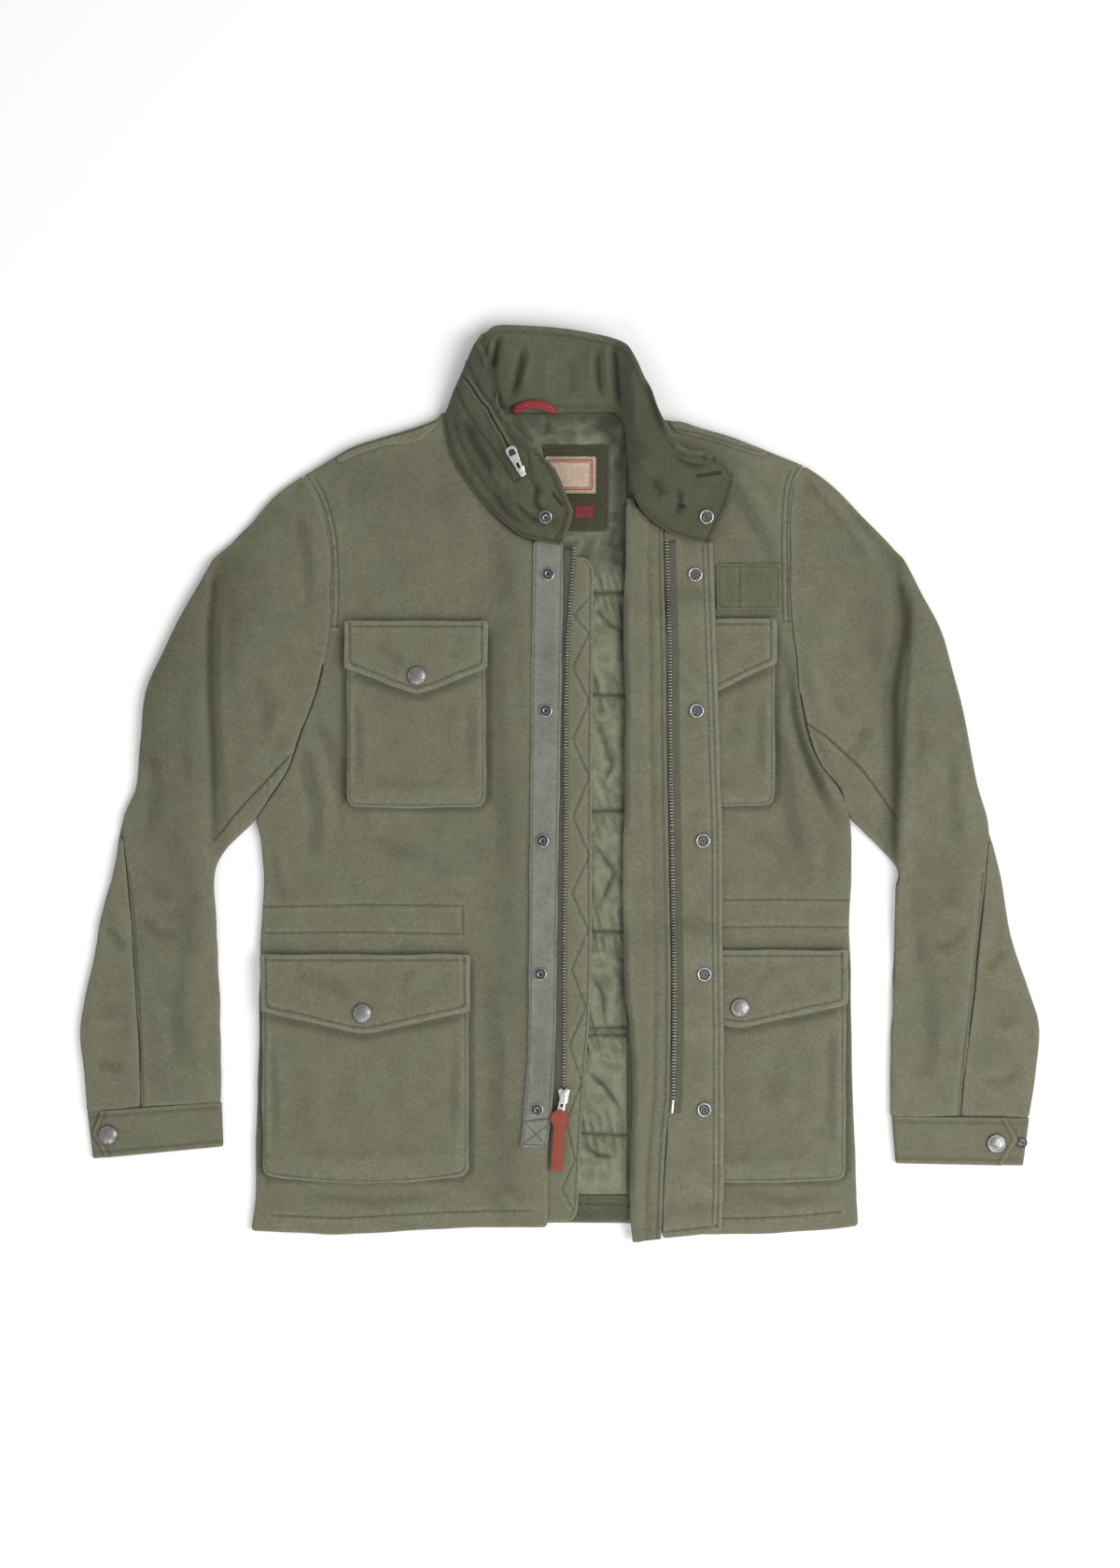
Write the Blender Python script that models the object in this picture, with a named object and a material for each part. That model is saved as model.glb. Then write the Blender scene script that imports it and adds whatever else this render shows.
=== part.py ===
"""Field jacket laid flat, its front open and one front edge folded back.

Every sewn piece is its own closed solid. Sizes are millimetres up to the
moment a mesh is made. X runs to the right of the laid jacket, Y towards the
collar and Z up from the surface it lies on. "Left" and "right" are sides of
the laid jacket as seen from above.
"""
import bpy
import bmesh
from math import cos, hypot, pi, radians, sin, sqrt
from mathutils import Matrix, Vector

MM = 0.001

# ---- driving sizes ---------------------------------------------------------
GAP = 0.4             # between neighbouring pieces
BACK_WALL = 5.0       # shell and wadding of the back
FRONT_WALL = 5.0      # shell and wadding of a front
EDGE_ROLL = 2.0       # how far a panel's rim is rolled down
LINING_WALL = 1.6
LINING_PUFF = 3.0     # height of the quilting over its seams
FLAP_WALL = 1.8       # wind flap behind the zip
TAPE_WALL = 0.8       # zip tape
CHAIN_HEIGHT = 2.6
CHAIN_WIDTH = 5.0
SNAP_TAPE_WALL = 1.2
FACING_WALL = 3.6
STORM_WALL = 3.0
BAG_WALL = 3.6        # pocket bag with its bellows side
POCKET_FLAP_WALL = 2.4
SLEEVE_WALL = 4.5
FOLD_RISE = 8.0       # step where the sleeve laps over itself
CUFF_WALL = 2.8
COLLAR_WALL = 3.2
CAP_RADIUS = 8.8
STUD_RADIUS = 6.0
SOCKET_RADIUS = 6.8

LAP = BACK_WALL + GAP                          # a front lies on the back here
LINING_TOP = LAP + LINING_WALL + LINING_PUFF
WIND_FLAP_Z = LINING_TOP + GAP
TAPE_Z = WIND_FLAP_Z + FLAP_WALL + GAP
PLACKET_RISE = TAPE_Z + TAPE_WALL + GAP - LAP  # a front climbs this far to its edge
NECK_CENTRE = (-5.0, 332.0)
NECK_RADIUS = 90.0
LINING_LEFT = -38.0
LINING_RIGHT = 62.0
RIGHT_RISE = 2.2                               # right front over the lining's rim

# ---- outline of the body, from hem to shoulder: x, y ------------------------
SIDE_LEFT = [(-284, -411), (-280, -380), (-280, -344), (-279, -310), (-277, -240),
             (-276, -180), (-274, -125), (-272, -86), (-275, -54), (-280, -33)]
SIDE_RIGHT = [(274, -406), (273, -380), (272, -344), (270, -310), (268, -240),
              (267, -180), (266, -125), (268, -86), (268, -54), (266, -30)]
ARMHOLE_LEFT = [(-266, -12), (-250, 14), (-238, 48), (-226, 79), (-218, 108),
                (-212, 148), (-211, 195), (-214, 232), (-223, 263), (-236, 283)]
ARMHOLE_RIGHT = [(258, -6), (240, 18), (228, 48), (221, 84), (218, 120),
                 (213, 155), (212, 200), (212, 240), (215, 274), (224, 292)]
SHOULDER_LEFT = [(-236, 283), (-208, 300), (-190, 310), (-159, 320), (-116, 334), (-106, 342)]
SHOULDER_RIGHT = [(94, 335), (107, 333), (125, 327), (153, 320), (192, 305.5), (224, 292)]
NECK_LEFT = [(-97, 312), (-85, 284), (-70, 260), (-56, 244), (-41, 231), (-31, 226),
             (-22, 222), (-12, 220), (-3, 219), (2, 218)]
NECK_RIGHT = [(72, 262), (75, 285), (83, 312)]
NECK_BACK = [(-60, 346), (0, 347), (58, 346)]
FRONT_EDGE = [(-12, -406), (-10, -300), (-4, -150), (-2, 0), (0, 110), (2, 218)]
HEM_LEFT = [(-284, -411), (-199, -414), (-108, -409), (-34, -407), (-12, -406)]
HEM_RIGHT = [(77, -412), (153, -414), (211, -413), (274, -406)]
HEM_BACK = [(-284, -411), (-199, -412), (-108, -406), (0, -404), (60, -404),
            (150, -409), (211, -410), (274, -406)]

# ---- folded-back right front: y, then x of its fold, zip and rim -----------------
FOLD_BACK = [
    (-420, 67, 96, 149), (-400, 64, 97, 149), (-362, 64, 98, 150), (-325, 65, 100, 150),
    (-286, 67, 104, 150), (-228, 64, 105, 150), (-170, 59, 105, 149), (-100, 57, 104, 149),
    (-50, 58, 103, 149), (0, 60, 102, 147), (70, 60, 101, 145), (110, 59, 101, 144),
    (150, 58, 100, 142), (190, 59, 99, 141), (222, 60, 98, 140),
]
FOLD_TOP_Y = {"fold": 262, "zip": 234, "rim": 226}
FOLD_HEM_Y = {"fold": -420, "zip": -417, "rim": -411}
FOLD_LEG = 8.0            # the rolled edge reaches this far back under itself

# ---- sleeves, from the overlap crease to the cuff ------------------------------
# outer x, y; inner x, y; elbow seam x, y (None above the seam)
SLEEVE_LEFT = [
    (-318, 206, -316, -75, None, None), (-340, 170, -316, -95, None, None),
    (-362, 128, -316, -115, None, None), (-380, 86, -316, -134, None, None),
    (-386, 40, -315, -151, None, None), (-389, -2, -315, -167, None, None),
    (-402, -34, -314, -184, None, None), (-411, -82, -313, -205, -398, -80),
    (-421, -120, -313, -223, -394, -121), (-431, -172, -312, -242, -391, -168),
    (-441, -221, -312, -260, -388, -215), (-438, -262, -312, -277, -386, -258),
    (-435, -302, -312, -293, -385, -297),
]
SLEEVE_RIGHT = [
    (315, 208, 309, -75, None, None), (334, 172, 309, -95, None, None),
    (352, 136, 308, -115, None, None), (364, 92, 308, -136, None, None),
    (374, 50, 307, -154, None, None), (383, 2, 307, -172, None, None),
    (394, -40, 306, -192, None, None), (405, -85, 306, -210, 391, -82),
    (415, -140, 305, -230, 385, -145), (430, -189, 304, -250, 380, -195),
    (441, -224, 304, -268, 375, -235), (437, -266, 304, -286, 371, -270),
    (431, -307, 304, -306, 368, -305),
]
CREASE_LEFT = [(-318, 206), (-325, 165), (-328, 125), (-325, 85), (-324, 60),
               (-321, 20), (-319, -10), (-317, -40), (-316, -58), (-316, -68), (-316, -75)]
CREASE_RIGHT = [(315, 208), (321, 175), (323, 150), (314, 118), (312, 85),
                (313, 47), (312, 15), (310, -15), (309, -45), (309, -62), (309, -75)]
CAP_OUTER_LEFT = [(-260, 266), (-288, 235)]
CAP_OUTER_RIGHT = [(251, 274), (284, 240)]

# ---- cuffs: corners of the band and of its pointed end -------------------------
CUFFS = {
    "left": {"inner_top": (-311, -293.6), "inner_low": (-309.5, -333),
             "outer_top": (-434.5, -302.8), "outer_low": (-429.5, -344.5),
             "tip": (0.975, 0.905), "cap": (-415, -322.2)},
    "right": {"inner_top": (305, -307), "inner_low": (308.5, -348.5),
              "outer_top": (431.5, -308.6), "outer_low": (426, -351),
              "tip": (0.93, 0.835), "cap": (400.8, -330.2)},
}
CUFF_STUD = (424.6, -329.6)

# ---- pockets: x of both sides, heights of flap and bag --------------------------
POCKETS = {
    "chest_left": {"left": -198, "right": -66, "top": 150, "side_low": 106, "point": (-131, 82),
                   "bag_low": -21, "bag_mid": -22, "cap": (-131, 99)},
    "chest_right": {"left": 67, "right": 199, "top": 152, "side_low": 110, "point": (133, 81),
                    "bag_low": -20, "bag_mid": -21, "cap": None},
    "lower_left": {"left": -275, "right": -82, "top": -156, "side_low": -209, "point": (-181, -229),
                   "bag_low": -359, "bag_mid": -367, "cap": (-181, -210)},
    "lower_right": {"left": 73, "right": 264, "top": -152, "side_low": -203, "point": (166, -223),
                    "bag_low": -363, "bag_mid": -366, "cap": (165, -205)},
}

POCKET_FADE = 20.0        # what lies over a pocket comes down over this width

# ---- closure --------------------------------------------------------------------
ZIP_LEFT = [(13, 216), (7, 140), (5, 60), (5, -20), (4, -140), (3.5, -276)]
ZIP_LEFT_END = (2.5, -312)
ZIP_RIGHT_ENDS = (-302, 226)
SNAP_TAPE = [(222, -24, 3), (110, -26, 1.5), (0, -27, -0.5), (-120, -28, -2.5),
             (-225, -29, -4), (-300, -33, -8), (-333, -36, -12)]   # y, left x, right x
STUDS = [(-11, 192), (-13, 67), (-16, -52), (-18, -174), (-21, -298)]
SOCKETS = [(124, 192), (125, 67), (131, -52), (132, -174), (132, -298)]
WIND_FLAP = [(209, -13, 24), (200, -13, 31), (110, -13, 30), (-60, -14, 29), (-145, -14, 29),
             (-220, -14, 27), (-281, -15, 22), (-350, -15, 18), (-392, -15, 16), (-402, -14, 11)]
SLIDER = (3.5, -286.0)
SLIDER_HEIGHT = 4.4
TAB_CLEARANCE = 0.6       # between slider and pull tab
TAB_WALL = 1.6
PULL_LENGTH = 24.0
PULLER_WALL = 2.4
PULLER = {"head": (-0.5, -306.0), "tail": (-3.0, -354.0), "head_radius": 8.2, "half_width": 5.8}
NAME_TAPE = {"left": 143.5, "right": 203, "low": 160, "high": 202}
STRAP_RIGHT = [(99, 332.5, 106, 322), (111, 332.5, 114, 321), (127, 327, 128, 318),
               (153, 320, 148, 312), (176, 311.5, 171, 305), (192, 305, 188, 300)]
STRAP_LEFT = [(-110, 335, -111, 329), (-135, 324, -133, 314), (-160, 317, -158, 311),
              (-186, 309, -184, 303), (-206, 299.5, -204, 294)]
LABEL_PATCH = {"left": -15, "right": 45, "low": 232, "high": 312}
LABEL = {"left": -14, "right": 33, "low": 267, "high": 301}
LOOP_FEET = (-42, -5)
LOOP_FOOT_Y = 340.5
LOOP_FOOT_Z = 10.8
LOOP_REACH = 9.5
LOOP_RISE = 3.6
LOOP_STEPS = 12
LOOP_RADIUS = 2.3
STRAP_WALL = 2.4
COLLAR_STUD = (0.45, 0.27)      # station along the collar, share of its height
COLLAR_SOCKET = (20.2, 0.31)
COLLAR_SLIDER = (1.4, 0.64)
COLLAR_PULL_TO = (2.2, 0.80)
COLLAR_SLIDER_MIDDLE = 4.0      # over the collar's face
COLLAR_HINGE = 6.75

# ---- collar: seam x, y, z; free edge x, y, z -------------------------------------
COLLAR = [
    (0, 219, 21.6, -21, 304, 34), (-22, 223, 21.6, -33, 316, 36), (-42, 232, 18.6, -44, 326, 37),
    (-71, 260, 13.6, -57, 349, 39), (-96, 296, 12.8, -60, 372, 38), (-104, 324, 12.6, -68, 394, 34),
    (-105, 339, 12.4, -73, 406, 28), (-99, 344, 11.2, -71, 410, 22.5), (-84, 344.5, 9, -67, 414, 19),
    (-60, 344.5, 7.8, -57, 420, 18), (-28, 344.5, 7.6, -26, 419.5, 18), (0, 344.5, 7.6, 4, 417, 19),
    (30, 344, 7.8, 32, 412, 21), (50, 341.5, 9, 50, 407, 25), (58, 331, 11.6, 62, 400, 31),
    (61, 316, 13.4, 70, 386, 35), (63, 294, 15.5, 79, 365, 37), (67, 268, 18.8, 92, 336, 36),
    (78, 247, 19.4, 110, 309, 32), (100, 230, 19.4, 132, 303, 28), (121, 223, 19.2, 150, 297, 26),
    (138, 220, 19, 160, 279, 26),
]
COLLAR_ROWS = [0.0, 0.06, 0.2, 0.36, 0.65, 0.8, 0.94, 1.0]
COLLAR_BULGE = 3.0
COLLAR_END_SWELL = [(0.0, 0.5), (0.094, 7), (0.22, 14.5), (0.365, 20), (0.48, 17.5), (0.66, 15.5),
                    (0.8, 12.5), (0.92, 4.5), (1.0, 0)]  # height, how far the left end reaches right
COLLAR_SWELL_TO = 0.45          # station where that has faded out
COLLAR_ZIP = [(1.4, 0.64), (2.0, 0.74), (2.5, 0.80), (3.0, 0.80), (3.5, 0.76), (4.0, 0.69),
              (4.5, 0.65), (5.0, 0.61), (5.6, 0.56)]  # station, height


# ---- small maths -----------------------------------------------------------------
def ramp(start, end, value):
    """0 at start and 1 at end, eased at both."""
    share = min(1.0, max(0.0, (value - start) / (end - start)))
    return share * share * (3 - 2 * share)


def mix(a, b, share):
    return a + (b - a) * share


def mixPoint(a, b, share):
    return tuple(mix(p, q, share) for p, q in zip(a, b))


def xAt(line, y):
    """x of a polyline at a height, for a line that runs mostly along Y."""
    line = sorted(line, key=lambda point: point[1])
    if y <= line[0][1]:
        return line[0][0]
    for low, high in zip(line, line[1:]):
        if y <= high[1]:
            return mix(low[0], high[0], (y - low[1]) / (high[1] - low[1]))
    return line[-1][0]


def along(points, share):
    """Point at a share of a polyline's length."""
    steps = [hypot(b[0] - a[0], b[1] - a[1]) for a, b in zip(points, points[1:])]
    left = share * sum(steps)
    for a, b, step in zip(points, points[1:], steps):
        if left <= step:
            return mixPoint(a, b, left / step)
        left -= step
    return points[-1]


def yAt(line, x):
    return xAt([(y, x0) for x0, y in line], x)


def column(table, index, y):
    """Value of one column of a table whose first column is y."""
    return xAt([(row[index], row[0]) for row in table], y)


def inside(low, high, soft, value):
    """1 between low and high, falling to 0 over soft on both sides."""
    return ramp(low - soft, low, value) * ramp(high + soft, high, value)


# ---- heights of the layers ---------------------------------------------------------
def leftUnder(x, y):
    return LAP + PLACKET_RISE * ramp(-62, -18, x)


def leftTop(x, y):
    return leftUnder(x, y) + FRONT_WALL


def rightUnder(x, y):
    return LAP + RIGHT_RISE * ramp(170, 76, x)


def rightTop(x, y):
    return rightUnder(x, y) + FRONT_WALL


def pocketRise(x, y):
    """How far the right front's pockets lift what lies over them."""
    rise = 0.0
    for name in ("chest_right", "lower_right"):
        pocket = POCKETS[name]
        sides = ramp(pocket["left"] - 16, pocket["left"] - 2, x)
        bag = sides * inside(pocket["bag_mid"] - 3, pocket["top"] + 3, POCKET_FADE, y)
        flap = sides * inside(pocket["point"][1] - 3, pocket["top"] + 3, POCKET_FADE, y)
        rise = max(rise, bag * (BAG_WALL + GAP) + flap * (POCKET_FLAP_WALL + GAP))
    return rise


def foldUnder(x, y):
    """Underside of the folded-back edge, over the right front and its pockets."""
    return LAP + RIGHT_RISE + FRONT_WALL + GAP + pocketRise(x, y)


def panelTop(side, x, y):
    return leftTop(x, y) if side == "left" else rightTop(x, y)


# ---- mesh makers -------------------------------------------------------------------
def newMaterial(name, colour, roughness, metallic=0.0):
    material = bpy.data.materials.new(name)
    material.use_nodes = True
    shader = material.node_tree.nodes["Principled BSDF"]
    shader.inputs["Base Color"].default_value = (*colour, 1.0)
    shader.inputs["Roughness"].default_value = roughness
    shader.inputs["Metallic"].default_value = metallic
    return material


FINISHES = {
    "twill": ((0.145, 0.155, 0.085), 0.9, 0.0),
    "facing_twill": ((0.165, 0.155, 0.095), 0.9, 0.0),
    "herringbone_tape": ((0.20, 0.21, 0.165), 0.85, 0.0),
    "quilted_nylon": ((0.15, 0.20, 0.105), 0.45, 0.0),
    "woven_label": ((0.62, 0.55, 0.42), 0.8, 0.0),
    "loop_cord": ((0.55, 0.03, 0.04), 0.7, 0.0),
    "leather": ((0.50, 0.12, 0.04), 0.6, 0.0),
    "snap_metal": ((0.30, 0.29, 0.28), 0.35, 1.0),
    "zip_metal": ((0.62, 0.60, 0.57), 0.3, 1.0),
}


def addPiece(name, vertices, faces, finish, origin=(0, 0, 0)):
    """Make one sub-part from points in millimetres about its origin, faces turned outwards."""
    mesh = bpy.data.meshes.new(name)
    mesh.from_pydata([Vector(point) * MM for point in vertices], [], faces)
    work = bmesh.new()
    work.from_mesh(mesh)
    bmesh.ops.recalc_face_normals(work, faces=work.faces)
    bmesh.ops.triangulate(work, faces=work.faces)
    work.to_mesh(mesh)
    work.free()
    piece = bpy.data.objects.new(name, mesh)
    piece.location = Vector(origin) * MM
    bpy.context.scene.collection.objects.link(piece)
    mesh.materials.append(newMaterial(name + "_" + finish, *FINISHES[finish]))
    mesh.shade_smooth()
    mesh.set_sharp_from_angle(angle=radians(40))
    return piece


def wall(name, over, under, finish):
    """Closed wall between two grids of points with the same rows and columns."""
    rows = len(over)
    columns = len(over[0])
    vertices = [p for row in over for p in row] + [p for row in under for p in row]
    low = rows * columns
    faces = []
    for r in range(rows - 1):
        for c in range(columns - 1):
            a = r * columns + c
            quad = (a, a + 1, a + columns + 1, a + columns)
            faces.append(quad)
            faces.append(tuple(low + i for i in reversed(quad)))
    rim = [c for c in range(columns)]
    rim += [r * columns + columns - 1 for r in range(1, rows)]
    rim += [(rows - 1) * columns + c for c in range(columns - 2, -1, -1)]
    rim += [r * columns for r in range(rows - 2, 0, -1)]
    for a, b in zip(rim, rim[1:] + rim[:1]):
        faces.append((b, a, low + a, low + b))
    return addPiece(name, vertices, faces, finish)


def flatWall(name, grid, under, thickness, finish, roll=EDGE_ROLL):
    """Wall on a grid of x, y: under(x, y) gives its underside, its rim is rolled down."""
    rows = len(grid)
    columns = len(grid[0])
    over_points = []
    under_points = []
    for r, row in enumerate(grid):
        over_row = []
        for c, (x, y) in enumerate(row):
            rim = r in (0, rows - 1) or c in (0, columns - 1)
            over_row.append((x, y, under(x, y) + thickness - (roll if rim else 0.0)))
        over_points.append(over_row)
        under_points.append([(x, y, under(x, y)) for x, y in row])
    return wall(name, over_points, under_points, finish)


def coons(left, right, low, high, across, up):
    """Grid of x, y between four side lines, at the given shares."""
    grid = []
    corners = (low[0], low[-1], high[0], high[-1])
    for v, (lv, rv) in zip(up, zip(left, right)):
        row = []
        for u, (lu, hu) in zip(across, zip(low, high)):
            point = []
            for axis in (0, 1):
                edges = mix(lv[axis], rv[axis], u) + mix(lu[axis], hu[axis], v)
                flat = mix(mix(corners[0][axis], corners[1][axis], u),
                           mix(corners[2][axis], corners[3][axis], u), v)
                point.append(edges - flat)
            row.append(tuple(point))
        grid.append(row)
    return grid


def rimmed(line):
    """A side line with one more point just inside each end, for the rolled rim."""
    return [line[0], mixPoint(line[0], line[1], 0.15)] + line[1:-1] + \
        [mixPoint(line[-2], line[-1], 0.8), line[-1]]


def panelGrid(side, other, low_line, high_points):
    """Grid of a body panel: rows through the side's points, columns under its top's points.

    side and other run from hem to top; the first is on the left.
    """
    side = rimmed(side)
    foot, head = side[0][1], side[-1][1]
    up = [(point[1] - foot) / (head - foot) for point in side]
    x0, x1 = high_points[0][0], high_points[-1][0]
    across = [(point[0] - x0) / (x1 - x0) for point in high_points]
    low = [(mix(low_line[0][0], low_line[-1][0], u),
            yAt(low_line, mix(low_line[0][0], low_line[-1][0], u))) for u in across]
    right = [along(other, v) for v in up]
    return coons(side, right, low, high_points, across, up)


def thinned(points, widest):
    """The same polyline with points added so that no step is longer than widest."""
    result = [points[0]]
    for a, b in zip(points, points[1:]):
        parts = max(1, round(hypot(b[0] - a[0], b[1] - a[1]) / widest))
        result += [mixPoint(a, b, (i + 1) / parts) for i in range(parts)]
    return result


def prism(name, outline, low, high, finish, bevel=0.0, origin=(0, 0, 0)):
    """Upright plate with an outline of x, y about its origin; low and high may be heights by x, y."""
    height = high if callable(high) else (lambda x, y: high)
    foot = low if callable(low) else (lambda x, y: low)
    count = len(outline)
    centre = (sum(p[0] for p in outline) / count, sum(p[1] for p in outline) / count)
    vertices = [(x, y, foot(x, y)) for x, y in outline]
    vertices += [(x, y, height(x, y) - bevel) for x, y in outline]
    inner = []
    for x, y in outline:
        reach = hypot(x - centre[0], y - centre[1])
        share = max(0.0, 1 - bevel / reach) if bevel else 1.0
        inner.append((mix(centre[0], x, share), mix(centre[1], y, share)))
    rings = 2
    if bevel:
        vertices += [(x, y, height(x, y)) for x, y in inner]
        rings = 3
    faces = [tuple(range(count))[::-1]]
    for ring in range(rings - 1):
        for i in range(count):
            j = (i + 1) % count
            a = ring * count
            faces.append((a + i, a + j, a + count + j, a + count + i))
    faces.append(tuple((rings - 1) * count + i for i in range(count)))
    return addPiece(name, vertices, faces, finish, origin)


def turned(name, centre, profile, finish, sides=16):
    """Turned piece on an upright axis; the profile runs from the axis low to the axis high."""
    vertices = []
    rings = []
    for radius, height in profile:
        if radius == 0:
            rings.append([len(vertices)])
            vertices.append((0, 0, height))
        else:
            rings.append([len(vertices) + i for i in range(sides)])
            vertices += [(radius * cos(2 * pi * i / sides), radius * sin(2 * pi * i / sides), height)
                         for i in range(sides)]
    faces = []
    for low, high in zip(rings, rings[1:]):
        for i in range(sides):
            j = (i + 1) % sides
            if len(low) == 1:
                faces.append((low[0], high[j], high[i]))
            elif len(high) == 1:
                faces.append((low[i], low[j], high[0]))
            else:
                faces.append((low[i], low[j], high[j], high[i]))
    return addPiece(name, vertices, faces, finish, centre)


CAP_PROFILE = [(0, 0), (CAP_RADIUS - 0.8, 0), (CAP_RADIUS, 0.6), (CAP_RADIUS, 1.4),
               (CAP_RADIUS - 1.2, 2.3), (CAP_RADIUS * 0.55, 3.1), (0, 3.5)]
STUD_PROFILE = [(0, 0), (STUD_RADIUS, 0), (STUD_RADIUS, 0.7), (STUD_RADIUS - 1.2, 1.2),
                (3.2, 1.0), (2.6, 1.4), (3.0, 3.2), (2.2, 4.0), (0, 4.1)]
SOCKET_PROFILE = [(0, 0), (SOCKET_RADIUS, 0), (SOCKET_RADIUS, 1.3), (SOCKET_RADIUS - 1.3, 2.1),
                  (SOCKET_RADIUS - 2.4, 1.8), (SOCKET_RADIUS - 3.0, 0.8), (0, 0.8)]


# ---- body ---------------------------------------------------------------------------
def makeBack():
    high = thinned(SHOULDER_LEFT, 48) + thinned(NECK_BACK, 60)
    high += thinned(SHOULDER_RIGHT, 48)
    grid = panelGrid(SIDE_LEFT + ARMHOLE_LEFT, SIDE_RIGHT + ARMHOLE_RIGHT, HEM_BACK, high)
    # the right side passes through its own armhole points, so that sleeve and back share them
    for row, wanted in zip(grid, rimmed(SIDE_RIGHT + ARMHOLE_RIGHT)):
        shift = (wanted[0] - row[-1][0], wanted[1] - row[-1][1])
        x0, x1 = row[0][0], row[-1][0]
        for c, (x, y) in enumerate(row):
            share = (x - x0) / (x1 - x0)
            row[c] = (x + shift[0] * share, y + shift[1] * share)
    flatWall("back", grid, lambda x, y: 0.0, BACK_WALL, "twill", roll=0.0)


def makeFrontLeft():
    high = thinned(SHOULDER_LEFT, 40) + NECK_LEFT
    grid = panelGrid(SIDE_LEFT + ARMHOLE_LEFT, FRONT_EDGE, HEM_LEFT, high)
    flatWall("front_left", grid, leftUnder, FRONT_WALL, "twill")


def makeFrontRight():
    fold = [(row[1] + FOLD_LEG + 4 * GAP, max(row[0], HEM_RIGHT[0][1])) for row in FOLD_BACK]
    fold.append(NECK_RIGHT[0])
    high = NECK_RIGHT + thinned(SHOULDER_RIGHT, 40)
    side = SIDE_RIGHT + ARMHOLE_RIGHT
    mirrored = [(-x, y) for x, y in side]
    high_points = [(-x, y) for x, y in reversed(high)]
    hem = [(-x, y) for x, y in reversed(HEM_RIGHT)]
    grid = panelGrid(mirrored, [(-x, y) for x, y in fold], hem, high_points)
    grid = [[(-x, y) for x, y in reversed(row)] for row in grid]
    flatWall("front_right", grid, rightUnder, FRONT_WALL, "twill")


def makeLining():
    """Quilted lining where the opening shows it, puffed between its seams."""
    seams = [-377, -323, -224, -136, -24, 81, 176, LABEL_PATCH["low"] - 6, LABEL_PATCH["high"] + 4, 341]
    heights = []
    for low, high in zip(seams, seams[1:]):
        heights += [mix(low, high, k / 4) for k in range(4)]
    heights.append(seams[-1])
    grid = []
    for y in heights:
        half = sqrt(max(0.0, NECK_RADIUS ** 2 - min(0.0, y - NECK_CENTRE[1]) ** 2))
        left = min(LINING_LEFT, NECK_CENTRE[0] - half)
        right = max(LINING_RIGHT, NECK_CENTRE[0] + half - 12)
        grid.append([(mix(left, right, k / 8), y) for k in range(9)])

    def puff(x, y, left, right):
        for low, high in zip(seams, seams[1:]):
            if low <= y <= high:
                between = max(0.0, sin(pi * (y - low) / (high - low)))
                break
        if LABEL_PATCH["low"] - 6 <= y <= LABEL_PATCH["high"] + 4:
            return 0.0
        edge = min(1.0, (right - x) / 14, (x - left) / 14)
        return LINING_PUFF * between ** 0.6 * max(0.0, edge)

    over = []
    for row in grid:
        left, right = row[0][0], row[-1][0]
        over.append([(x, y, LAP + LINING_WALL + puff(x, y, left, right)) for x, y in row])
    under = [[(x, y, LAP) for x, y in row] for row in grid]
    wall("back_lining", over, under, "quilted_nylon")
    hem = [[(x, y) for x in (LINING_LEFT, 0, LINING_RIGHT)] for y in (-402, -378)]
    flatWall("back_hem_facing", hem, lambda x, y: LAP, LINING_WALL, "facing_twill", roll=0.0)


def makeLabels():
    base = LAP + LINING_WALL + GAP
    patch = 1.0
    for name, place, low, high, finish in (
            ("label_patch", LABEL_PATCH, base, base + patch, "facing_twill"),
            ("label", LABEL, base + patch + GAP, base + patch + GAP + 0.8, "woven_label")):
        outline = [(place["left"], place["low"]), (place["right"], place["low"]),
                   (place["right"], place["high"]), (place["left"], place["high"])]
        prism(name, outline, low, high, finish)


# ---- zip side of the left front ---------------------------------------------------
def makeLeftClosure():
    grid = [[(left, y), (left + 3, y), (mix(left, right, 0.5), y), (right - 2.5, y), (right, y)]
            for y, left, right in WIND_FLAP]
    flatWall("wind_flap", grid, lambda x, y: WIND_FLAP_Z, FLAP_WALL, "twill", roll=0.9)
    grid = [[(left, y), (left + 1.5, y), (mix(left, right, 0.5), y), (right - 1.5, y), (right, y)]
            for y, left, right in SNAP_TAPE]
    flatWall("snap_tape", grid, lambda x, y: leftTop(0, y) + GAP, SNAP_TAPE_WALL,
             "herringbone_tape", roll=0.5)
    chainTape("zip_left", thinned(ZIP_LEFT, 60), -14, TAPE_Z, ZIP_LEFT_END)


def chainTape(name, path, tape_to, base, end):
    """Zip tape with its chain as a raised bead; below the last path point only tape."""
    half = CHAIN_WIDTH / 2
    flat_side = half if tape_to < 0 else -half
    section = [(tape_to, 0), (flat_side, 0), (flat_side, CHAIN_HEIGHT * 0.7),
               (flat_side * 0.5, CHAIN_HEIGHT), (-flat_side * 0.5, CHAIN_HEIGHT),
               (-flat_side, CHAIN_HEIGHT * 0.7), (-flat_side, TAPE_WALL), (tape_to, TAPE_WALL)]
    flat = [(dx, min(dz, TAPE_WALL)) for dx, dz in section]
    flat = [(dx, dz if i < 2 else TAPE_WALL) for i, (dx, dz) in enumerate(flat)]
    rings = [(x, y, section) for x, y in path]
    if end:
        rings.append((path[-1][0], path[-1][1] - 1.5, flat))
        rings.append((end[0], end[1], flat))
    baseAt = base if callable(base) else (lambda x, y: base)
    vertices = []
    for x, y, ring in rings:
        vertices += [(x + dx, y, baseAt(x, y) + dz) for dx, dz in ring]
    count = len(section)
    faces = [tuple(range(count)), tuple(range(len(vertices) - count, len(vertices)))]
    for r in range(len(rings) - 1):
        for i in range(count):
            j = (i + 1) % count
            a = r * count
            faces.append((a + i, a + j, a + count + j, a + count + i))
    addPiece(name, vertices, faces, "zip_metal")


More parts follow.
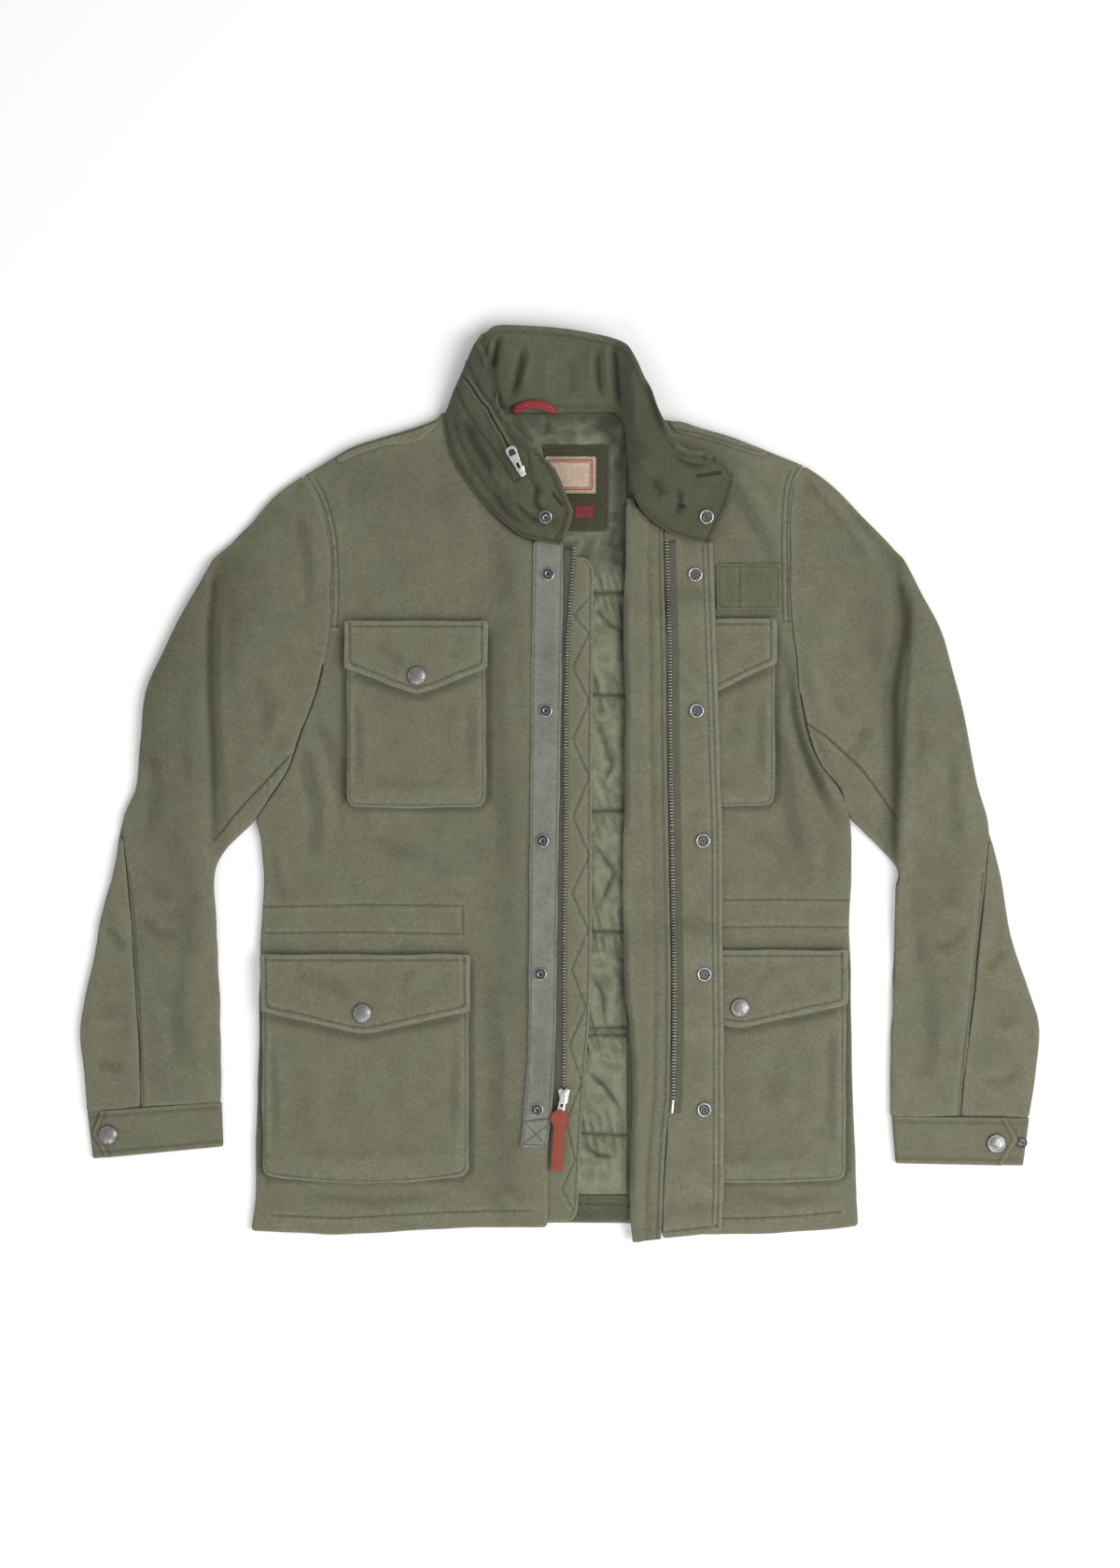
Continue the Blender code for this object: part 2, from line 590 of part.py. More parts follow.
def makeSlider():
    """Slider body, its pull tab and the leather puller; tab and puller turn about one hinge."""
    base = TAPE_Z + TAPE_WALL + GAP
    outline = [(-3.4, -7), (3.4, -7), (4.2, -1), (6.0, 6), (2.4, 7.2), (0, 5.2), (-2.4, 7.2),
               (-6.0, 6), (-4.2, -1)]
    prism("zip_slider", outline, 0, SLIDER_HEIGHT, "zip_metal", 0.7, (*SLIDER, base))
    hinge = (SLIDER[0], SLIDER[1] + 3.0, base + SLIDER_HEIGHT + TAB_CLEARANCE + TAB_WALL / 2)
    head = (PULLER["head"][0] - hinge[0], PULLER["head"][1] - hinge[1])
    tail = (PULLER["tail"][0] - hinge[0], PULLER["tail"][1] - hinge[1])
    lean = head[0] / head[1]
    outline = [(-2.2, 0.5), (2.2, 0.5), (2.8, -1.5), (3.6, -9), (3.9, -PULL_LENGTH),
               (-3.9, -PULL_LENGTH), (-3.6, -9), (-2.8, -1.5)]
    outline = [(x + lean * y, y) for x, y in outline]
    prism("zip_pull", outline, -TAB_WALL / 2, TAB_WALL / 2, "zip_metal", 0.4, hinge)
    radius = PULLER["head_radius"]
    half = PULLER["half_width"]
    outline = []
    for k in range(9):
        angle = radians(-40 + 260 * k / 8)
        outline.append((head[0] + radius * cos(angle), head[1] + radius * sin(angle) + 3))
    outline += [(head[0] - half, head[1] - 7), (tail[0] - half, tail[1]),
                (tail[0] + half, tail[1]), (head[0] + half, head[1] - 7)]
    low = TAB_WALL / 2 + GAP
    prism("leather_puller", outline, low, low + PULLER_WALL, "leather", 0.5, hinge)


# ---- folded-back edge of the right front ---------------------------------------------
def foldHeights():
    """Heights of the rows: where the pockets below begin and end, and between."""
    heights = [-402, -310, -188, -88, 20, 200]
    for name in ("chest_right", "lower_right"):
        pocket = POCKETS[name]
        for edge in (pocket["bag_mid"] - 3, pocket["point"][1] - 3):
            heights += [edge - POCKET_FADE, edge]
        heights += [pocket["top"] + 3, pocket["top"] + 3 + POCKET_FADE]
    return [FOLD_HEM_Y["fold"]] + sorted(heights) + [FOLD_BACK[-1][0]]


def foldRows():
    """Rows of the folded-back edge as points on its fold, zip and rim; both ends slope."""
    rows = []
    heights = foldHeights()
    for index, y in enumerate(heights):
        ends = {0: FOLD_HEM_Y, len(heights) - 1: FOLD_TOP_Y}.get(index)
        row = []
        for place, line in enumerate(("fold", "zip", "rim"), start=1):
            row.append((column(FOLD_BACK, place, y), ends[line] if ends else y))
        rows.append(row)
    return rows


def makeFoldBack():
    """Facing that rolls over the fold and lies face up on the right front."""
    low_mid = LAP + RIGHT_RISE + FACING_WALL / 2 + 0.4
    over = []
    under = []
    half = FACING_WALL / 2
    for fold, zip_point, rim in foldRows():
        x0, y0 = fold
        x1, y1 = zip_point
        x1 -= CHAIN_WIDTH / 2 + GAP + 0.5
        top_mid = foldUnder(x0 + 8, y0) + half
        path = [(x0 + FOLD_LEG, y0, low_mid), (x0 + 4.6, y0, low_mid + 0.2),
                (x0 + half, y0, (low_mid + top_mid) / 2), (x0 + 4.8, y0, top_mid - 0.2)]
        for share in (0.0, 0.33, 0.66, 0.93, 1.0):
            x = mix(x0 + 9.5, x1, share)
            y = mix(y0, y1, mix(9.5 / (x1 - x0), 1.0, share))
            path.append((x, y, foldUnder(x, y) + half))
        over_row = []
        under_row = []
        for k, (x, y, z) in enumerate(path):
            before = path[max(0, k - 1)]
            after = path[min(len(path) - 1, k + 1)]
            run = Vector((after[0] - before[0], 0, after[2] - before[2])).normalized()
            out = Vector((-run.z, 0, run.x))
            if k >= 4:
                out = Vector((0, 0, 1))
            drop = 1.2 if k == len(path) - 1 else 0.0
            over_row.append((x + out.x * half, y, z + out.z * half - drop))
            under_row.append((x - out.x * half, y, z - out.z * half))
        over.append(over_row)
        under.append(under_row)
    wall("facing_right", over, under, "facing_twill")


def makeStormFlap():
    grid = []
    for fold, zip_point, rim in foldRows():
        x0 = zip_point[0] - CHAIN_WIDTH / 2 - 0.4
        x1, y1 = rim
        row = []
        for share in (0.0, 0.2, 0.5, 0.8, 0.94, 1.0):
            row.append((mix(x0, x1, share), mix(zip_point[1], y1, share)))
        grid.append(row)
    flatWall("storm_flap", grid, foldUnder, STORM_WALL, "facing_twill", roll=1.2)
    path = []
    low, high = ZIP_RIGHT_ENDS
    for y in [high] + [height for height in reversed(foldHeights()) if low < height < high] + [low]:
        path.append((column(FOLD_BACK, 2, y), y))
    chainTape("zip_right", path, CHAIN_WIDTH / 2 + 1.5,
              lambda x, y: foldUnder(x + 3, y) + STORM_WALL + GAP, None)


# ---- pockets ---------------------------------------------------------------------------
def makePocket(name, pocket):
    side = name.split("_")[1]
    left, right = pocket["left"], pocket["right"]
    inset = 2.0
    shares = [0.0, 0.025, 0.25, 0.5, 0.75, 0.975, 1.0]
    top = pocket["top"] - 6
    rows = []
    for v in (0.0, 0.025, 0.3, 0.6, 0.85, 1.0):
        row = []
        for u in shares:
            low = mix(pocket["bag_low"], pocket["bag_mid"], sin(pi * u))
            row.append((mix(left + inset, right - inset, u), mix(low, top, v)))
        rows.append(row)
    flatWall(name.replace("_", "_bag_"), rows, lambda x, y: panelTop(side, x, y) + GAP + 0.1,
             BAG_WALL, "twill", roll=1.6)
    lift = GAP * 2 + 0.1 + BAG_WALL
    px, py = pocket["point"]
    middle = (px - left) / (right - left)
    rows = []
    for v in (0.0, 0.06, 0.5, 0.94, 1.0):
        row = []
        for u in (0.0, 0.03, middle * 0.35, middle * 0.7, middle, mix(middle, 1, 0.3),
                  mix(middle, 1, 0.65), 0.97, 1.0):
            reach = u / middle if u < middle else (1 - u) / (1 - middle)
            low = mix(pocket["side_low"], py, ramp(0, 1, reach) * 0.35 + reach * 0.65)
            row.append((mix(left, right, u), mix(low, pocket["top"], v)))
        rows.append(row)
    flatWall(name.replace("_", "_flap_"), rows, lambda x, y: panelTop(side, x, y) + lift,
             POCKET_FLAP_WALL, "twill", roll=1.0)
    if pocket["cap"]:
        x, y = pocket["cap"]
        turned("cap_" + name, (x, y, panelTop(side, x, y) + lift + POCKET_FLAP_WALL + GAP),
               CAP_PROFILE, "snap_metal")


# ---- sleeves ---------------------------------------------------------------------------
def sleeveRows(table, crease, armhole, cap_outer, elbow):
    """Rows across a sleeve from the armhole to the cuff, each from outer to inner side.

    elbow: "whole" to the outline, "upper" stops at the elbow seam.
    """
    arm = list(reversed(armhole))
    steps = [0.0]
    for a, b in zip(arm, arm[1:]):
        steps.append(steps[-1] + hypot(b[0] - a[0], b[1] - a[1]))
    shares = [step / steps[-1] for step in steps]
    push = GAP + 0.2
    sign = 1 if arm[0][0] > 0 else -1
    root = []
    for k, (x, y) in enumerate(arm):
        before = arm[max(0, k - 1)]
        after = arm[min(len(arm) - 1, k + 1)]
        run = Vector((after[0] - before[0], after[1] - before[1])).normalized()
        out = Vector((run.y, -run.x))
        if out.x * sign < 0:
            out = -out
        root.append((x + out.x * push, y + out.y * push))
    fold = crease
    rows = [("low", root)]
    for index, share in enumerate((0.34, 0.67)):
        row = []
        outer = cap_outer[index]
        for k, u in enumerate(shares):
            x = mix(root[k][0], fold[k][0], share)
            y = mix(root[k][1], fold[k][1], share)
            base = mixPoint(root[0], fold[0], share)
            x += (outer[0] - base[0]) * (1 - u) ** 2
            y += (outer[1] - base[1]) * (1 - u) ** 2
            row.append((x, y))
        rows.append(("low", row))
    near = [(mix(f[0], r[0], 0.03), mix(f[1], r[1], 0.03)) for f, r in zip(fold, root)]
    rows.append(("low", near))
    rows.append(("high", list(fold)))
    chord0 = [mixPoint(fold[0], fold[-1], u) for u in shares]
    for index, (ox, oy, ix, iy, sx, sy) in enumerate(table[1:], start=1):
        start = (ox, oy)
        if elbow == "upper" and sx is not None:
            start = (sx, sy)
        fade = max(0.0, 1 - index / 4)
        row = []
        for k, u in enumerate(shares):
            x, y = mixPoint(start, (ix, iy), u)
            row.append((x + (fold[k][0] - chord0[k][0]) * fade, y + (fold[k][1] - chord0[k][1]) * fade))
        rows.append((index, row))
    return rows


def makeSleeve(side, table, crease, armhole, cap_outer):
    rows = sleeveRows(table, crease, armhole, cap_outer, "whole")
    grid = [row for _, row in rows]
    flatWall("sleeve_under_" + side, grid, lambda x, y: 0.0, SLEEVE_WALL, "twill", roll=0.0)
    rows = sleeveRows(table, crease, armhole, cap_outer, "upper")
    base = SLEEVE_WALL + GAP
    fall = {"low": 0.0, "high": 0.85, 1: 1.0, 2: 0.75, 3: 0.5, 4: 0.28, 5: 0.12}
    over = []
    under = []
    last = len(rows) - 1
    for r, (kind, row) in enumerate(rows):
        rise = FOLD_RISE * fall.get(kind, 0.0)
        over_row = []
        for k, (x, y) in enumerate(row):
            rim = k in (0, len(row) - 1) or r == last
            crown = 1.2 * sin(pi * k / (len(row) - 1))
            across = max(0.0, sin(pi * (k + 0.6) / (len(row) + 0.2))) ** 0.4
            over_row.append((x, y, base + SLEEVE_WALL + (rise * across) + crown
                             - (EDGE_ROLL if rim else 0.0)))
        over.append(over_row)
        under.append([(x, y, base) for x, y in row])
    wall("sleeve_upper_" + side, over, under, "twill")
    sign = 1 if side == "right" else -1
    gap = sign * (GAP + 0.3)
    top, below = table[6], table[7]
    start = mixPoint(top[:2], below[:2], 0.3)
    seam = mixPoint(top[:2], below[4:], 0.3)
    strip = [[start, mixPoint(start, seam, 0.3), (seam[0] + gap, seam[1])]]
    for ox, oy, _, _, sx, sy in table[7:]:
        edge = sx + gap
        strip.append([(ox, oy), (mix(ox, edge, 0.12), mix(oy, sy, 0.12)), (edge, sy)])
    over = []
    for r, row in enumerate(strip):
        over.append([(x, y, base + SLEEVE_WALL - (EDGE_ROLL if k == 0 or r == len(strip) - 1 else 0.4))
                     for k, (x, y) in enumerate(row)])
    under = [[(x, y, base) for x, y in row] for row in strip]
    wall("sleeve_elbow_" + side, over, under, "twill")


def makeCuff(side, cuff):
    """Cuff band: under-lap, outer edge, underside, inner edge and the pointed upper end."""
    half = CUFF_WALL / 2
    levels = (half, half + CUFF_WALL + GAP, half + 2 * (CUFF_WALL + GAP))   # back, under-lap, top
    tip, shoulder = cuff["tip"]
    over = []
    under = []
    for v, reach in ((0.0, shoulder), (0.08, shoulder), (0.45, tip), (0.92, shoulder), (1.0, shoulder)):
        inner = mixPoint(cuff["inner_top"], cuff["inner_low"], v)
        outer = mixPoint(cuff["outer_top"], cuff["outer_low"], v)
        width = hypot(outer[0] - inner[0], outer[1] - inner[1])
        edge = (CUFF_WALL + 0.6) / width
        path = [(0.74, levels[1]), (0.86, levels[1]), (1 - edge, levels[1]),
                (1 - edge * 0.45, (levels[0] + levels[1]) / 2), (1 - edge, levels[0]),
                (0.75, levels[0]), (0.5, levels[0]), (0.25, levels[0]), (edge * 1.4, levels[0]),
                (edge * 0.62, mix(levels[0], levels[2], 0.2)), (edge * 0.45, mix(levels[0], levels[2], 0.5)),
                (edge * 0.62, mix(levels[0], levels[2], 0.8)), (edge * 1.4, levels[2]),
                (0.25, levels[2]), (0.5, levels[2]), (0.75, levels[2]), (reach - 0.02, levels[2]),
                (reach, levels[2])]
        over_row = []
        under_row = []
        for k, (u, z) in enumerate(path):
            before = path[max(0, k - 1)]
            after = path[min(len(path) - 1, k + 1)]
            run = Vector(((after[0] - before[0]) * width, after[1] - before[1])).normalized()
            out = Vector((run.y, -run.x))
            shift = out.x * half / width
            there = mixPoint(inner, outer, u + shift)
            back = mixPoint(inner, outer, u - shift)
            over_row.append((there[0], there[1], z + out.y * half))
            under_row.append((back[0], back[1], z - out.y * half))
        over.append(over_row)
        under.append(under_row)
    wall("cuff_" + side, over, under, "twill")
    x, y = cuff["cap"]
    turned("cap_cuff_" + side, (x, y, levels[2] + half + GAP), CAP_PROFILE, "snap_metal")
    if side == "right":
        small = [(r * 0.62, h * 0.6) for r, h in STUD_PROFILE]
        turned("stud_cuff_right", (*CUFF_STUD, levels[1] + half + GAP), small, "snap_metal", 12)


# ---- collar -----------------------------------------------------------------------------
def collarPoint(station, height):
    """Middle of the collar wall at a station along it and a height from seam to free edge."""
    count = len(COLLAR) - 1
    station = min(float(count), max(0.0, station))
    index = min(count - 1, int(station))
    share = station - index
    rows = [COLLAR[min(count, max(0, index + k))] for k in (-1, 0, 1, 2)]
    values = []
    for axis in range(6):
        a, b, c, d = (row[axis] for row in rows)
        values.append(b + 0.5 * share * (c - a + share * (2 * a - 5 * b + 4 * c - d
                                                           + share * (3 * (b - c) + d - a))))
    seam = Vector(values[:3])
    edge = Vector(values[3:])
    point = seam.lerp(edge, height)
    bulge = COLLAR_BULGE * sin(pi * height) * mix(1.0, -0.4, ramp(10, 19, station))
    bulge *= 1 - 0.65 * max(0.0, 1 - abs(station - 7) / 2.5)
    swell = 0.0
    for (low, start), (high, end) in zip(COLLAR_END_SWELL, COLLAR_END_SWELL[1:]):
        if low <= height <= high:
            swell = mix(start, end, (height - low) / (high - low))
    swell *= max(0.0, 1 - station / COLLAR_SWELL_TO)
    return point + Vector((swell, 0, bulge))


def collarNormal(station, height):
    """Unit vector out of the collar's outer face."""
    step = 0.05
    go = collarPoint(station + step, height) - collarPoint(station - step, height)
    rise = collarPoint(station, min(1.0, height + step)) - collarPoint(station, max(0.0, height - step))
    return rise.cross(go).normalized() * -1


def collarHalf(station, height):
    """Half the wall: thinner near the seam at the folded corner and along the ridge."""
    corner = max(0.0, 1 - abs(station - 6.9) / 2.2) * (1 - 0.6 * height)
    ridge = max(0.0, 1 - abs(station - 14.3) / 2.0) * (1 - 0.5 * height)
    rim = 0.75 if height in (0.0, 1.0) else 1.0
    return COLLAR_WALL / 2 * rim * (1 - 0.62 * max(corner, ridge))


def makeCollar():
    over = []
    under = []
    stations = []
    for index in range(len(COLLAR) - 1):
        parts = 2 if 4 <= index <= 8 or index >= 12 and index <= 16 else 1
        stations += [index + k / parts for k in range(parts)]
    stations.append(len(COLLAR) - 1)
    stations.insert(1, COLLAR_SWELL_TO)
    for station in stations:
        over_row = []
        under_row = []
        for height in COLLAR_ROWS:
            point = collarPoint(station, height)
            normal = collarNormal(station, height)
            half = collarHalf(station, height)
            over_row.append(tuple(point + normal * half))
            under_row.append(tuple(point - normal * half))
        over.append(over_row)
        under.append(under_row)
    wall("collar", over, under, "twill")


def makeCollarZip():
    """Zip of the hood pocket: a strip on the collar's outer face, made from its points."""
    width = 5.0
    over = []
    under = []
    for k, (station, height) in enumerate(COLLAR_ZIP):
        centre = collarPoint(station, height)
        normal = collarNormal(station, height)
        if normal.z < 0:
            normal = -normal
        before = COLLAR_ZIP[max(0, k - 1)]
        after = COLLAR_ZIP[min(len(COLLAR_ZIP) - 1, k + 1)]
        run = collarPoint(*after) - collarPoint(*before)
        side = normal.cross(run).normalized()
        base = centre + normal * (COLLAR_WALL / 2 + GAP + 0.5)
        over.append([tuple(base + side * width * s + normal * h)
                     for s, h in ((-0.5, 0.8), (-0.2, 1.6), (0.2, 1.6), (0.5, 0.8))])
        under.append([tuple(base + side * width * s) for s in (-0.5, -0.2, 0.2, 0.5)])
    wall("collar_zip", over, under, "zip_metal")


def makeTrims():
    """Name tape and shoulder straps."""
    tape = NAME_TAPE
    outline = [(tape["left"], tape["low"]), (tape["right"], tape["low"]),
               (tape["right"], tape["high"]), (tape["left"], tape["high"])]
    prism("name_tape", outline, lambda x, y: rightTop(x, y) + GAP, lambda x, y: rightTop(x, y) + 1.6,
          "twill")
    for side, table, top in (("right", STRAP_RIGHT, rightTop), ("left", STRAP_LEFT, leftTop)):
        grid = [[mixPoint((x0, y0), (x1, y1), share) for share in (0.0, 0.12, 0.88, 1.0)]
                for x0, y0, x1, y1 in table]
        flatWall("strap_" + side, grid, lambda x, y, top=top: top(x, y) + GAP, STRAP_WALL, "twill",
                 roll=0.9)


def tube(name, points, radius, finish, sides=8):
    """Round tube with capped ends through the given points."""
    vertices = []
    for k, point in enumerate(points):
        run = (Vector(points[min(len(points) - 1, k + 1)]) - Vector(points[max(0, k - 1)])).normalized()
        across = run.cross(Vector((0, 0, 1))).normalized()
        upward = across.cross(run)
        for i in range(sides):
            angle = 2 * pi * i / sides
            vertices.append(Vector(point) + (across * cos(angle) + upward * sin(angle)) * radius)
    faces = [tuple(range(sides)), tuple(range(len(vertices) - sides, len(vertices)))]
    for r in range(len(points) - 1):
        for i in range(sides):
            j = (i + 1) % sides
            faces.append((r * sides + i, r * sides + j, (r + 1) * sides + j, (r + 1) * sides + i))
    return addPiece(name, vertices, faces, finish)


def makeLoop():
    """Hanging loop of round cord, an arch lying forward on the lining."""
    points = []
    for k in range(LOOP_STEPS + 1):
        angle = pi * k / LOOP_STEPS
        x = mix(LOOP_FEET[0], LOOP_FEET[1], (1 - cos(angle)) / 2)
        points.append((x, LOOP_FOOT_Y + LOOP_REACH * sin(angle), LOOP_FOOT_Z + LOOP_RISE * sin(angle)))
    tube("hanging_loop", points, LOOP_RADIUS, "loop_cord")


def collarFrame(station, height):
    """Point just over the collar's upper face, and the direction out of that face."""
    normal = collarNormal(station, height)
    if normal.z < 0:
        normal = -normal
    return collarPoint(station, height) + normal * (COLLAR_WALL / 2 + GAP), normal


def makeCollarTrims():
    """Snap halves at both collar ends and the hood zip's slider and pull."""
    for name, place, profile in (("stud_collar", COLLAR_STUD, STUD_PROFILE),
                                 ("socket_collar", COLLAR_SOCKET, SOCKET_PROFILE)):
        centre, normal = collarFrame(*place)
        piece = turned(name, centre, profile, "snap_metal", 12)
        piece.rotation_euler = Vector((0, 0, 1)).rotation_difference(normal).to_euler()
    centre, normal = collarFrame(*COLLAR_SLIDER)
    above, _ = collarFrame(*COLLAR_PULL_TO)
    run = (above - centre)
    run = (run - normal * run.dot(normal)).normalized()
    side = run.cross(normal)
    turn = Matrix((side, run, normal)).transposed().to_euler()
    body = [(-2.6, -5), (2.6, -5), (4.2, 4), (-4.2, 4)]
    tab = [(-2.0, -0.5), (2.0, -0.5), (3.7, 9), (4.9, 20.5), (3.4, 24), (-3.4, 24), (-4.9, 20.5), (-3.7, 9)]
    for name, outline, middle, thickness in (
            ("collar_slider", body, COLLAR_SLIDER_MIDDLE, 3.0),
            ("collar_pull", tab, COLLAR_HINGE, 1.5)):
        piece = prism(name, outline, -thickness / 2, thickness / 2, "zip_metal", 0.3,
                      centre + normal * middle)
        piece.rotation_euler = turn


# ---- build ------------------------------------------------------------------------------
def main():
    for item in list(bpy.data.objects):
        bpy.data.objects.remove(item, do_unlink=True)
    makeBack()
    makeFrontLeft()
    makeFrontRight()
    makeLining()
    makeLabels()
    makeLeftClosure()
    makeSlider()
    makeFoldBack()
    makeStormFlap()
    for name, pocket in POCKETS.items():
        makePocket(name, pocket)
    makeSleeve("left", SLEEVE_LEFT, CREASE_LEFT, [SIDE_LEFT[-1]] + ARMHOLE_LEFT, CAP_OUTER_LEFT)
    makeSleeve("right", SLEEVE_RIGHT, CREASE_RIGHT, [SIDE_RIGHT[-1]] + ARMHOLE_RIGHT, CAP_OUTER_RIGHT)
    for side, cuff in CUFFS.items():
        makeCuff(side, cuff)
    makeCollar()
    makeCollarZip()
    for index, (x, y) in enumerate(STUDS, start=1):
        turned("stud_%d" % index, (x, y, leftTop(0, y) + GAP * 2 + SNAP_TAPE_WALL), STUD_PROFILE,
               "snap_metal", 12)
    for index, (x, y) in enumerate(SOCKETS, start=1):
        seat = max(foldUnder(x, y + step) for step in (-SOCKET_RADIUS, 0, SOCKET_RADIUS))
        turned("socket_%d" % index, (x, y, seat + STORM_WALL + 1.5 * GAP), SOCKET_PROFILE,
               "snap_metal", 12)
    makeTrims()
    makeLoop()
    makeCollarTrims()


main()
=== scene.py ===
import bpy
import bmesh
import numpy as np
from math import atan2, cos, hypot, pi, radians, sin, sqrt, tau
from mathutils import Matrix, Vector, geometry
from mathutils.bvhtree import BVHTree
from mathutils.kdtree import KDTree


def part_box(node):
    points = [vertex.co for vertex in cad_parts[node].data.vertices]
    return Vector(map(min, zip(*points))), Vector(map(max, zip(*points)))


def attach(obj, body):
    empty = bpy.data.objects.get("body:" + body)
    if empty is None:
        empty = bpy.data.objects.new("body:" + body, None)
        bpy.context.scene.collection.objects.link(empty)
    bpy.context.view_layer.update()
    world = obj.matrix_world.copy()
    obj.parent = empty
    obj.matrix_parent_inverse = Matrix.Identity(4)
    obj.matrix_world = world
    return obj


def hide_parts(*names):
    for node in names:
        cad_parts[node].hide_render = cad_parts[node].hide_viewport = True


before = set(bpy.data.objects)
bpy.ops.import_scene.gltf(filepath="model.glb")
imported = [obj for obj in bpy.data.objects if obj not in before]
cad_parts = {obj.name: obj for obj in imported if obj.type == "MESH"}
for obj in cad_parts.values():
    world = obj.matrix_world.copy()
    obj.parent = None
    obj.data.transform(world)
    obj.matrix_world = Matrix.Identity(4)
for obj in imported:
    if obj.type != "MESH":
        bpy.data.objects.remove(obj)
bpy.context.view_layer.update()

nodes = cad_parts
scene = bpy.context.scene
mm = 0.001
print("frame loaded:", len(nodes), "nodes")

# camera first: straight above the jacket, its top edge towards the collar
cameraSettings = {"height": 3.0, "lens": 74.75}
camera = bpy.data.objects.new("camera", bpy.data.cameras.new("camera"))
camera.data.lens = cameraSettings["lens"]
camera.data.clip_end = 20
camera.location = (0, 0, cameraSettings["height"])
scene.collection.objects.link(camera)
scene.camera = camera


# points and sizes are millimetres until a mesh is made
def ramp(start, end, value):
    share = np.clip((np.asarray(value, float) - start) / (end - start), 0, 1)
    return share * share * (3 - 2 * share)


def bell(distance, width):
    return np.exp(-(distance / width) ** 2)


def fade(along, length, reach):  # 1 along a line, falling to 0 over both its ends
    return ramp(0, reach, along) * ramp(length, length - reach, along)


def waves(seed, points, size, count=10):  # smooth uneven value, bumps about size mm wide
    rng = np.random.default_rng(seed)
    total = np.zeros(len(points))
    for _ in range(count):
        angle, reach, phase = rng.uniform(0, pi), size * rng.uniform(1.3, 3.0), rng.uniform(0, 2 * pi)
        total += np.sin((points[:, 0] * cos(angle) + points[:, 1] * sin(angle)) * 2 * pi / reach + phase)
    return total * 0.9 / sqrt(count)


def ripple(seed, along, size):  # the same along one line
    rng = np.random.default_rng(seed)
    total = np.zeros(len(along))
    for _ in range(5):
        total += np.sin(along * 2 * pi / (size * rng.uniform(0.7, 2.2)) + rng.uniform(0, 2 * pi))
    return total / 2.2


def runLengths(points):  # length along a line at each of its points
    steps = np.diff(points, axis=0).T
    return np.concatenate([[0], np.cumsum(np.hypot(*steps) if len(steps) == 2 else np.linalg.norm(steps, axis=0))])


def placed(line, at, total):
    return np.stack([np.interp(at, total, line[:, k]) for k in range(line.shape[1])], 1)


def spaced(line, step, closed=False):  # the same line with a point every step mm
    line = np.array(line, float)
    if closed:
        line = np.vstack([line, line[:1]])
    total = runLengths(line[:, :2])
    count = max(2, int(round(total[-1] / step)) + 1)
    result = placed(line, np.linspace(0, total[-1], count), total)
    return result[:-1] if closed else result


def spaced3(points, step):  # the same for a line in space
    points = np.array(points, float)
    total = runLengths(points)
    return placed(points, np.linspace(0, total[-1], max(2, int(total[-1] / step) + 1)), total)


def bend(a, b, c, d, t):  # place between b and c on the smooth line through all four
    return b + 0.5 * t * (c - a + t * (2 * a - 5 * b + 4 * c - d + t * (3 * (b - c) + d - a)))


def curved(line, step, closed=False, sharp=38):  # smooth line through the points, corners kept
    points = [np.array(p[:2], float) for p in line]
    count = len(points)

    def corner(i):
        if not closed and i in (0, count - 1):
            return True
        a, b, c = points[i - 1], points[i % count], points[(i + 1) % count]
        turn = atan2(*(c - b)[::-1]) - atan2(*(b - a)[::-1])
        return abs((turn + pi) % (2 * pi) - pi) > radians(sharp)

    result = []
    for i in range(count if closed else count - 1):
        b, c = points[i], points[(i + 1) % count]
        a = b if corner(i) else points[i - 1]
        d = c if corner((i + 1) % count) else points[(i + 2) % count]
        result += [bend(a, b, c, d, t) for t in np.arange(0, 1, 1 / max(1, round(hypot(*(c - b)) / step)))]
    if not closed:
        result.append(points[-1])
    return spaced(result, step, closed)


def smoothPath(points, parts):  # smooth line in space, a fixed number of parts to each span
    points = [np.array(p, float) for p in points]
    ends = [points[0], *points, points[-1]]
    result = [bend(*ends[i:i + 4], k / parts) for i in range(len(points) - 1) for k in range(parts)]
    return np.array(result + [points[-1]])


def lineField(points, line):  # distance to a line, place along it, side of it, its length
    line = np.array(line, float)[:, :2]
    near = np.full(len(points), 1e9)
    along = np.zeros(len(points))
    side = np.zeros(len(points))
    run = 0.0
    for a, b in zip(line, line[1:]):
        step = b - a
        length = max(1e-9, hypot(*step))
        t = np.clip(((points - a) @ step) / length ** 2, 0, 1)
        off = points - (a + t[:, None] * step)
        distance = np.hypot(off[:, 0], off[:, 1])
        closer = distance < near
        near[closer] = distance[closer]
        along[closer] = (run + t * length)[closer]
        side[closer] = np.sign(step[0] * off[:, 1] - step[1] * off[:, 0])[closer]
        run += length
    return near, along, side, run


def insideOf(points, ring):  # which points lie within a closed ring
    within = np.zeros(len(points), bool)
    x, y = points[:, 0], points[:, 1]
    for (x0, y0), (x1, y1) in zip(ring, np.roll(ring, -1, 0)):
        if y0 == y1:
            continue
        crosses = (y0 > y) != (y1 > y)
        within ^= crosses & (x < (x1 - x0) * (y - y0) / (y1 - y0) + x0)
    return within


def ringArea(ring):  # above 0 for a counter-clockwise ring
    return sum(a[0] * b[1] - a[1] * b[0] for a, b in zip(ring, np.roll(ring, -1, 0))) / 2


def cadCopy(node):  # merged copy of a solid in millimetres
    work = bmesh.new()
    work.from_mesh(nodes[node].data)
    bmesh.ops.remove_doubles(work, verts=work.verts, dist=1e-6)
    bmesh.ops.scale(work, vec=(1000, 1000, 1000), verts=work.verts)
    work.normal_update()
    return work


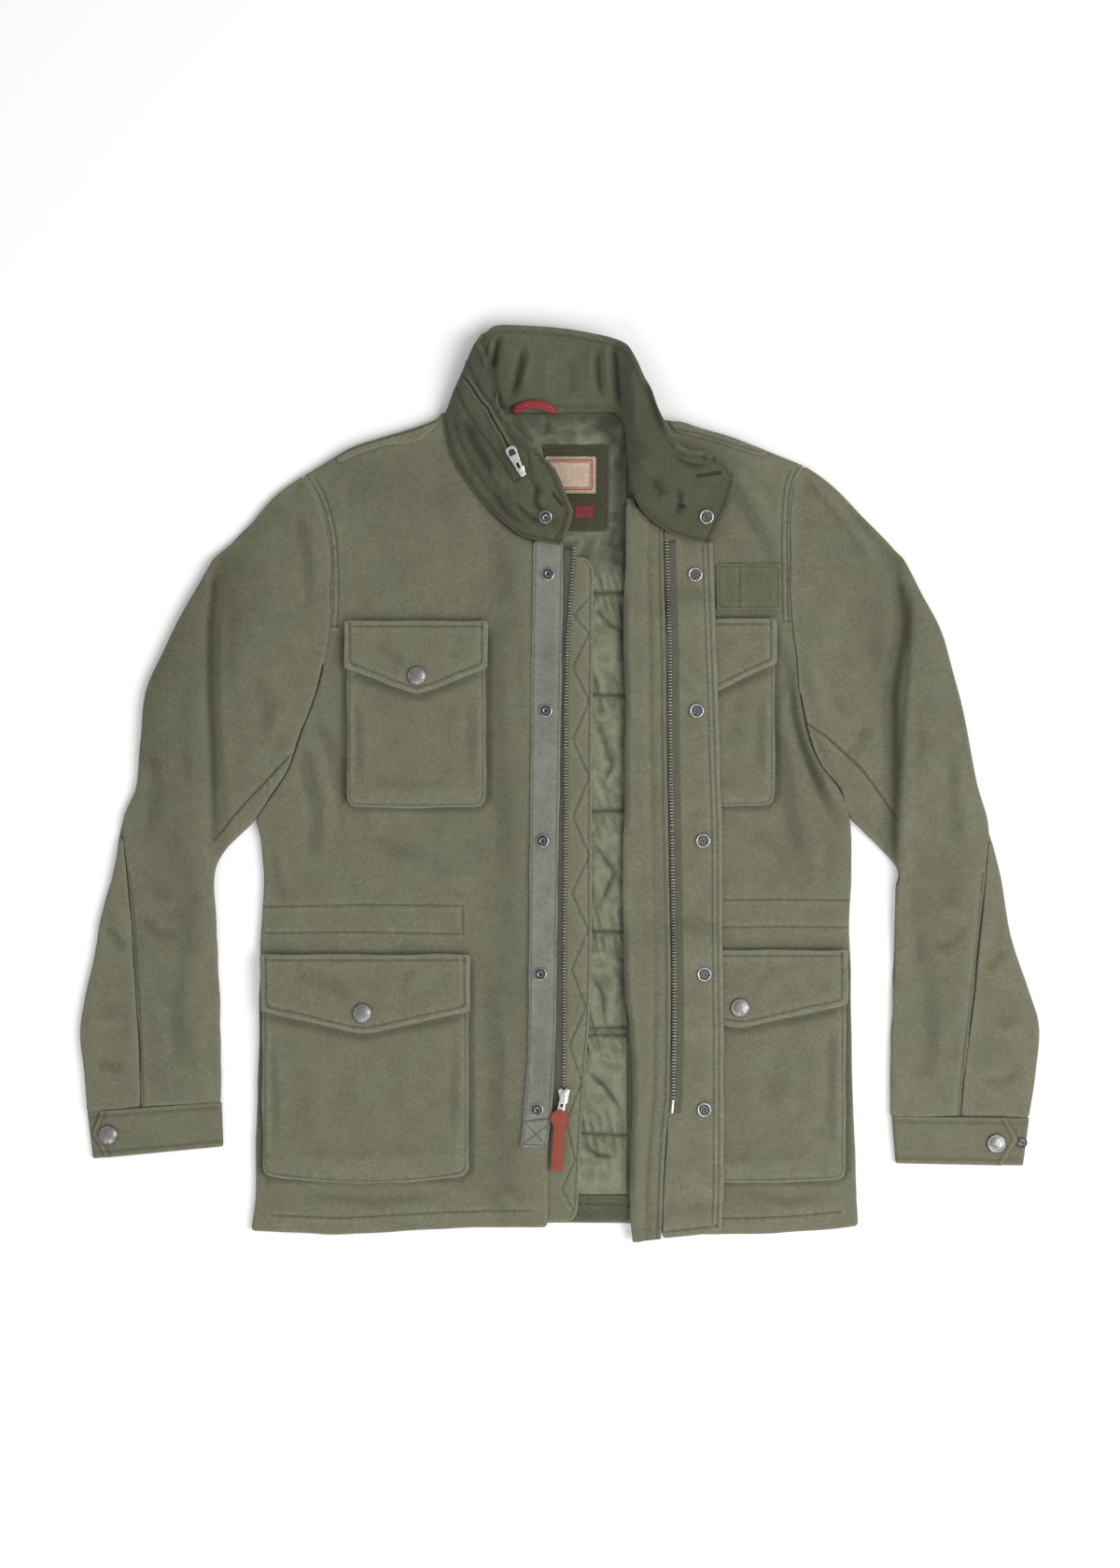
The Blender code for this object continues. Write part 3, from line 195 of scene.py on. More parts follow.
def footprint(work):  # outline of a solid's underside
    under = {f for f in work.faces if f.normal.z < -0.3}
    ways = {}
    for edge in work.edges:
        if sum(f in under for f in edge.link_faces) == 1:
            a, b = edge.verts
            ways.setdefault(a, []).append(b)
            ways.setdefault(b, []).append(a)
    loops = []
    while ways:
        start = next(iter(ways))
        loop, here, before = [start], start, None
        while True:
            following = [v for v in ways.get(here, []) if v is not before]
            if not following or following[0] is start and len(loop) > 2:
                break
            before, here = here, following[0]
            if here is start or here in loop[1:]:
                break
            loop.append(here)
        for vertex in loop:
            ways.pop(vertex, None)
        loops.append([tuple(v.co[:2]) for v in loop])
    loop = max(loops, key=len)
    return loop if ringArea(loop) > 0 else loop[::-1]


def heightsOn(tree, points, fromAbove=True):
    found = np.zeros(len(points))
    start, way = (200, -1) if fromAbove else (-50, 1)
    for i, (x, y) in enumerate(points):
        hit = tree.ray_cast((x, y, start), (0, 0, way))[0]
        if hit is None:  # beside the surface: a place a little way in from its nearest edge
            hit = tree.find_nearest((x, y, 12))[0]
            for pull in (0.15, 0.4):
                inner = tree.ray_cast((x + (hit.x - x) * (1 + pull), y + (hit.y - y) * (1 + pull), start),
                                      (0, 0, way))[0]
                if inner is not None:
                    hit = inner
                    break
        found[i] = hit.z
    return found


def unitRun(run):
    return run / np.maximum(1e-9, np.hypot(run[:, 0], run[:, 1]))[:, None]


def leftOf(run):
    return np.stack([-run[:, 1], run[:, 0]], 1)


def inwards(ring):  # unit vector into a counter-clockwise ring at each of its points
    return leftOf(unitRun(np.roll(ring, -1, 0) - np.roll(ring, 1, 0)))


def triangles(ring, inner):
    every = [Vector(p) for p in np.vstack([ring, inner])] if len(inner) else [Vector(p) for p in ring]
    count = len(ring)
    sides = [(i, (i + 1) % count) for i in range(count)]
    _, _, faces, origin, _, _ = geometry.delaunay_2d_cdt(every, sides, [], 1, 1e-5)
    back = [ids[0] if ids else -1 for ids in origin]
    if min(back) < 0:
        raise ValueError("outline crosses itself")
    return [tuple(back[i] for i in face) for face in faces]


def clearOf(others, points):  # distance from each point to the nearest of the others
    tree = KDTree(len(others))
    for i, (x, y) in enumerate(others):
        tree.insert((x, y, 0), i)
    tree.balance()
    return np.array([tree.find((x, y, 0))[2] for x, y in points])


def lattice(ring, step, clear):  # points in a triangular pattern within a ring
    low, high = ring.min(0), ring.max(0)
    rows = np.arange(low[1], high[1], step * 0.866)
    grid = np.array([(x + (k % 2) * step / 2, y) for k, y in enumerate(rows)
                     for x in np.arange(low[0], high[0], step)]).reshape(-1, 2)
    grid = grid[insideOf(grid, ring)]
    return grid[clearOf(ring, grid) > clear]


threadRuns = {}  # lines to sew: (thread, body), then their points


def addThread(thread, line, body="garment"):
    threadRuns.setdefault((thread, body), []).append(np.array(line, float))


def threadOn(tree, line, thread="shell", step=2.0):
    line = spaced(line, step)
    addThread(thread, np.column_stack([line, heightsOn(tree, line) + 0.2]))


def edgeRun(ring, start, end, inset, longWay=False):  # a line parallel to part of a ring, or to all of it
    ring = np.array(ring, float)
    ids = np.arange(len(ring))
    if start is not None:
        first, last = (int(np.argmin(np.hypot(*(ring - place).T))) for place in (start, end))
        count = len(ring)
        forward = (last - first) % count
        if (forward <= count / 2) != longWay:
            ids = [(first + k) % count for k in range(forward + 1)]
        else:
            ids = [(first - k) % count for k in range(count - forward + 1)]
    line = ring[ids] + inwards(ring)[ids] * inset
    # drop the points that a corner has folded over
    keep = np.array([p for p in line if np.min(np.hypot(*(ring - p).T)) > inset * 0.93])
    if start is None:
        return spaced(np.vstack([keep, keep[:1]]), 3)
    return spaced(keep if len(keep) > 1 else line, 3)


def hemAt(start, end, inset):
    return lambda ring: edgeRun(ring, start, end, inset)


def aroundAt(start, end, inset):
    return lambda ring: edgeRun(ring, start, end, inset, True)


def allRound(inset):
    return lambda ring: edgeRun(ring, None, None, inset)


def outwardFaces(mesh):
    work = bmesh.new()
    work.from_mesh(mesh)
    bmesh.ops.recalc_face_normals(work, faces=work.faces)
    work.to_mesh(mesh)
    work.free()


def newMesh(name, verts, faces, material, uv=None, marks=None, smooth=True):
    mesh = bpy.data.meshes.new(name)
    mesh.from_pydata([(x * mm, y * mm, z * mm) for x, y, z in verts], [], faces)
    outwardFaces(mesh)
    for markName, values in (marks or {}).items():
        mesh.attributes.new(markName, "FLOAT", "POINT").data.foreach_set("value", np.asarray(values, np.float32))
    if uv is not None:
        layer = mesh.uv_layers.new(name="cloth")
        corners = np.zeros(len(mesh.loops), int)
        mesh.loops.foreach_get("vertex_index", corners)
        layer.data.foreach_set("uv", np.asarray(uv, np.float32)[corners].ravel())
    mesh.materials.append(material)
    if smooth:
        mesh.shade_smooth()
    piece = bpy.data.objects.new(name, mesh)
    scene.collection.objects.link(piece)
    return piece


clothDefaults = {
    "step": 3.0, "underStep": 14.0,  # mesh size on top and underneath
    "sharp": 38, "round": 2, "uneven": 0.5, "joined": (),  # outline: corners kept, softened, swayed, sewn seams
    "roll": 2.0, "smooth": 14, "slack": 0.5, "wrinkle": 0.12, "crumple": 0, "hemPucker": 0, "edgeWear": 0.7,
    "grain": 0, "beneath": None,  # grain in degrees; the piece sewn on top
}
sheetSizes = {}


def featureLine(feature, ring, step):
    line = feature[1]
    return spaced(line(ring) if callable(line) else line, step)


def seamPoints(lines, ring, last, inner):  # extra points beside each seam so that it stays crisp
    extra = []
    for feature in lines:
        line = featureLine(feature, ring, 2.2)
        side = leftOf(unitRun(np.gradient(line, axis=0)))
        extra += [line + side * offset for offset in (-1.5, 0, 1.5)]
    if not extra:
        return inner
    extra = np.vstack(extra)
    extra = extra[insideOf(extra, last)]
    inner = inner[clearOf(np.vstack([extra, last]), inner) > 1.3]
    cells = {}
    for (x, y), clear in zip(extra, clearOf(last, extra)):
        if clear >= 0.8:
            cells.setdefault((round(x / 1.1), round(y / 1.1)), (x, y))
    return np.vstack([inner, list(cells.values())]) if cells else inner


def addFeature(feature, number, look, points, ring, shape, soil, wear):
    kind = feature[0]
    line = featureLine(feature, ring, 5)
    near = (points >= line.min(0) - 45).all(1) & (points <= line.max(0) + 45).all(1)
    if not near.any():
        return
    distance, along, side, length = lineField(points[near], line)
    ends = fade(along, length, min(12, length * 0.3))
    seed = look["seed"] * 10 + number
    if kind == "crease":  # line, half width, height, lean: a leaning crease is steep on one side
        width, height = feature[2:4]
        lean = feature[4] if len(feature) > 4 else 0
        ends = fade(along, length, length * 0.35)
        shape[near] += height * bell(distance, width * (1 + lean * side)) * ends
        # painted highlight along a ridge, painted shade in a valley
        if height > 0:
            wear[near] += 0.12 * bell(distance, width * 0.4) * ends * min(1, abs(height))
        else:
            soil[near] += 0.08 * bell(distance, width * 0.5) * ends * min(1, abs(height) / 2)
    elif kind == "quilt":  # line, depth, pucker: a sewn channel that gathers its cloth
        gather = feature[3] * bell(distance, 17) * ramp(0, 3, distance)
        shape[near] -= feature[2] * bell(distance, 3.2)
        shape[near] += gather * ripple(seed, along + side * distance * 0.25, 8)
        # painted shade in the sewn channel
        soil[near] += 0.8 * bell(distance, 1.6)
    elif kind == "shade":  # line, half width, amount: painted shade, the cloth darkened where shade falls
        soil[near] += feature[3] * bell(distance, feature[2]) * (0.4 + 0.6 * ends)
    else:  # stitch or seam: line, depth, pucker
        groove = bell(distance, 1.1)
        shape[near] -= feature[2] * groove * (0.3 + 0.7 * ends)
        shape[near] += 0.4 * feature[3] * bell(distance, 5) * ripple(seed, along, 5)
        # painted shade in the groove, with dirt; the cloth beside it wears lighter
        soil[near] += (0.75 if kind == "seam" else 0.38) * groove
        wear[near] += 0.5 * bell(distance - 2.6, 1.3)


def clothPiece(name, node, finish, settings, features=()):
    # closed thin shell on the form of its solid, with creases, seams and rolled edges
    look = dict(clothDefaults, **settings)
    seed, roll = look["seed"], look["roll"]
    work = cadCopy(node)
    tree = BVHTree.FromBMesh(work)
    ring = curved(footprint(work), 2.5, closed=True, sharp=look["sharp"])
    for _ in range(look["round"]):
        ring = (ring * 2 + np.roll(ring, 1, 0) + np.roll(ring, -1, 0)) / 4
    ring = trueRing = spaced(ring, 2.5, closed=True)
    ring = ring + inwards(ring) * (waves(seed, ring, 28) * look["uneven"] * 0.5)[:, None]
    joined = np.zeros(len(ring))
    for seam in look["joined"]:
        joined = np.maximum(joined, ramp(5, 3, lineField(ring, seam)[0]))
    ring = ring - inwards(ring) * (joined * 0.75)[:, None]
    rings = [ring + inwards(ring) * roll * share for share in (0.22, 0.6, 1.05)]
    sewn = [f for f in features if f[0] in ("stitch", "seam", "quilt")]
    inner = lattice(ring, look["step"], roll * 1.05 + look["step"] * 0.45)
    inner = seamPoints(sewn, trueRing, rings[-1], inner)
    inner = np.vstack([r[insideOf(r, ring)] for r in rings] + [inner])
    faces = triangles(ring, inner)
    points = np.vstack([ring, inner])
    edges = np.array(sorted({tuple(sorted((f[i], f[i - 1]))) for f in faces for i in range(3)}))
    uses = np.maximum(1, np.bincount(edges.ravel(), minlength=len(points)))

    def meanAround(values):
        one, two = edges.T
        return (np.bincount(one, values[two], len(points)) + np.bincount(two, values[one], len(points))) / uses

    top = heightsOn(tree, points)
    for _ in range(look["smooth"]):  # even out the solid's flat facets over the mesh
        top = 0.35 * top + 0.65 * meanAround(top)
    edge = lineField(points, np.vstack([spaced(ring, 5, closed=True), ring[:1]]))[0]
    soil = np.zeros(len(points))
    wear = bell(edge, 2.2) * look["edgeWear"]
    shape = waves(seed + 7, points, 70) * look["slack"]
    shape += waves(seed + 8, points, 24) * look["wrinkle"]
    if look["crumple"]:
        shape += (1 - np.abs(waves(seed + 5, points, 13)) * 1.6) * look["crumple"]
    shape *= 0.35 + 0.65 * ramp(0, 14, edge)
    if look["hemPucker"]:
        shape += bell(edge, 6) * waves(seed + 9, points, 7) * look["hemPucker"]
    for number, feature in enumerate(features):
        addFeature(feature, number, look, points, trueRing, shape, soil, wear)
    top += shape
    if look["crumple"]:  # deep gathers never reach the underside
        top = np.maximum(top, heightsOn(tree, points, False) + 0.7)
    if look["beneath"]:  # the cloth stays below the piece sewn on it
        cover = cadCopy(look["beneath"])
        under = insideOf(points, footprint(cover))
        top[under] = np.minimum(top[under], heightsOn(BVHTree.FromBMesh(cover), points[under], False) - 0.4)
        cover.free()
    low = heightsOn(tree, ring, False)
    thick = float(np.median(np.maximum(0.4, top[:len(ring)] - low)))
    soft = np.clip(edge / roll, 0, 1)
    drop = (1 - np.sqrt(np.clip(1 - (1 - soft) ** 2, 0, 1))) * min(roll, thick * 0.62)
    for seam in look["joined"]:
        drop *= 1 - 0.6 * ramp(8, 4, lineField(points, seam)[0])
    top -= drop
    top[:len(ring)] = np.maximum(top[:len(ring)], low + 0.25)
    # rim and underside
    lowRing = ring + inwards(ring) * min(0.8, roll * 0.35)
    under = lattice(ring, look["underStep"], 6.0)
    underPoints = np.vstack([lowRing, under])
    base, count = len(points), len(ring)
    every = np.vstack([np.column_stack([points, top]),
                       np.column_stack([underPoints, heightsOn(tree, underPoints, False)])])
    allFaces = list(faces) + [tuple(base + i for i in reversed(f)) for f in triangles(lowRing, under)]
    allFaces += [(i, base + i, base + (i + 1) % count, (i + 1) % count) for i in range(count)]
    turn = radians(look["grain"])
    uv = np.stack([every[:, 0] * cos(turn) + every[:, 1] * sin(turn),
                   every[:, 1] * cos(turn) - every[:, 0] * sin(turn)], 1) * mm
    # ridges painted lighter as wear and painted highlight, hollows painted darker as painted shade
    mean = top
    for _ in range(8):
        mean = meanAround(mean)
    rise = top - mean
    rise[edge < roll * 1.5] = 0
    blank = np.zeros(len(underPoints))
    marks = {key: np.concatenate([np.clip(mark + np.clip(way * rise * 1.1, 0, 0.25), 0, 1), blank])
             for key, mark, way in (("wear", wear, 1), ("soil", soil, -1))}
    piece = newMesh(name, every, allFaces, cloth[finish], uv, marks)
    work.free()
    surface = BVHTree.FromPolygons([Vector(v) for v in every], allFaces)
    for feature in sewn:
        if len(feature) > 4:
            line = featureLine(feature, trueRing, 2.0)
            line = line[insideOf(line, ring)]
            if len(line) > 1:
                addThread(feature[4], np.column_stack([line, heightsOn(surface, line) + 0.12]))
    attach(piece, "garment")
    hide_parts(node)
    flat = tuple(float(side) for side in (ring.max(0) - ring.min(0)) * mm)
    area = max(abs(ringArea(ring)) * mm * mm, 0.31 * flat[0] * flat[1])
    sheetSizes[name] = (round(flat[0] * 1000), round(flat[1] * 1000), round(area, 4))

# shader and geometry node helpers: an input is given as a number, a colour or another node's output
def plug(tree, value, socket):
    if isinstance(value, bpy.types.NodeSocket):
        tree.links.new(value, socket)
    elif value is not None:
        colour = socket.type == "RGBA" and len(value) == 3
        socket.default_value = (*value, 1) if colour else value


def addNode(tree, kind, inputs=None, **values):
    node = tree.nodes.new(kind)
    for key, value in values.items():
        setattr(node, key, value)
    for socket, value in (inputs or {}).items():
        plug(tree, value, node.inputs[socket])
    return node


def newGroup(name, kind, inputs, outputs):  # empty group, its given values and its result
    tree = bpy.data.node_groups.new(name, kind + "NodeTree")
    for socket, form, value in inputs:
        made = tree.interface.new_socket(name=socket, in_out="INPUT", socket_type="NodeSocket" + form)
        if value is not None:
            made.default_value = value
    for socket, form in outputs:
        tree.interface.new_socket(name=socket, in_out="OUTPUT", socket_type="NodeSocket" + form)
    given, result = addNode(tree, "NodeGroupInput"), addNode(tree, "NodeGroupOutput")
    given.location, result.location = (-1000, 0), (1200, 0)
    return tree, given.outputs, result


def mathNode(tree, kind, *values, clamp=False):
    return addNode(tree, "ShaderNodeMath", dict(enumerate(values)), operation=kind, use_clamp=clamp).outputs[0]


def times(tree, first, second, clamp=False):
    return mathNode(tree, "MULTIPLY", first, second, clamp=clamp)


def mixColour(tree, factor, first, second):
    return addNode(tree, "ShaderNodeMix", {0: factor, 6: first, 7: second}, data_type="RGBA").outputs[2]


def noiseNode(tree, vector, scale, detail=2.0, roughness=0.5, distortion=0.0):
    return addNode(tree, "ShaderNodeTexNoise", {"Vector": vector, "Scale": scale, "Detail": detail,
                                                "Roughness": roughness, "Distortion": distortion}).outputs["Fac"]


def spread(tree, value, low, high, toLow=0.0, toHigh=1.0):
    return addNode(tree, "ShaderNodeMapRange", dict(enumerate((value, low, high, toLow, toHigh))),
                   clamp=True).outputs[0]


def shaded(tree, colour, value):
    return addNode(tree, "ShaderNodeHueSaturation", {"Color": colour, "Value": value}).outputs[0]


def markNode(tree, name):
    return addNode(tree, "ShaderNodeAttribute", attribute_name=name).outputs["Fac"]


def objectPlace(tree):
    return addNode(tree, "ShaderNodeTexCoord").outputs["Object"]


def makeWearAndPaintedLightGroup():  # fading and painted highlight along ridges, dirt and painted shade in seams and hollows, large uneven dye
    tree, given, out = newGroup("washedWear", "Shader", [
        ("Place", "Vector", None), ("Colour", "Color", (0.1, 0.1, 0.1, 1)), ("Worn", "Color", (0.2, 0.2, 0.2, 1)),
        ("Warm", "Color", (0.1, 0.1, 0.1, 1)), ("Wear", "Float", 0.6), ("Soil", "Float", 0.6),
        ("Dye", "Float", 0.5)], [("Colour", "Color")])
    place = given["Place"]
    cloud = spread(tree, noiseNode(tree, place, 13, 3, 0.6, 0.4), 0.42, 0.68)
    colour = mixColour(tree, times(tree, cloud, given["Dye"]), given["Colour"], given["Warm"])
    blotch = spread(tree, noiseNode(tree, place, 60, 3, 0.6), 0.3, 0.7, 0.93, 1.07)
    speck = spread(tree, noiseNode(tree, place, 900, 2, 0.7), 0.25, 0.75, 0.72, 1.28)
    slub = spread(tree, noiseNode(tree, place, 330, 2, 0.6), 0.3, 0.7, 0.9, 1.1)
    light = times(tree, times(tree, blotch, slub), speck)
    rough = spread(tree, noiseNode(tree, place, 420, 2, 0.6), 0.35, 0.65, 0.45, 1.0)
    # lighter by its mark of wear and painted highlight, towards the worn and highlit colour
    worn = times(tree, times(tree, markNode(tree, "wear"), rough), given["Wear"], True)
    colour = mixColour(tree, worn, colour, given["Worn"])
    # darker by its mark of dirt and painted shade
    dark = mathNode(tree, "SUBTRACT", 1.0, times(tree, markNode(tree, "soil"), given["Soil"]), clamp=True)
    plug(tree, shaded(tree, colour, times(tree, light, dark)), out.inputs["Colour"])
    return tree


def makeWeaveGroup():  # threads of a twill, plain tape or herringbone: light value and height
    tree, given, out = newGroup("weave", "Shader", [
        ("Place", "Vector", None), ("Pitch", "Float", 400.0), ("Zigzag", "Float", 0.0),
        ("Stripe", "Float", 130.0), ("Contrast", "Float", 0.12)], [("Light", "Float"), ("Height", "Float")])
    across, along, _ = addNode(tree, "ShaderNodeSeparateXYZ", {0: given["Place"]}).outputs
    fold = mathNode(tree, "PINGPONG", times(tree, across, given["Stripe"]), 1.0)
    fold = mathNode(tree, "DIVIDE", fold, given["Stripe"])
    way = addNode(tree, "ShaderNodeMix", {0: given["Zigzag"], 2: across, 3: fold}, data_type="FLOAT").outputs[0]
    wobble = times(tree, noiseNode(tree, given["Place"], 500, 2), 0.0006)
    phase = times(tree, mathNode(tree, "ADD", mathNode(tree, "ADD", way, along), wobble), given["Pitch"])
    wave = mathNode(tree, "MULTIPLY_ADD", mathNode(tree, "SINE", times(tree, phase, 2 * pi)), 0.5, 0.5)
    fine = noiseNode(tree, given["Place"], 1500, 2, 0.6)
    height = mathNode(tree, "ADD", times(tree, wave, 0.6), times(tree, fine, 0.6))
    light = mathNode(tree, "MULTIPLY_ADD", mathNode(tree, "SUBTRACT", wave, 0.5), given["Contrast"], 1.0)
    plug(tree, light, out.inputs["Light"])
    plug(tree, height, out.inputs["Height"])
    return tree


wearAndPaintedLightGroup = makeWearAndPaintedLightGroup()
weaveGroup = makeWeaveGroup()


def newMaterial(name, roughness=0.8, metallic=0.0, sheen=0.0, specular=0.3):
    material = bpy.data.materials.new(name)
    material.use_nodes = True
    shader = material.node_tree.nodes["Principled BSDF"].inputs
    for socket, value in (("Roughness", roughness), ("Metallic", metallic), ("Sheen Weight", sheen),
                          ("Sheen Roughness", 0.5), ("Specular IOR Level", specular)):
        shader[socket].default_value = value
    return material, material.node_tree, shader


def addBump(tree, shader, height, strength, distance):
    bump = addNode(tree, "ShaderNodeBump", {"Strength": strength, "Distance": distance, "Height": height})
    plug(tree, bump.outputs[0], shader["Normal"])


clothLooks = {  # what a look leaves out comes from "any"
    "any": {"wear": 0.5, "soil": 0.6, "dye": 0.4, "pitch": 760.0, "zigzag": 0.0, "stripe": 130.0, "contrast": 0.2,
            "roughness": 0.9, "sheen": 0.12, "specular": 0.2, "bump": 0.5},
    "shellTwill": {"colour": (0.123, 0.125, 0.081), "worn": (0.206, 0.210, 0.151), "warm": (0.138, 0.119, 0.081),
                   "wear": 0.6, "soil": 0.62, "dye": 0.55, "contrast": 0.32, "bump": 0.45},
    "facingTwill": {"colour": (0.128, 0.130, 0.085), "worn": (0.215, 0.214, 0.155), "warm": (0.138, 0.126, 0.086),
                    "wear": 0.55, "dye": 0.52, "contrast": 0.34},
    # the back hem facing: the facing's cloth painted darker, painted shade of its recess
    "hemTwill": {"colour": (0.071, 0.072, 0.044), "worn": (0.150, 0.150, 0.105), "warm": (0.088, 0.080, 0.054)},
    # the collar: the shell's cloth in a darker dye, painted darker still as painted shade of the standing collar
    "collarTwill": {"colour": (0.084, 0.088, 0.054), "worn": (0.150, 0.155, 0.112), "warm": (0.088, 0.080, 0.053),
                    "wear": 0.6, "soil": 0.62, "dye": 0.42, "contrast": 0.16, "bump": 0.45},
    # the label patch: a darker olive cloth, painted darker still as painted shade under the collar beside the folded
    # facing
    "patchTwill": {"colour": (0.043, 0.043, 0.022), "worn": (0.105, 0.102, 0.064), "warm": (0.050, 0.042, 0.023)},
    "nameTwill": {"colour": (0.089, 0.097, 0.056), "worn": (0.175, 0.185, 0.120), "warm": (0.102, 0.098, 0.055),
                  "wear": 0.6, "soil": 0.55, "dye": 0.5, "pitch": 620.0, "zigzag": 1.0, "stripe": 210.0,
                  "contrast": 0.34, "bump": 0.6},
    "snapTape": {"colour": (0.163, 0.165, 0.138), "worn": (0.23, 0.235, 0.205), "warm": (0.118, 0.118, 0.094),
                 "wear": 0.7, "dye": 0.95, "pitch": 620.0, "zigzag": 1.0, "stripe": 230.0, "contrast": 0.46,
                 "roughness": 0.88, "sheen": 0.15, "bump": 0.7},
    "tapeWeave": {"colour": (0.085, 0.088, 0.060), "worn": (0.16, 0.16, 0.12), "warm": (0.095, 0.085, 0.06),
                  "soil": 0.5, "dye": 0.3, "pitch": 700.0, "contrast": 0.3, "roughness": 0.85, "sheen": 0.1,
                  "bump": 0.6},
    "liningNylon": {"colour": (0.138, 0.156, 0.094), "worn": (0.22, 0.25, 0.158), "warm": (0.123, 0.137, 0.084),
                    "wear": 0.35, "soil": 0.75, "dye": 0.3, "pitch": 2200.0, "contrast": 0.05, "roughness": 0.56,
                    "sheen": 0.06, "specular": 0.3, "bump": 0.12},
    "creamLabel": {"colour": (0.46, 0.36, 0.27), "worn": (0.56, 0.47, 0.36), "warm": (0.40, 0.29, 0.21),
                   "soil": 0.5, "dye": 0.5, "pitch": 900.0, "contrast": 0.25, "roughness": 0.85, "sheen": 0.05,
                   "bump": 0.6},
    "redLabel": {"colour": (0.19, 0.022, 0.025), "worn": (0.28, 0.08, 0.07), "warm": (0.15, 0.018, 0.02),
                 "soil": 0.5, "pitch": 900.0, "roughness": 0.85, "sheen": 0.05, "bump": 0.6},
}


def clothMaterial(name, look):
    roughness = look["roughness"]
    material, tree, shader = newMaterial(name, roughness, 0.0, look["sheen"], look["specular"])
    place, spot = addNode(tree, "ShaderNodeUVMap", uv_map="cloth").outputs[0], objectPlace(tree)
    parts = [addNode(tree, "ShaderNodeGroup", {"Place": at, **{key: look[key.lower()] for key in keys}},
                     node_tree=group).outputs
             for group, at, keys in ((weaveGroup, place, ("Pitch", "Zigzag", "Stripe", "Contrast")),
                                     (wearAndPaintedLightGroup, spot, ("Colour", "Worn", "Warm", "Wear", "Soil", "Dye")))]
    plug(tree, shaded(tree, parts[1]["Colour"], parts[0]["Light"]), shader["Base Color"])
    rough = spread(tree, noiseNode(tree, spot, 150, 2), 0.3, 0.7, roughness - 0.06, roughness + 0.05)
    plug(tree, rough, shader["Roughness"])
    addBump(tree, shader, parts[0]["Height"], look["bump"], 0.0003)
    return material


def threadMaterial(name, colour):
    material, tree, shader = newMaterial(name, 0.75, 0.0, 0.1, 0.25)
    spot = objectPlace(tree)
    tone = spread(tree, noiseNode(tree, spot, 300, 2), 0.3, 0.7, 0.72, 1.25)
    plug(tree, shaded(tree, colour, tone), shader["Base Color"])
    addBump(tree, shader, noiseNode(tree, spot, 2500, 2), 0.4, 0.0002)
    return material


def metalMaterial(name, colour, dark, roughness):
    material, tree, shader = newMaterial(name, roughness, 1.0)
    spot = objectPlace(tree)
    tarnish = spread(tree, noiseNode(tree, spot, 380, 4, 0.65), 0.42, 0.66)
    scratch = noiseNode(tree, spot, 1800, 3, 0.7, 0.6)
    plug(tree, mixColour(tree, tarnish, colour, dark), shader["Base Color"])
    rough = spread(tree, mathNode(tree, "ADD", tarnish, scratch), 0.3, 1.6, roughness - 0.08, roughness + 0.22)
    plug(tree, rough, shader["Roughness"])
    addBump(tree, shader, scratch, 0.25, 0.0001)
    return material


leatherLook = {"colour": (0.19, 0.030, 0.011), "light": (0.25, 0.050, 0.022), "worn": (0.17, 0.045, 0.022),
               "cracks": (0.16, 0.035, 0.015), "wear": 0.75, "crackle": 0.14}


def leatherMaterial(name, look):
    material, tree, shader = newMaterial(name, 0.62, 0.0, 0.05, 0.35)
    spot = objectPlace(tree)
    grain = addNode(tree, "ShaderNodeTexVoronoi", {"Scale": 1100, "Vector": spot}, feature="DISTANCE_TO_EDGE")
    cell = spread(tree, grain.outputs["Distance"], 0.0, 0.12)
    tone = spread(tree, noiseNode(tree, spot, 140, 4, 0.6), 0.35, 0.68)
    colour = mixColour(tree, tone, look["colour"], look["light"])
    colour = mixColour(tree, times(tree, markNode(tree, "wear"), look["wear"]), colour, look["worn"])
    cracks = times(tree, mathNode(tree, "SUBTRACT", 1.0, cell), look["crackle"])
    plug(tree, mixColour(tree, cracks, colour, look["cracks"]), shader["Base Color"])
    plug(tree, spread(tree, tone, 0, 1, 0.52, 0.72), shader["Roughness"])
    addBump(tree, shader, cell, 0.35, 0.0002)
    return material


braidLook = {"dark": (0.12, 0.002, 0.004), "red": (0.32, 0.005, 0.010), "fleck": (0.8, 0.76, 0.7), "pitch": 430.0,
             "strands": 8.0}


def braidMaterial(name, look):  # braid of red strands with light flecks
    material, tree, shader = newMaterial(name, 0.7, 0.0, 0.2, 0.3)
    place = addNode(tree, "ShaderNodeUVMap", uv_map="cloth").outputs[0]
    along, around, _ = addNode(tree, "ShaderNodeSeparateXYZ", {0: place}).outputs
    strands = []
    for turn in (look["strands"], -look["strands"]):
        slant = mathNode(tree, "MULTIPLY_ADD", along, look["pitch"], times(tree, around, turn))
        strands.append(mathNode(tree, "ABSOLUTE", mathNode(tree, "SINE", times(tree, slant, pi))))
    height = mathNode(tree, "MAXIMUM", *strands)
    fleck = times(tree, *(spread(tree, strand, 0.86, 0.95) for strand in strands))
    patch = spread(tree, noiseNode(tree, place, 260, 1), 0.5, 0.56)
    colour = mixColour(tree, spread(tree, height, 0.4, 1.0), look["dark"], look["red"])
    plug(tree, mixColour(tree, times(tree, fleck, patch), colour, look["fleck"]), shader["Base Color"])
    addBump(tree, shader, height, 0.8, 0.0006)
    return material


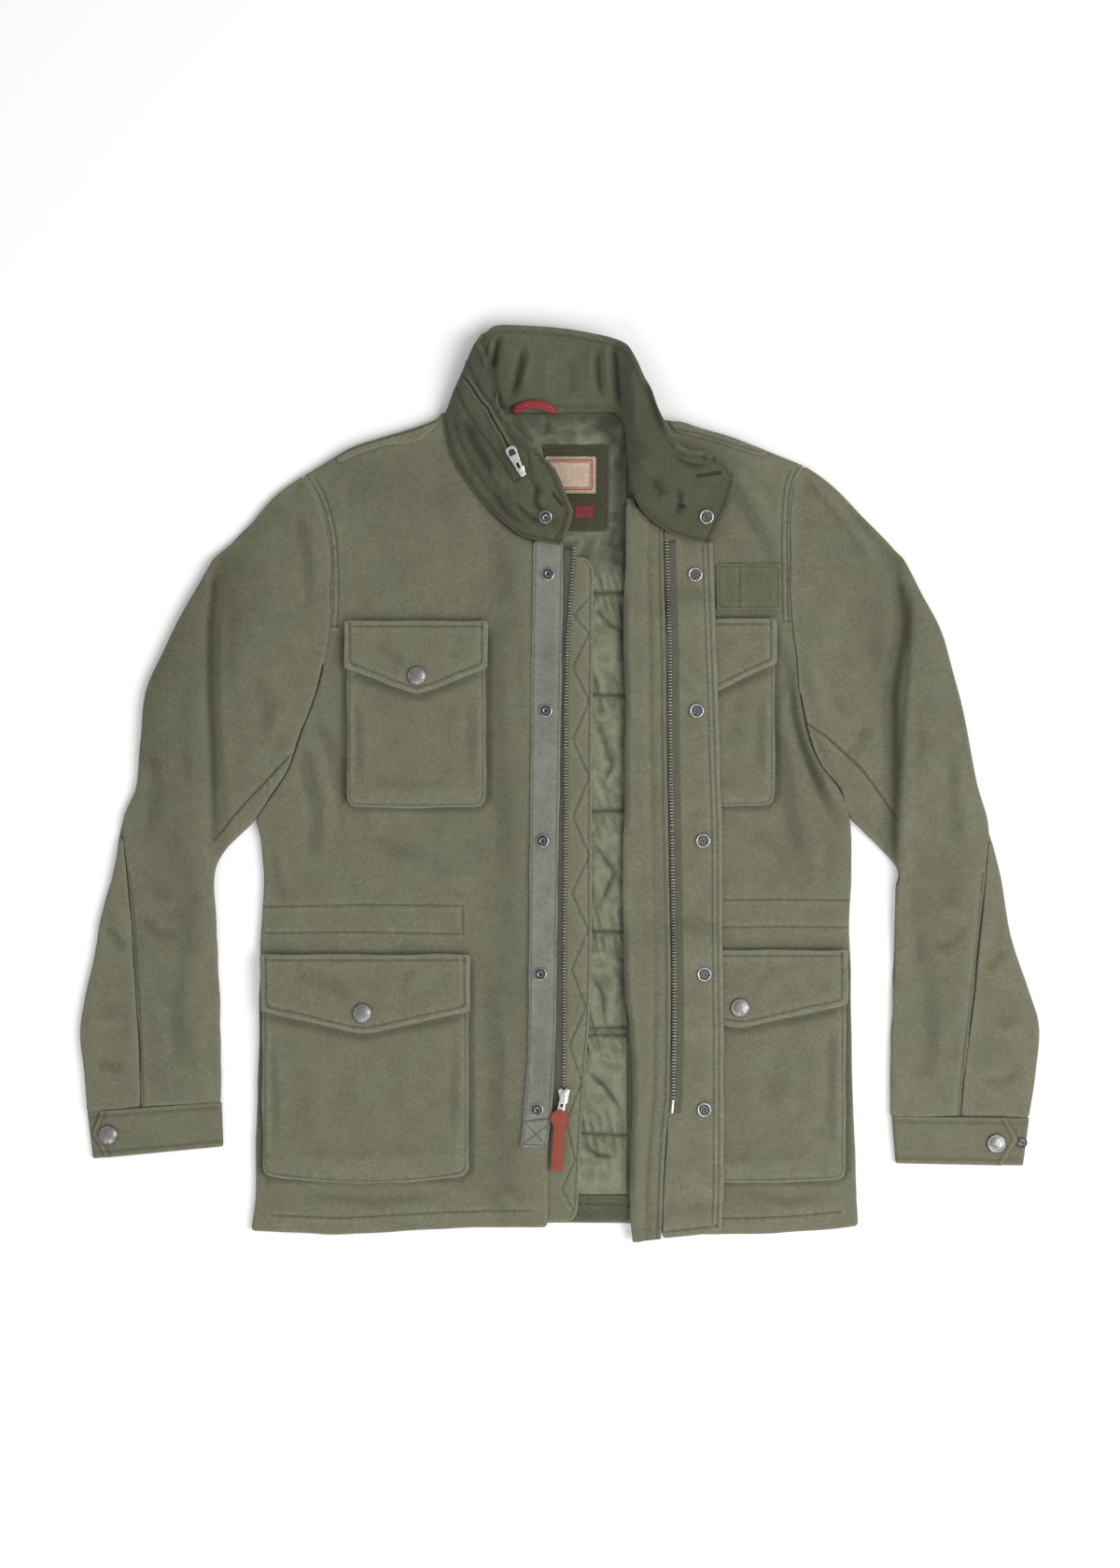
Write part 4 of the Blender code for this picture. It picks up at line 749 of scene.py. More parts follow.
threadColours = {"shellThread": (0.098, 0.102, 0.068), "paleThread": (0.130, 0.135, 0.095),
                 "liningThread": (0.075, 0.09, 0.052), "darkThread": (0.035, 0.035, 0.026),
                 "redThread": (0.40, 0.03, 0.03)}
metalLooks = {  # clean colour, tarnish, roughness
    "capMetal": ((0.27, 0.265, 0.262), (0.15, 0.147, 0.145), 0.34),
    "ringMetal": ((0.47, 0.46, 0.45), (0.24, 0.235, 0.24), 0.24),
    "darkMetal": ((0.075, 0.072, 0.072), (0.03, 0.03, 0.03), 0.45),
    "toothMetal": ((0.66, 0.64, 0.60), (0.17, 0.155, 0.13), 0.28),
    "brightMetal": ((0.80, 0.79, 0.77), (0.52, 0.51, 0.49), 0.2),
}
cloth = {name: clothMaterial(name, dict(clothLooks["any"], **look))
         for name, look in clothLooks.items() if name != "any"}
finishes = {name: threadMaterial(name, colour) for name, colour in threadColours.items()}
finishes |= {name: metalMaterial(name, *look) for name, look in metalLooks.items()}
finishes |= {"rustLeather": leatherMaterial("rustLeather", leatherLook),
             "redBraid": braidMaterial("redBraid", braidLook)}
print("materials made")

# a feature is a kind, a line on the cloth and its sizes, as addFeature takes them
def alike(kind, *features):
    return [(kind, *feature) for feature in features]


def hemStitches(*rows):  # start, end, inset, depth, pucker
    return [("stitch", hemAt(start, end, inset), depth, pucker, "shell")
            for start, end, inset, depth, pucker in rows]


armSeams = {"left": [(-217, 114), (-212, 148), (-211, 195), (-214, 232), (-223, 263), (-236, 283)],
            "right": [(221, 88), (218, 120), (213, 155), (212, 200), (212, 240), (215, 274), (224, 292)]}
frontLook = {"uneven": 0.9, "roll": 2.4, "slack": 0.8, "wrinkle": 0.16, "hemPucker": 0.12}
leftFront = [
    *alike("stitch",
           (hemAt((-284, -411), (-12, -406), 15.5), 0.5, 0.45, "shell"),
           (hemAt((-236, 283), (-213, 146), 2.8), 0.35, 0.2, "shell"),
           (hemAt((-236, 283), (-213, 146), 7.4), 0.35, 0.2, "shell"),
           ([(-212, 145), (-204, 145)], 0.3, 0.1, "shell"),
           ([(-273, -113), (-180, -111), (-89, -112)], 0.45, 0.3, "shell"),
           ([(-273, -137), (-180, -136), (-89, -138)], 0.45, 0.3, "shell"),
           ([(-89, -112), (-89, -138)], 0.35, 0.1, "shell")),
    *alike("crease",
           ([(-228, 270), (-222, 225), (-214, 170)], 8, -0.9),
           ([(-205, 288), (-200, 250), (-206, 215)], 7, 0.8),
           ([(-182, 262), (-150, 205), (-118, 168)], 20, -0.8),
           ([(-100, 285), (-82, 240), (-60, 205)], 14, 0.8), ([(-66, 236), (-52, 200), (-50, 160)], 12, -0.8),
           ([(-226, 70), (-206, 20), (-196, -30)], 10, -1.7, 0.3),
           ([(-240, 40), (-224, -20), (-226, -80)], 8, -1.5), ([(-231, 52), (-214, 0), (-210, -60)], 6, 1.0),
           ([(-262, -40), (-250, -80), (-252, -104)], 8, 0.9),
           ([(-66, 70), (-57, 0), (-50, -60), (-54, -105)], 12, -0.9),
           ([(-46, 150), (-46, 90), (-42, 20)], 9, 0.6), ([(-190, -36), (-150, -62), (-104, -66)], 11, -0.8),
           ([(-150, -76), (-110, -92), (-70, -90)], 10, 0.6),
           ([(-70, -150), (-58, -250), (-66, -340)], 11, -0.8),
           ([(-52, -180), (-46, -260), (-50, -330)], 8, 0.6),
           ([(-250, -376), (-170, -384), (-90, -377)], 7, -0.8),
           ([(-60, -372), (-40, -388), (-22, -384)], 6, 0.6)),
    ("shade", [(-215, 285), (-140, 272), (-75, 258)], 34, 0.18)]
rightFront = [
    *alike("stitch",
           (hemAt((77, -412), (274, -406), 15.0), 0.5, 0.45, "shell"),
           (hemAt((224, 292), (213, 150), 3.2), 0.35, 0.2, "shell"),
           (hemAt((224, 292), (213, 150), 7.8), 0.35, 0.2, "shell"),
           ([(213, 149), (205, 149)], 0.3, 0.1, "shell"),
           ([(140, -107), (200, -106), (266, -107)], 0.45, 0.3, "shell"),
           ([(140, -132), (200, -131), (266, -132)], 0.45, 0.3, "shell")),
    *alike("crease",
           ([(214, 110), (216, 66), (224, 34), (242, -10), (262, -52)], 7, -2.8, 0.3),
           ([(209, 96), (211, 50), (222, 10), (240, -34)], 7, 1.3)),
    ("shade", [(213, 112), (215, 66), (224, 32), (243, -12)], 4.2, 0.6),
    *alike("crease",
           ([(204, 70), (206, 10), (216, -50), (222, -96)], 10, -1.3),
           ([(240, -40), (236, -80), (240, -102)], 8, 0.9),
           ([(130, 300), (160, 270), (190, 220), (205, 190)], 9, -1.2),
           ([(150, 300), (180, 268), (202, 232)], 7, 0.8), ([(96, 318), (120, 300), (130, 262)], 9, -1.3),
           ([(170, -36), (200, -60), (214, -90)], 10, -0.8), ([(160, -372), (210, -384), (256, -376)], 7, -0.8),
           ([(206, 140), (208, 100), (205, 60)], 5, -0.7)),
    *alike("shade",
           ([(150, 250), (185, 200), (212, 150)], 30, 0.14), ([(212, 60), (225, 0), (240, -90)], 30, 0.16))]


def pocketShade(left, right, top, low):  # what the bellows hide from the light
    sides = [([(x, top - 8), (x, low + 8), (x + way * 8.5, low - 1.5)], 3.4, 0.7)
             for x, way in ((left - 0.5, 1), (right + 0.5, -1))]
    return alike("shade", *sides, ([(left + 8, low - 1.5), (right - 8, low - 1.5)], 3.2, 0.6),
                 ([(left + 3, top + 0.5), (right - 3, top + 0.5)], 1.8, 0.5))


leftFront += pocketShade(-198, -66, 150, -21) + pocketShade(-275, -82, -156, -362)
rightFront += pocketShade(67, 199, 152, -20) + pocketShade(73, 264, -152, -364)
clothPiece("leftFrontPanel", "front_left", "shellTwill", dict(frontLook, seed=3, joined=[armSeams["left"]]),
           leftFront)
clothPiece("rightFrontPanel", "front_right", "shellTwill", dict(frontLook, seed=4, joined=[armSeams["right"]]),
           rightFront)
clothPiece("backPanel", "back", "shellTwill",
           {"step": 9.0, "seed": 5, "slack": 0.0, "wrinkle": 0.0, "underStep": 9.0},
           [("stitch", hemAt((-284, -411), (274, -406), 15.5), 0.3, 0.1)])
clothPiece("backHemFacing", "back_hem_facing", "hemTwill", {"seed": 6, "roll": 0.8},
           [("stitch", [(-36, -386), (20, -386), (60, -387)], 0.3, 0.2, "shell")])
print("body panels made")

# quilted lining: puffed between sewn channels that gather it
liningLook = {"step": 2.2, "seed": 11, "roll": 1.2, "slack": 1.0, "wrinkle": 0.8, "crumple": 0.8, "smooth": 4,
              "uneven": 0.0, "edgeWear": 0.2, "beneath": "label_patch"}
channels = [(176, 1), (81, -2), (-24, 2), (-136, -1), (-224, 1), (-231, 0), (-323, -2)]  # y and its dip midway
quilting = alike("quilt", *(([(-38, y), (10, y - dip), (62, y)], 1.6, 1.5, "lining") for y, dip in channels))
quilting += [
    *alike("quilt",
           ([(-90, 296), (-60, 312), (-40, 322)], 1.2, 0.8, "lining"),
           ([(50, 318), (64, 306), (78, 300)], 1.2, 0.8, "lining")),
    *alike("crease",
           ([(-30, 150), (20, 120), (50, 132)], 8, 1.1), ([(30, 166), (44, 148), (58, 140)], 3, -1.7),
           ([(28, 112), (40, 104), (58, 88)], 3.2, -1.6), ([(32, 72), (42, 52), (58, 44)], 3.4, 1.6),
           ([(34, 60), (48, 20), (40, 0)], 4, -1.8), ([(30, 12), (42, -4), (56, -14)], 3, -1.5),
           ([(30, -34), (44, -46), (58, -50)], 3, 1.6), ([(30, -50), (50, -80), (36, -112)], 4, -1.9),
           ([(28, -100), (44, -112), (58, -130)], 3, 1.5), ([(34, -150), (52, -180), (44, -208)], 4, 1.8),
           ([(28, -172), (38, -190), (42, -218)], 3, -1.7), ([(26, -240), (38, -252), (58, -256)], 3, 1.5),
           ([(24, -262), (42, -278), (56, -300)], 3.6, -2.1), ([(24, -284), (36, -300), (44, -318)], 3, 1.6),
           ([(22, -330), (34, -340), (52, -342)], 3, -1.8), ([(22, -352), (38, -350), (52, -366)], 3.4, 1.9)),
    *alike("shade",
           ([(24, -263), (42, -279), (56, -301)], 1.8, 0.7), ([(30, -52), (50, -82), (36, -114)], 1.8, 0.6),
           ([(34, 58), (48, 18), (40, -2)], 1.8, 0.55), ([(22, -331), (34, -341), (52, -343)], 1.8, 0.6),
           ([(28, -173), (38, -191), (42, -219)], 1.6, 0.55), ([(30, 165), (44, 147), (58, 139)], 1.6, 0.5)),
    *alike("crease",
           ([(-36, 338), (0, 333), (40, 337)], 6, 1.6), ([(-30, 325), (0, 321), (44, 326)], 4, -1.4),
           ([(-14, 342), (-12, 330), (-16, 318)], 2.6, -1.4), ([(16, 342), (24, 331), (44, 326)], 3, -1.3),
           ([(28, 210), (44, 190), (56, 172)], 5, 1.5), ([(30, 196), (40, 180), (52, 160)], 3.5, -1.5),
           ([(40, 236), (50, 214), (56, 196)], 4, -1.5)),
    *alike("shade",
           ([(54, 346), (55, 280), (56, 190)], 10, 0.95), ([(58, 180), (57, 0), (59, -240)], 3, 0.4),
           ([(-50, 332), (0, 334), (66, 330)], 14, 0.6), ([(30, 338), (62, 322)], 7, 0.45),
           ([(10, 208), (58, 206)], 15, 0.4), ([(58, 175), (57, 120)], 8, 0.35))]
clothPiece("backLining", "back_lining", "liningNylon", liningLook, quilting)
clothPiece("labelPatch", "label_patch", "patchTwill", {"seed": 12, "roll": 0.7, "uneven": 0.3, "slack": 0.25},
           [("stitch", allRound(2.6), 0.25, 0.15, "shell")])


def labelFrame(inset):
    left, right, low, high = -14 + inset, 33 - inset, 267 + inset, 301 - inset
    return [(left, low), (right, low), (right, high), (left, high), (left, low)]


clothPiece("neckLabel", "label", "creamLabel",
           {"step": 2.0, "seed": 13, "roll": 0.3, "uneven": 0.1, "slack": 0.15, "round": 0, "sharp": 20},
           [("stitch", allRound(1.1), 0.2, 0.1, "pale"),
            *alike("stitch", *((labelFrame(inset), 0.0, 0.0, "red") for inset in (3.2, 3.8, 5.4)))])
print("lining and labels made")

# pockets: bag with a bellows side, and a pointed flap over it
pockets = {
    "chest_left": {"left": -198, "right": -66, "top": 150, "sideLow": 106, "low": -21, "seed": 21,
                   "point": (-131, 82)},
    "chest_right": {"left": 67, "right": 199, "top": 152, "sideLow": 110, "low": -20, "seed": 22,
                    "point": (133, 81)},
    "lower_left": {"left": -275, "right": -82, "top": -156, "sideLow": -209, "low": -359, "seed": 23,
                   "point": (-181, -229)},
    "lower_right": {"left": 73, "right": 264, "top": -152, "sideLow": -203, "low": -363, "seed": 24,
                    "point": (166, -223)},
}
bagLook = {"round": 12, "roll": 2.2, "slack": 0.6, "uneven": 1.0, "wrinkle": 0.14, "hemPucker": 0.15, "sharp": 50,
           "edgeWear": 0.85}
flapLook = {"round": 1, "roll": 1.7, "slack": 0.45, "uneven": 0.8, "hemPucker": 0.15, "sharp": 25, "edgeWear": 0.95}
for name, size in pockets.items():
    place, side = name.split("_")
    left, right, top, low = size["left"], size["right"], size["top"], size["low"]
    middle = (left + right) / 2
    mirror = 1 if side == "left" else -1
    tip, fall = size["point"], size["sideLow"]
    bag = [("stitch", aroundAt((left + 2, top - 8), (right - 2, top - 8), 2.8), 0.4, 0.4, "shell"),
           ("shade", [(left + 2, fall - 3.5), (tip[0], tip[1] - 3.5), (right - 2, fall - 3.5)], 4.2, 0.62),
           *alike("crease",
                  ([(left + 7, fall - 12), (left + 6.5, low + 16)], 3.2, 0.6),
                  ([(right - 7, fall - 12), (right - 6.5, low + 16)], 3.2, 0.7),
                  ([(left + 18, low + 5.5), (middle, low + 4), (right - 18, low + 5.5)], 3.0, 0.5),
                  ([(left + 10, top - 60), (left + 14, low + 50), (left + 10, low + 12)], 5, -0.7),
                  ([(right - 12, top - 60), (right - 16, low + 60), (right - 12, low + 14)], 6, -0.6),
                  ([(middle - 30, top - 76), (middle - 38, low + 60), (middle - 20, low + 20)], 16, 0.7),
                  ([(middle + 34, top - 70), (middle + 26, low + 50)], 14, -0.6),
                  ([(left + 16, low + 14), (middle, low + 10), (right - 18, low + 15)], 6, 0.8))]
    tacks = [([(x, top - 2.5), (x, top - 8.5)], 0.3, 0.0, "tack") for x in (left + 5.4, right - 5.4)]
    flap = [("stitch", hemAt((left, top), (right, top), 5.6), 0.5, 0.35, "shell"), *alike("stitch", *tacks),
            ("stitch", aroundAt((left, top), (right, top), 5.6), 0.5, 0.45, "shell"),
            *alike("crease",
                   ([(left + 24, top - 14), (middle - 20, top - 34), (middle - 4, top - 44)], 10, -0.7),
                   ([(right - 20, top - 12), (middle + 30, top - 30), (middle + 14, top - 48)], 9, 0.6),
                   ([(middle + 44 * mirror, top - 10), (middle + 30 * mirror, top - 40)], 6, -0.6))]
    clothPiece(place + side.title() + "Bag", place + "_bag_" + side, "shellTwill", dict(bagLook, seed=size["seed"]),
               bag)
    clothPiece(place + side.title() + "Flap", place + "_flap_" + side, "shellTwill",
               dict(flapLook, seed=size["seed"] + 4), flap)
print("pockets made")

sleeveCreases = {
    "left": [
        ("seam", [(-247, 27), (-282, -10), (-300, -30), (-317, -52)], 0.6, 0.3),
        ("stitch", hemAt((-398, -80), (-385, -297), 2.2), 0.35, 0.3, "shell"),
        ("crease", [(-312, 205), (-317, 160), (-319, 110), (-318, 50), (-315, -10), (-314, -60)], 6, -2.6),
        *alike("shade",
               ([(-316, 190), (-321, 150), (-321, 90), (-318, 30), (-317, -60)], 3.4, 0.55),
               ([(-316, 228), (-345, 150), (-366, 80), (-384, 10)], 30, 0.26)),
        *alike("crease",
               ([(-292, 235), (-303, 180), (-305, 110), (-300, 50)], 15, -1.6),
               ([(-268, 262), (-262, 215), (-258, 150)], 14, 1.1),
               ([(-243, 268), (-232, 210), (-228, 150)], 7, -0.9),
               ([(-280, 120), (-266, 60), (-256, 20)], 12, -1.0),
               ([(-240, 96), (-262, 46), (-292, -4)], 9, 1.0),
               ([(-352, 130), (-360, 60), (-356, -10)], 18, 1.2),
               ([(-336, 150), (-340, 60), (-336, -40)], 9, -0.8),
               ([(-375, 60), (-370, 0), (-378, -60)], 9, -0.9),
               ([(-396, -96), (-372, -112), (-348, -110)], 7, 1.0),
               ([(-394, -116), (-370, -136), (-344, -140)], 7, -1.0),
               ([(-328, -80), (-345, -150), (-352, -230), (-350, -286)], 12, -1.0),
               ([(-388, -180), (-366, -210), (-356, -262)], 9, 0.9),
               ([(-322, -190), (-330, -240), (-326, -288)], 6, 0.7)),
        *alike("shade",
               ([(-258, 262), (-318, 110), (-352, 0)], 38, 0.2),
               ([(-350, -40), (-372, -160), (-385, -290)], 34, 0.14))],
    "right": [
        ("seam", [(225, 57), (244, 44), (277, 14), (300, -18), (309, -34)], 0.6, 0.3),
        *alike("shade",
               ([(300, 226), (330, 160), (352, 90), (368, 20)], 26, 0.16),
               ([(322, 176), (319, 100), (313, 30), (309, -40), (308, -75)], 2.6, 0.5),
               ([(231, 52), (244, 26), (262, -12)], 2.6, 0.35)),
        ("stitch", hemAt((391, -82), (368, -304), 2.2), 0.35, 0.3, "shell"),
        ("crease", [(309, 205), (315, 165), (316, 130), (306, 90), (304, 45), (305, -50)], 8, -2.8),
        ("shade", [(313, 190), (318, 150), (314, 120), (308, 80), (308, 20), (306, -60)], 4.0, 0.6),
        *alike("crease",
               ([(226, 287), (254, 254), (283, 216), (296, 190)], 4.5, 1.5, 0.5),
               ([(300, 176), (292, 130), (296, 70), (290, 20)], 16, -1.9),
               ([(262, 200), (250, 130), (246, 90)], 18, 1.1), ([(290, 60), (270, 30), (262, 10)], 10, -1.0),
               ([(232, 120), (244, 70), (276, 30)], 8, 1.1), ([(340, 130), (350, 60), (346, -10)], 16, 1.2),
               ([(325, 130), (328, 40), (326, -50)], 8, -0.8), ([(364, 40), (362, -20), (370, -70)], 9, -0.9),
               ([(388, -100), (366, -120), (340, -118)], 7, 1.0),
               ([(384, -126), (360, -148), (336, -150)], 7, -1.0),
               ([(320, -90), (336, -160), (344, -240), (340, -296)], 12, -1.0),
               ([(376, -200), (356, -226), (348, -280)], 9, 0.9)),
        *alike("shade",
               ([(262, 250), (300, 120), (330, 0)], 36, 0.12),
               ([(345, -60), (362, -170), (375, -290)], 34, 0.13))],
}
elbowCreases = {
    "left": [
        *alike("crease",
               ([(-410, -90), (-404, -118), (-400, -150)], 6, 0.9),
               ([(-420, -128), (-404, -146), (-394, -150)], 5, -1.0),
               ([(-434, -214), (-414, -222), (-396, -216)], 6, 0.8),
               ([(-430, -250), (-412, -262), (-394, -256)], 6, -0.8))],
    "right": [
        *alike("crease",
               ([(402, -100), (396, -130), (392, -160)], 6, 0.9),
               ([(414, -150), (398, -166), (386, -170)], 5, -1.0),
               ([(434, -218), (412, -230), (388, -226)], 6, 0.8),
               ([(428, -262), (404, -276), (380, -268)], 6, -0.8))],
}
sleeveLook = {"uneven": 1.0, "roll": 1.6, "slack": 0.9, "wrinkle": 0.16, "smooth": 8, "sharp": 45}
for side, grain, seed in (("left", -14, 31), ("right", 14, 32)):
    look = dict(sleeveLook, grain=grain, joined=[armSeams[side]])
    for part, features, changes in (
            ("upper", sleeveCreases[side], {"seed": seed}),
            ("elbow", elbowCreases[side], {"seed": seed + 2, "slack": 0.5, "uneven": 0.8}),
            ("under", [], {"seed": seed + 4, "step": 8, "underStep": 8, "slack": 0.0, "wrinkle": 0.0})):
        clothPiece("sleeve" + part.title() + side.title(), "sleeve_" + part + "_" + side, "shellTwill",
                   dict(look, **changes), features)
print("sleeves made")

# tapes, flaps and straps of the closure
zigzag = [(27, 170), (12, 155), (27, 138.5), (12, 107), (27, 76.5), (12, 41), (27, 6), (12, -30), (27, -66),
          (11, -100), (26, -134), (11, -170), (24, -205), (9, -239), (20, -273.5), (6, -310), (14, -345),
          (2, -372), (12, -390)]
clothPiece("windFlap", "wind_flap", "facingTwill",
           {"step": 2.4, "seed": 41, "round": 6, "roll": 1.1, "slack": 0.4, "uneven": 1.0, "hemPucker": 0.15},
           [*hemStitches(((24, 209), (11, -402), 2.6, 0.35, 0.25)), ("stitch", zigzag, 0.4, 0.3, "shell")])
clothPiece("snapTape", "snap_tape", "snapTape",
           {"step": 2.4, "seed": 42, "round": 1, "roll": 0.7, "slack": 0.3, "uneven": 0.6, "sharp": 30},
           [*alike("stitch", (hemAt((-24, 222), (-36, -333), 1.8), 0.25, 0.2, "pale"),
                   (hemAt((3, 222), (-12, -333), 1.8), 0.25, 0.2, "pale"),
                   ([(-33, -329), (-11, -312)], 0.2, 0.1, "shell"), ([(-13, -331), (-31, -311)], 0.2, 0.1, "shell"),
                   ([(-33, -330), (-14, -331)], 0.2, 0.1, "shell")),
            ("seam", [(-33, -309), (-9, -306)], 0.5, 0.1)])
clothPiece("stormFlap", "storm_flap", "facingTwill",
           {"seed": 43, "round": 3, "roll": 1.8, "slack": 0.45, "uneven": 0.8, "smooth": 10, "hemPucker": 0.15},
           [*hemStitches(((140, 226), (149, -411), 4.6, 0.45, 0.35), ((140, 226), (149, -411), 9.2, 0.45, 0.35),
                         ((98, -417), (149, -411), 6.0, 0.4, 0.3)),
            *alike("crease", ([(106, 114), (121, 95), (134, 84)], 4, 0.9),
                   ([(110, -30), (130, -26), (146, -30)], 6, -0.7),
                   ([(112, -160), (132, -166), (146, -160)], 6, 0.6))])
strapLook = {"step": 2.6, "roll": 1.2, "slack": 0.3}
clothPiece("strapRight", "strap_right", "shellTwill", dict(strapLook, seed=44),
           hemStitches(((106, 323), (188, 301), 3.0, 0.3, 0.2)))
clothPiece("strapLeft", "strap_left", "shellTwill", dict(strapLook, seed=45))
clothPiece("nameTape", "name_tape", "nameTwill",
           {"step": 2.4, "seed": 46, "round": 0, "sharp": 20, "roll": 0.6, "slack": 0.2, "uneven": 0.3},
           [("stitch", allRound(2.4), 0.25, 0.2, "pale"), ("stitch", [(165, 163), (165.5, 199)], 0.2, 0.1, "pale")])
print("tapes and flaps made")

# pieces that bend in space: collar, folded edge and cuffs
def gridPiece(name, grid, material):
    # closed shell from rows of places: over, under, its place on the flat cloth, dirt with painted shade, and wear
    # with painted highlight
    over, under, uv, soil, wear = (np.array([[spot[k] for spot in row] for row in grid], float) for k in range(5))
    rows, columns = soil.shape
    verts = np.vstack([over.reshape(-1, 3), under.reshape(-1, 3)])
    low = rows * columns
    faces = []
    for r in range(rows - 1):
        for c in range(columns - 1):
            a = r * columns + c
            quad = (a, a + 1, a + columns + 1, a + columns)
            faces += [quad, tuple(low + i for i in reversed(quad))]
    rim = list(range(columns)) + [r * columns + columns - 1 for r in range(1, rows)]
    rim += [(rows - 1) * columns + c for c in range(columns - 2, -1, -1)]
    rim += [r * columns for r in range(rows - 2, 0, -1)]
    faces += [(b, a, low + a, low + b) for a, b in zip(rim, rim[1:] + rim[:1])]
    marks = {key: np.clip(np.tile(mark.ravel(), 2), 0, 1) for key, mark in (("soil", soil), ("wear", wear))}
    piece = newMesh(name, verts, faces, cloth[material], np.vstack([uv.reshape(-1, 2)] * 2) * mm, marks)
    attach(piece, "garment")
    return piece, BVHTree.FromPolygons([Vector(v) for v in verts], faces)


def declareSheet(piece, width, length):
    sheetSizes[piece.name] = (round(width), round(length))


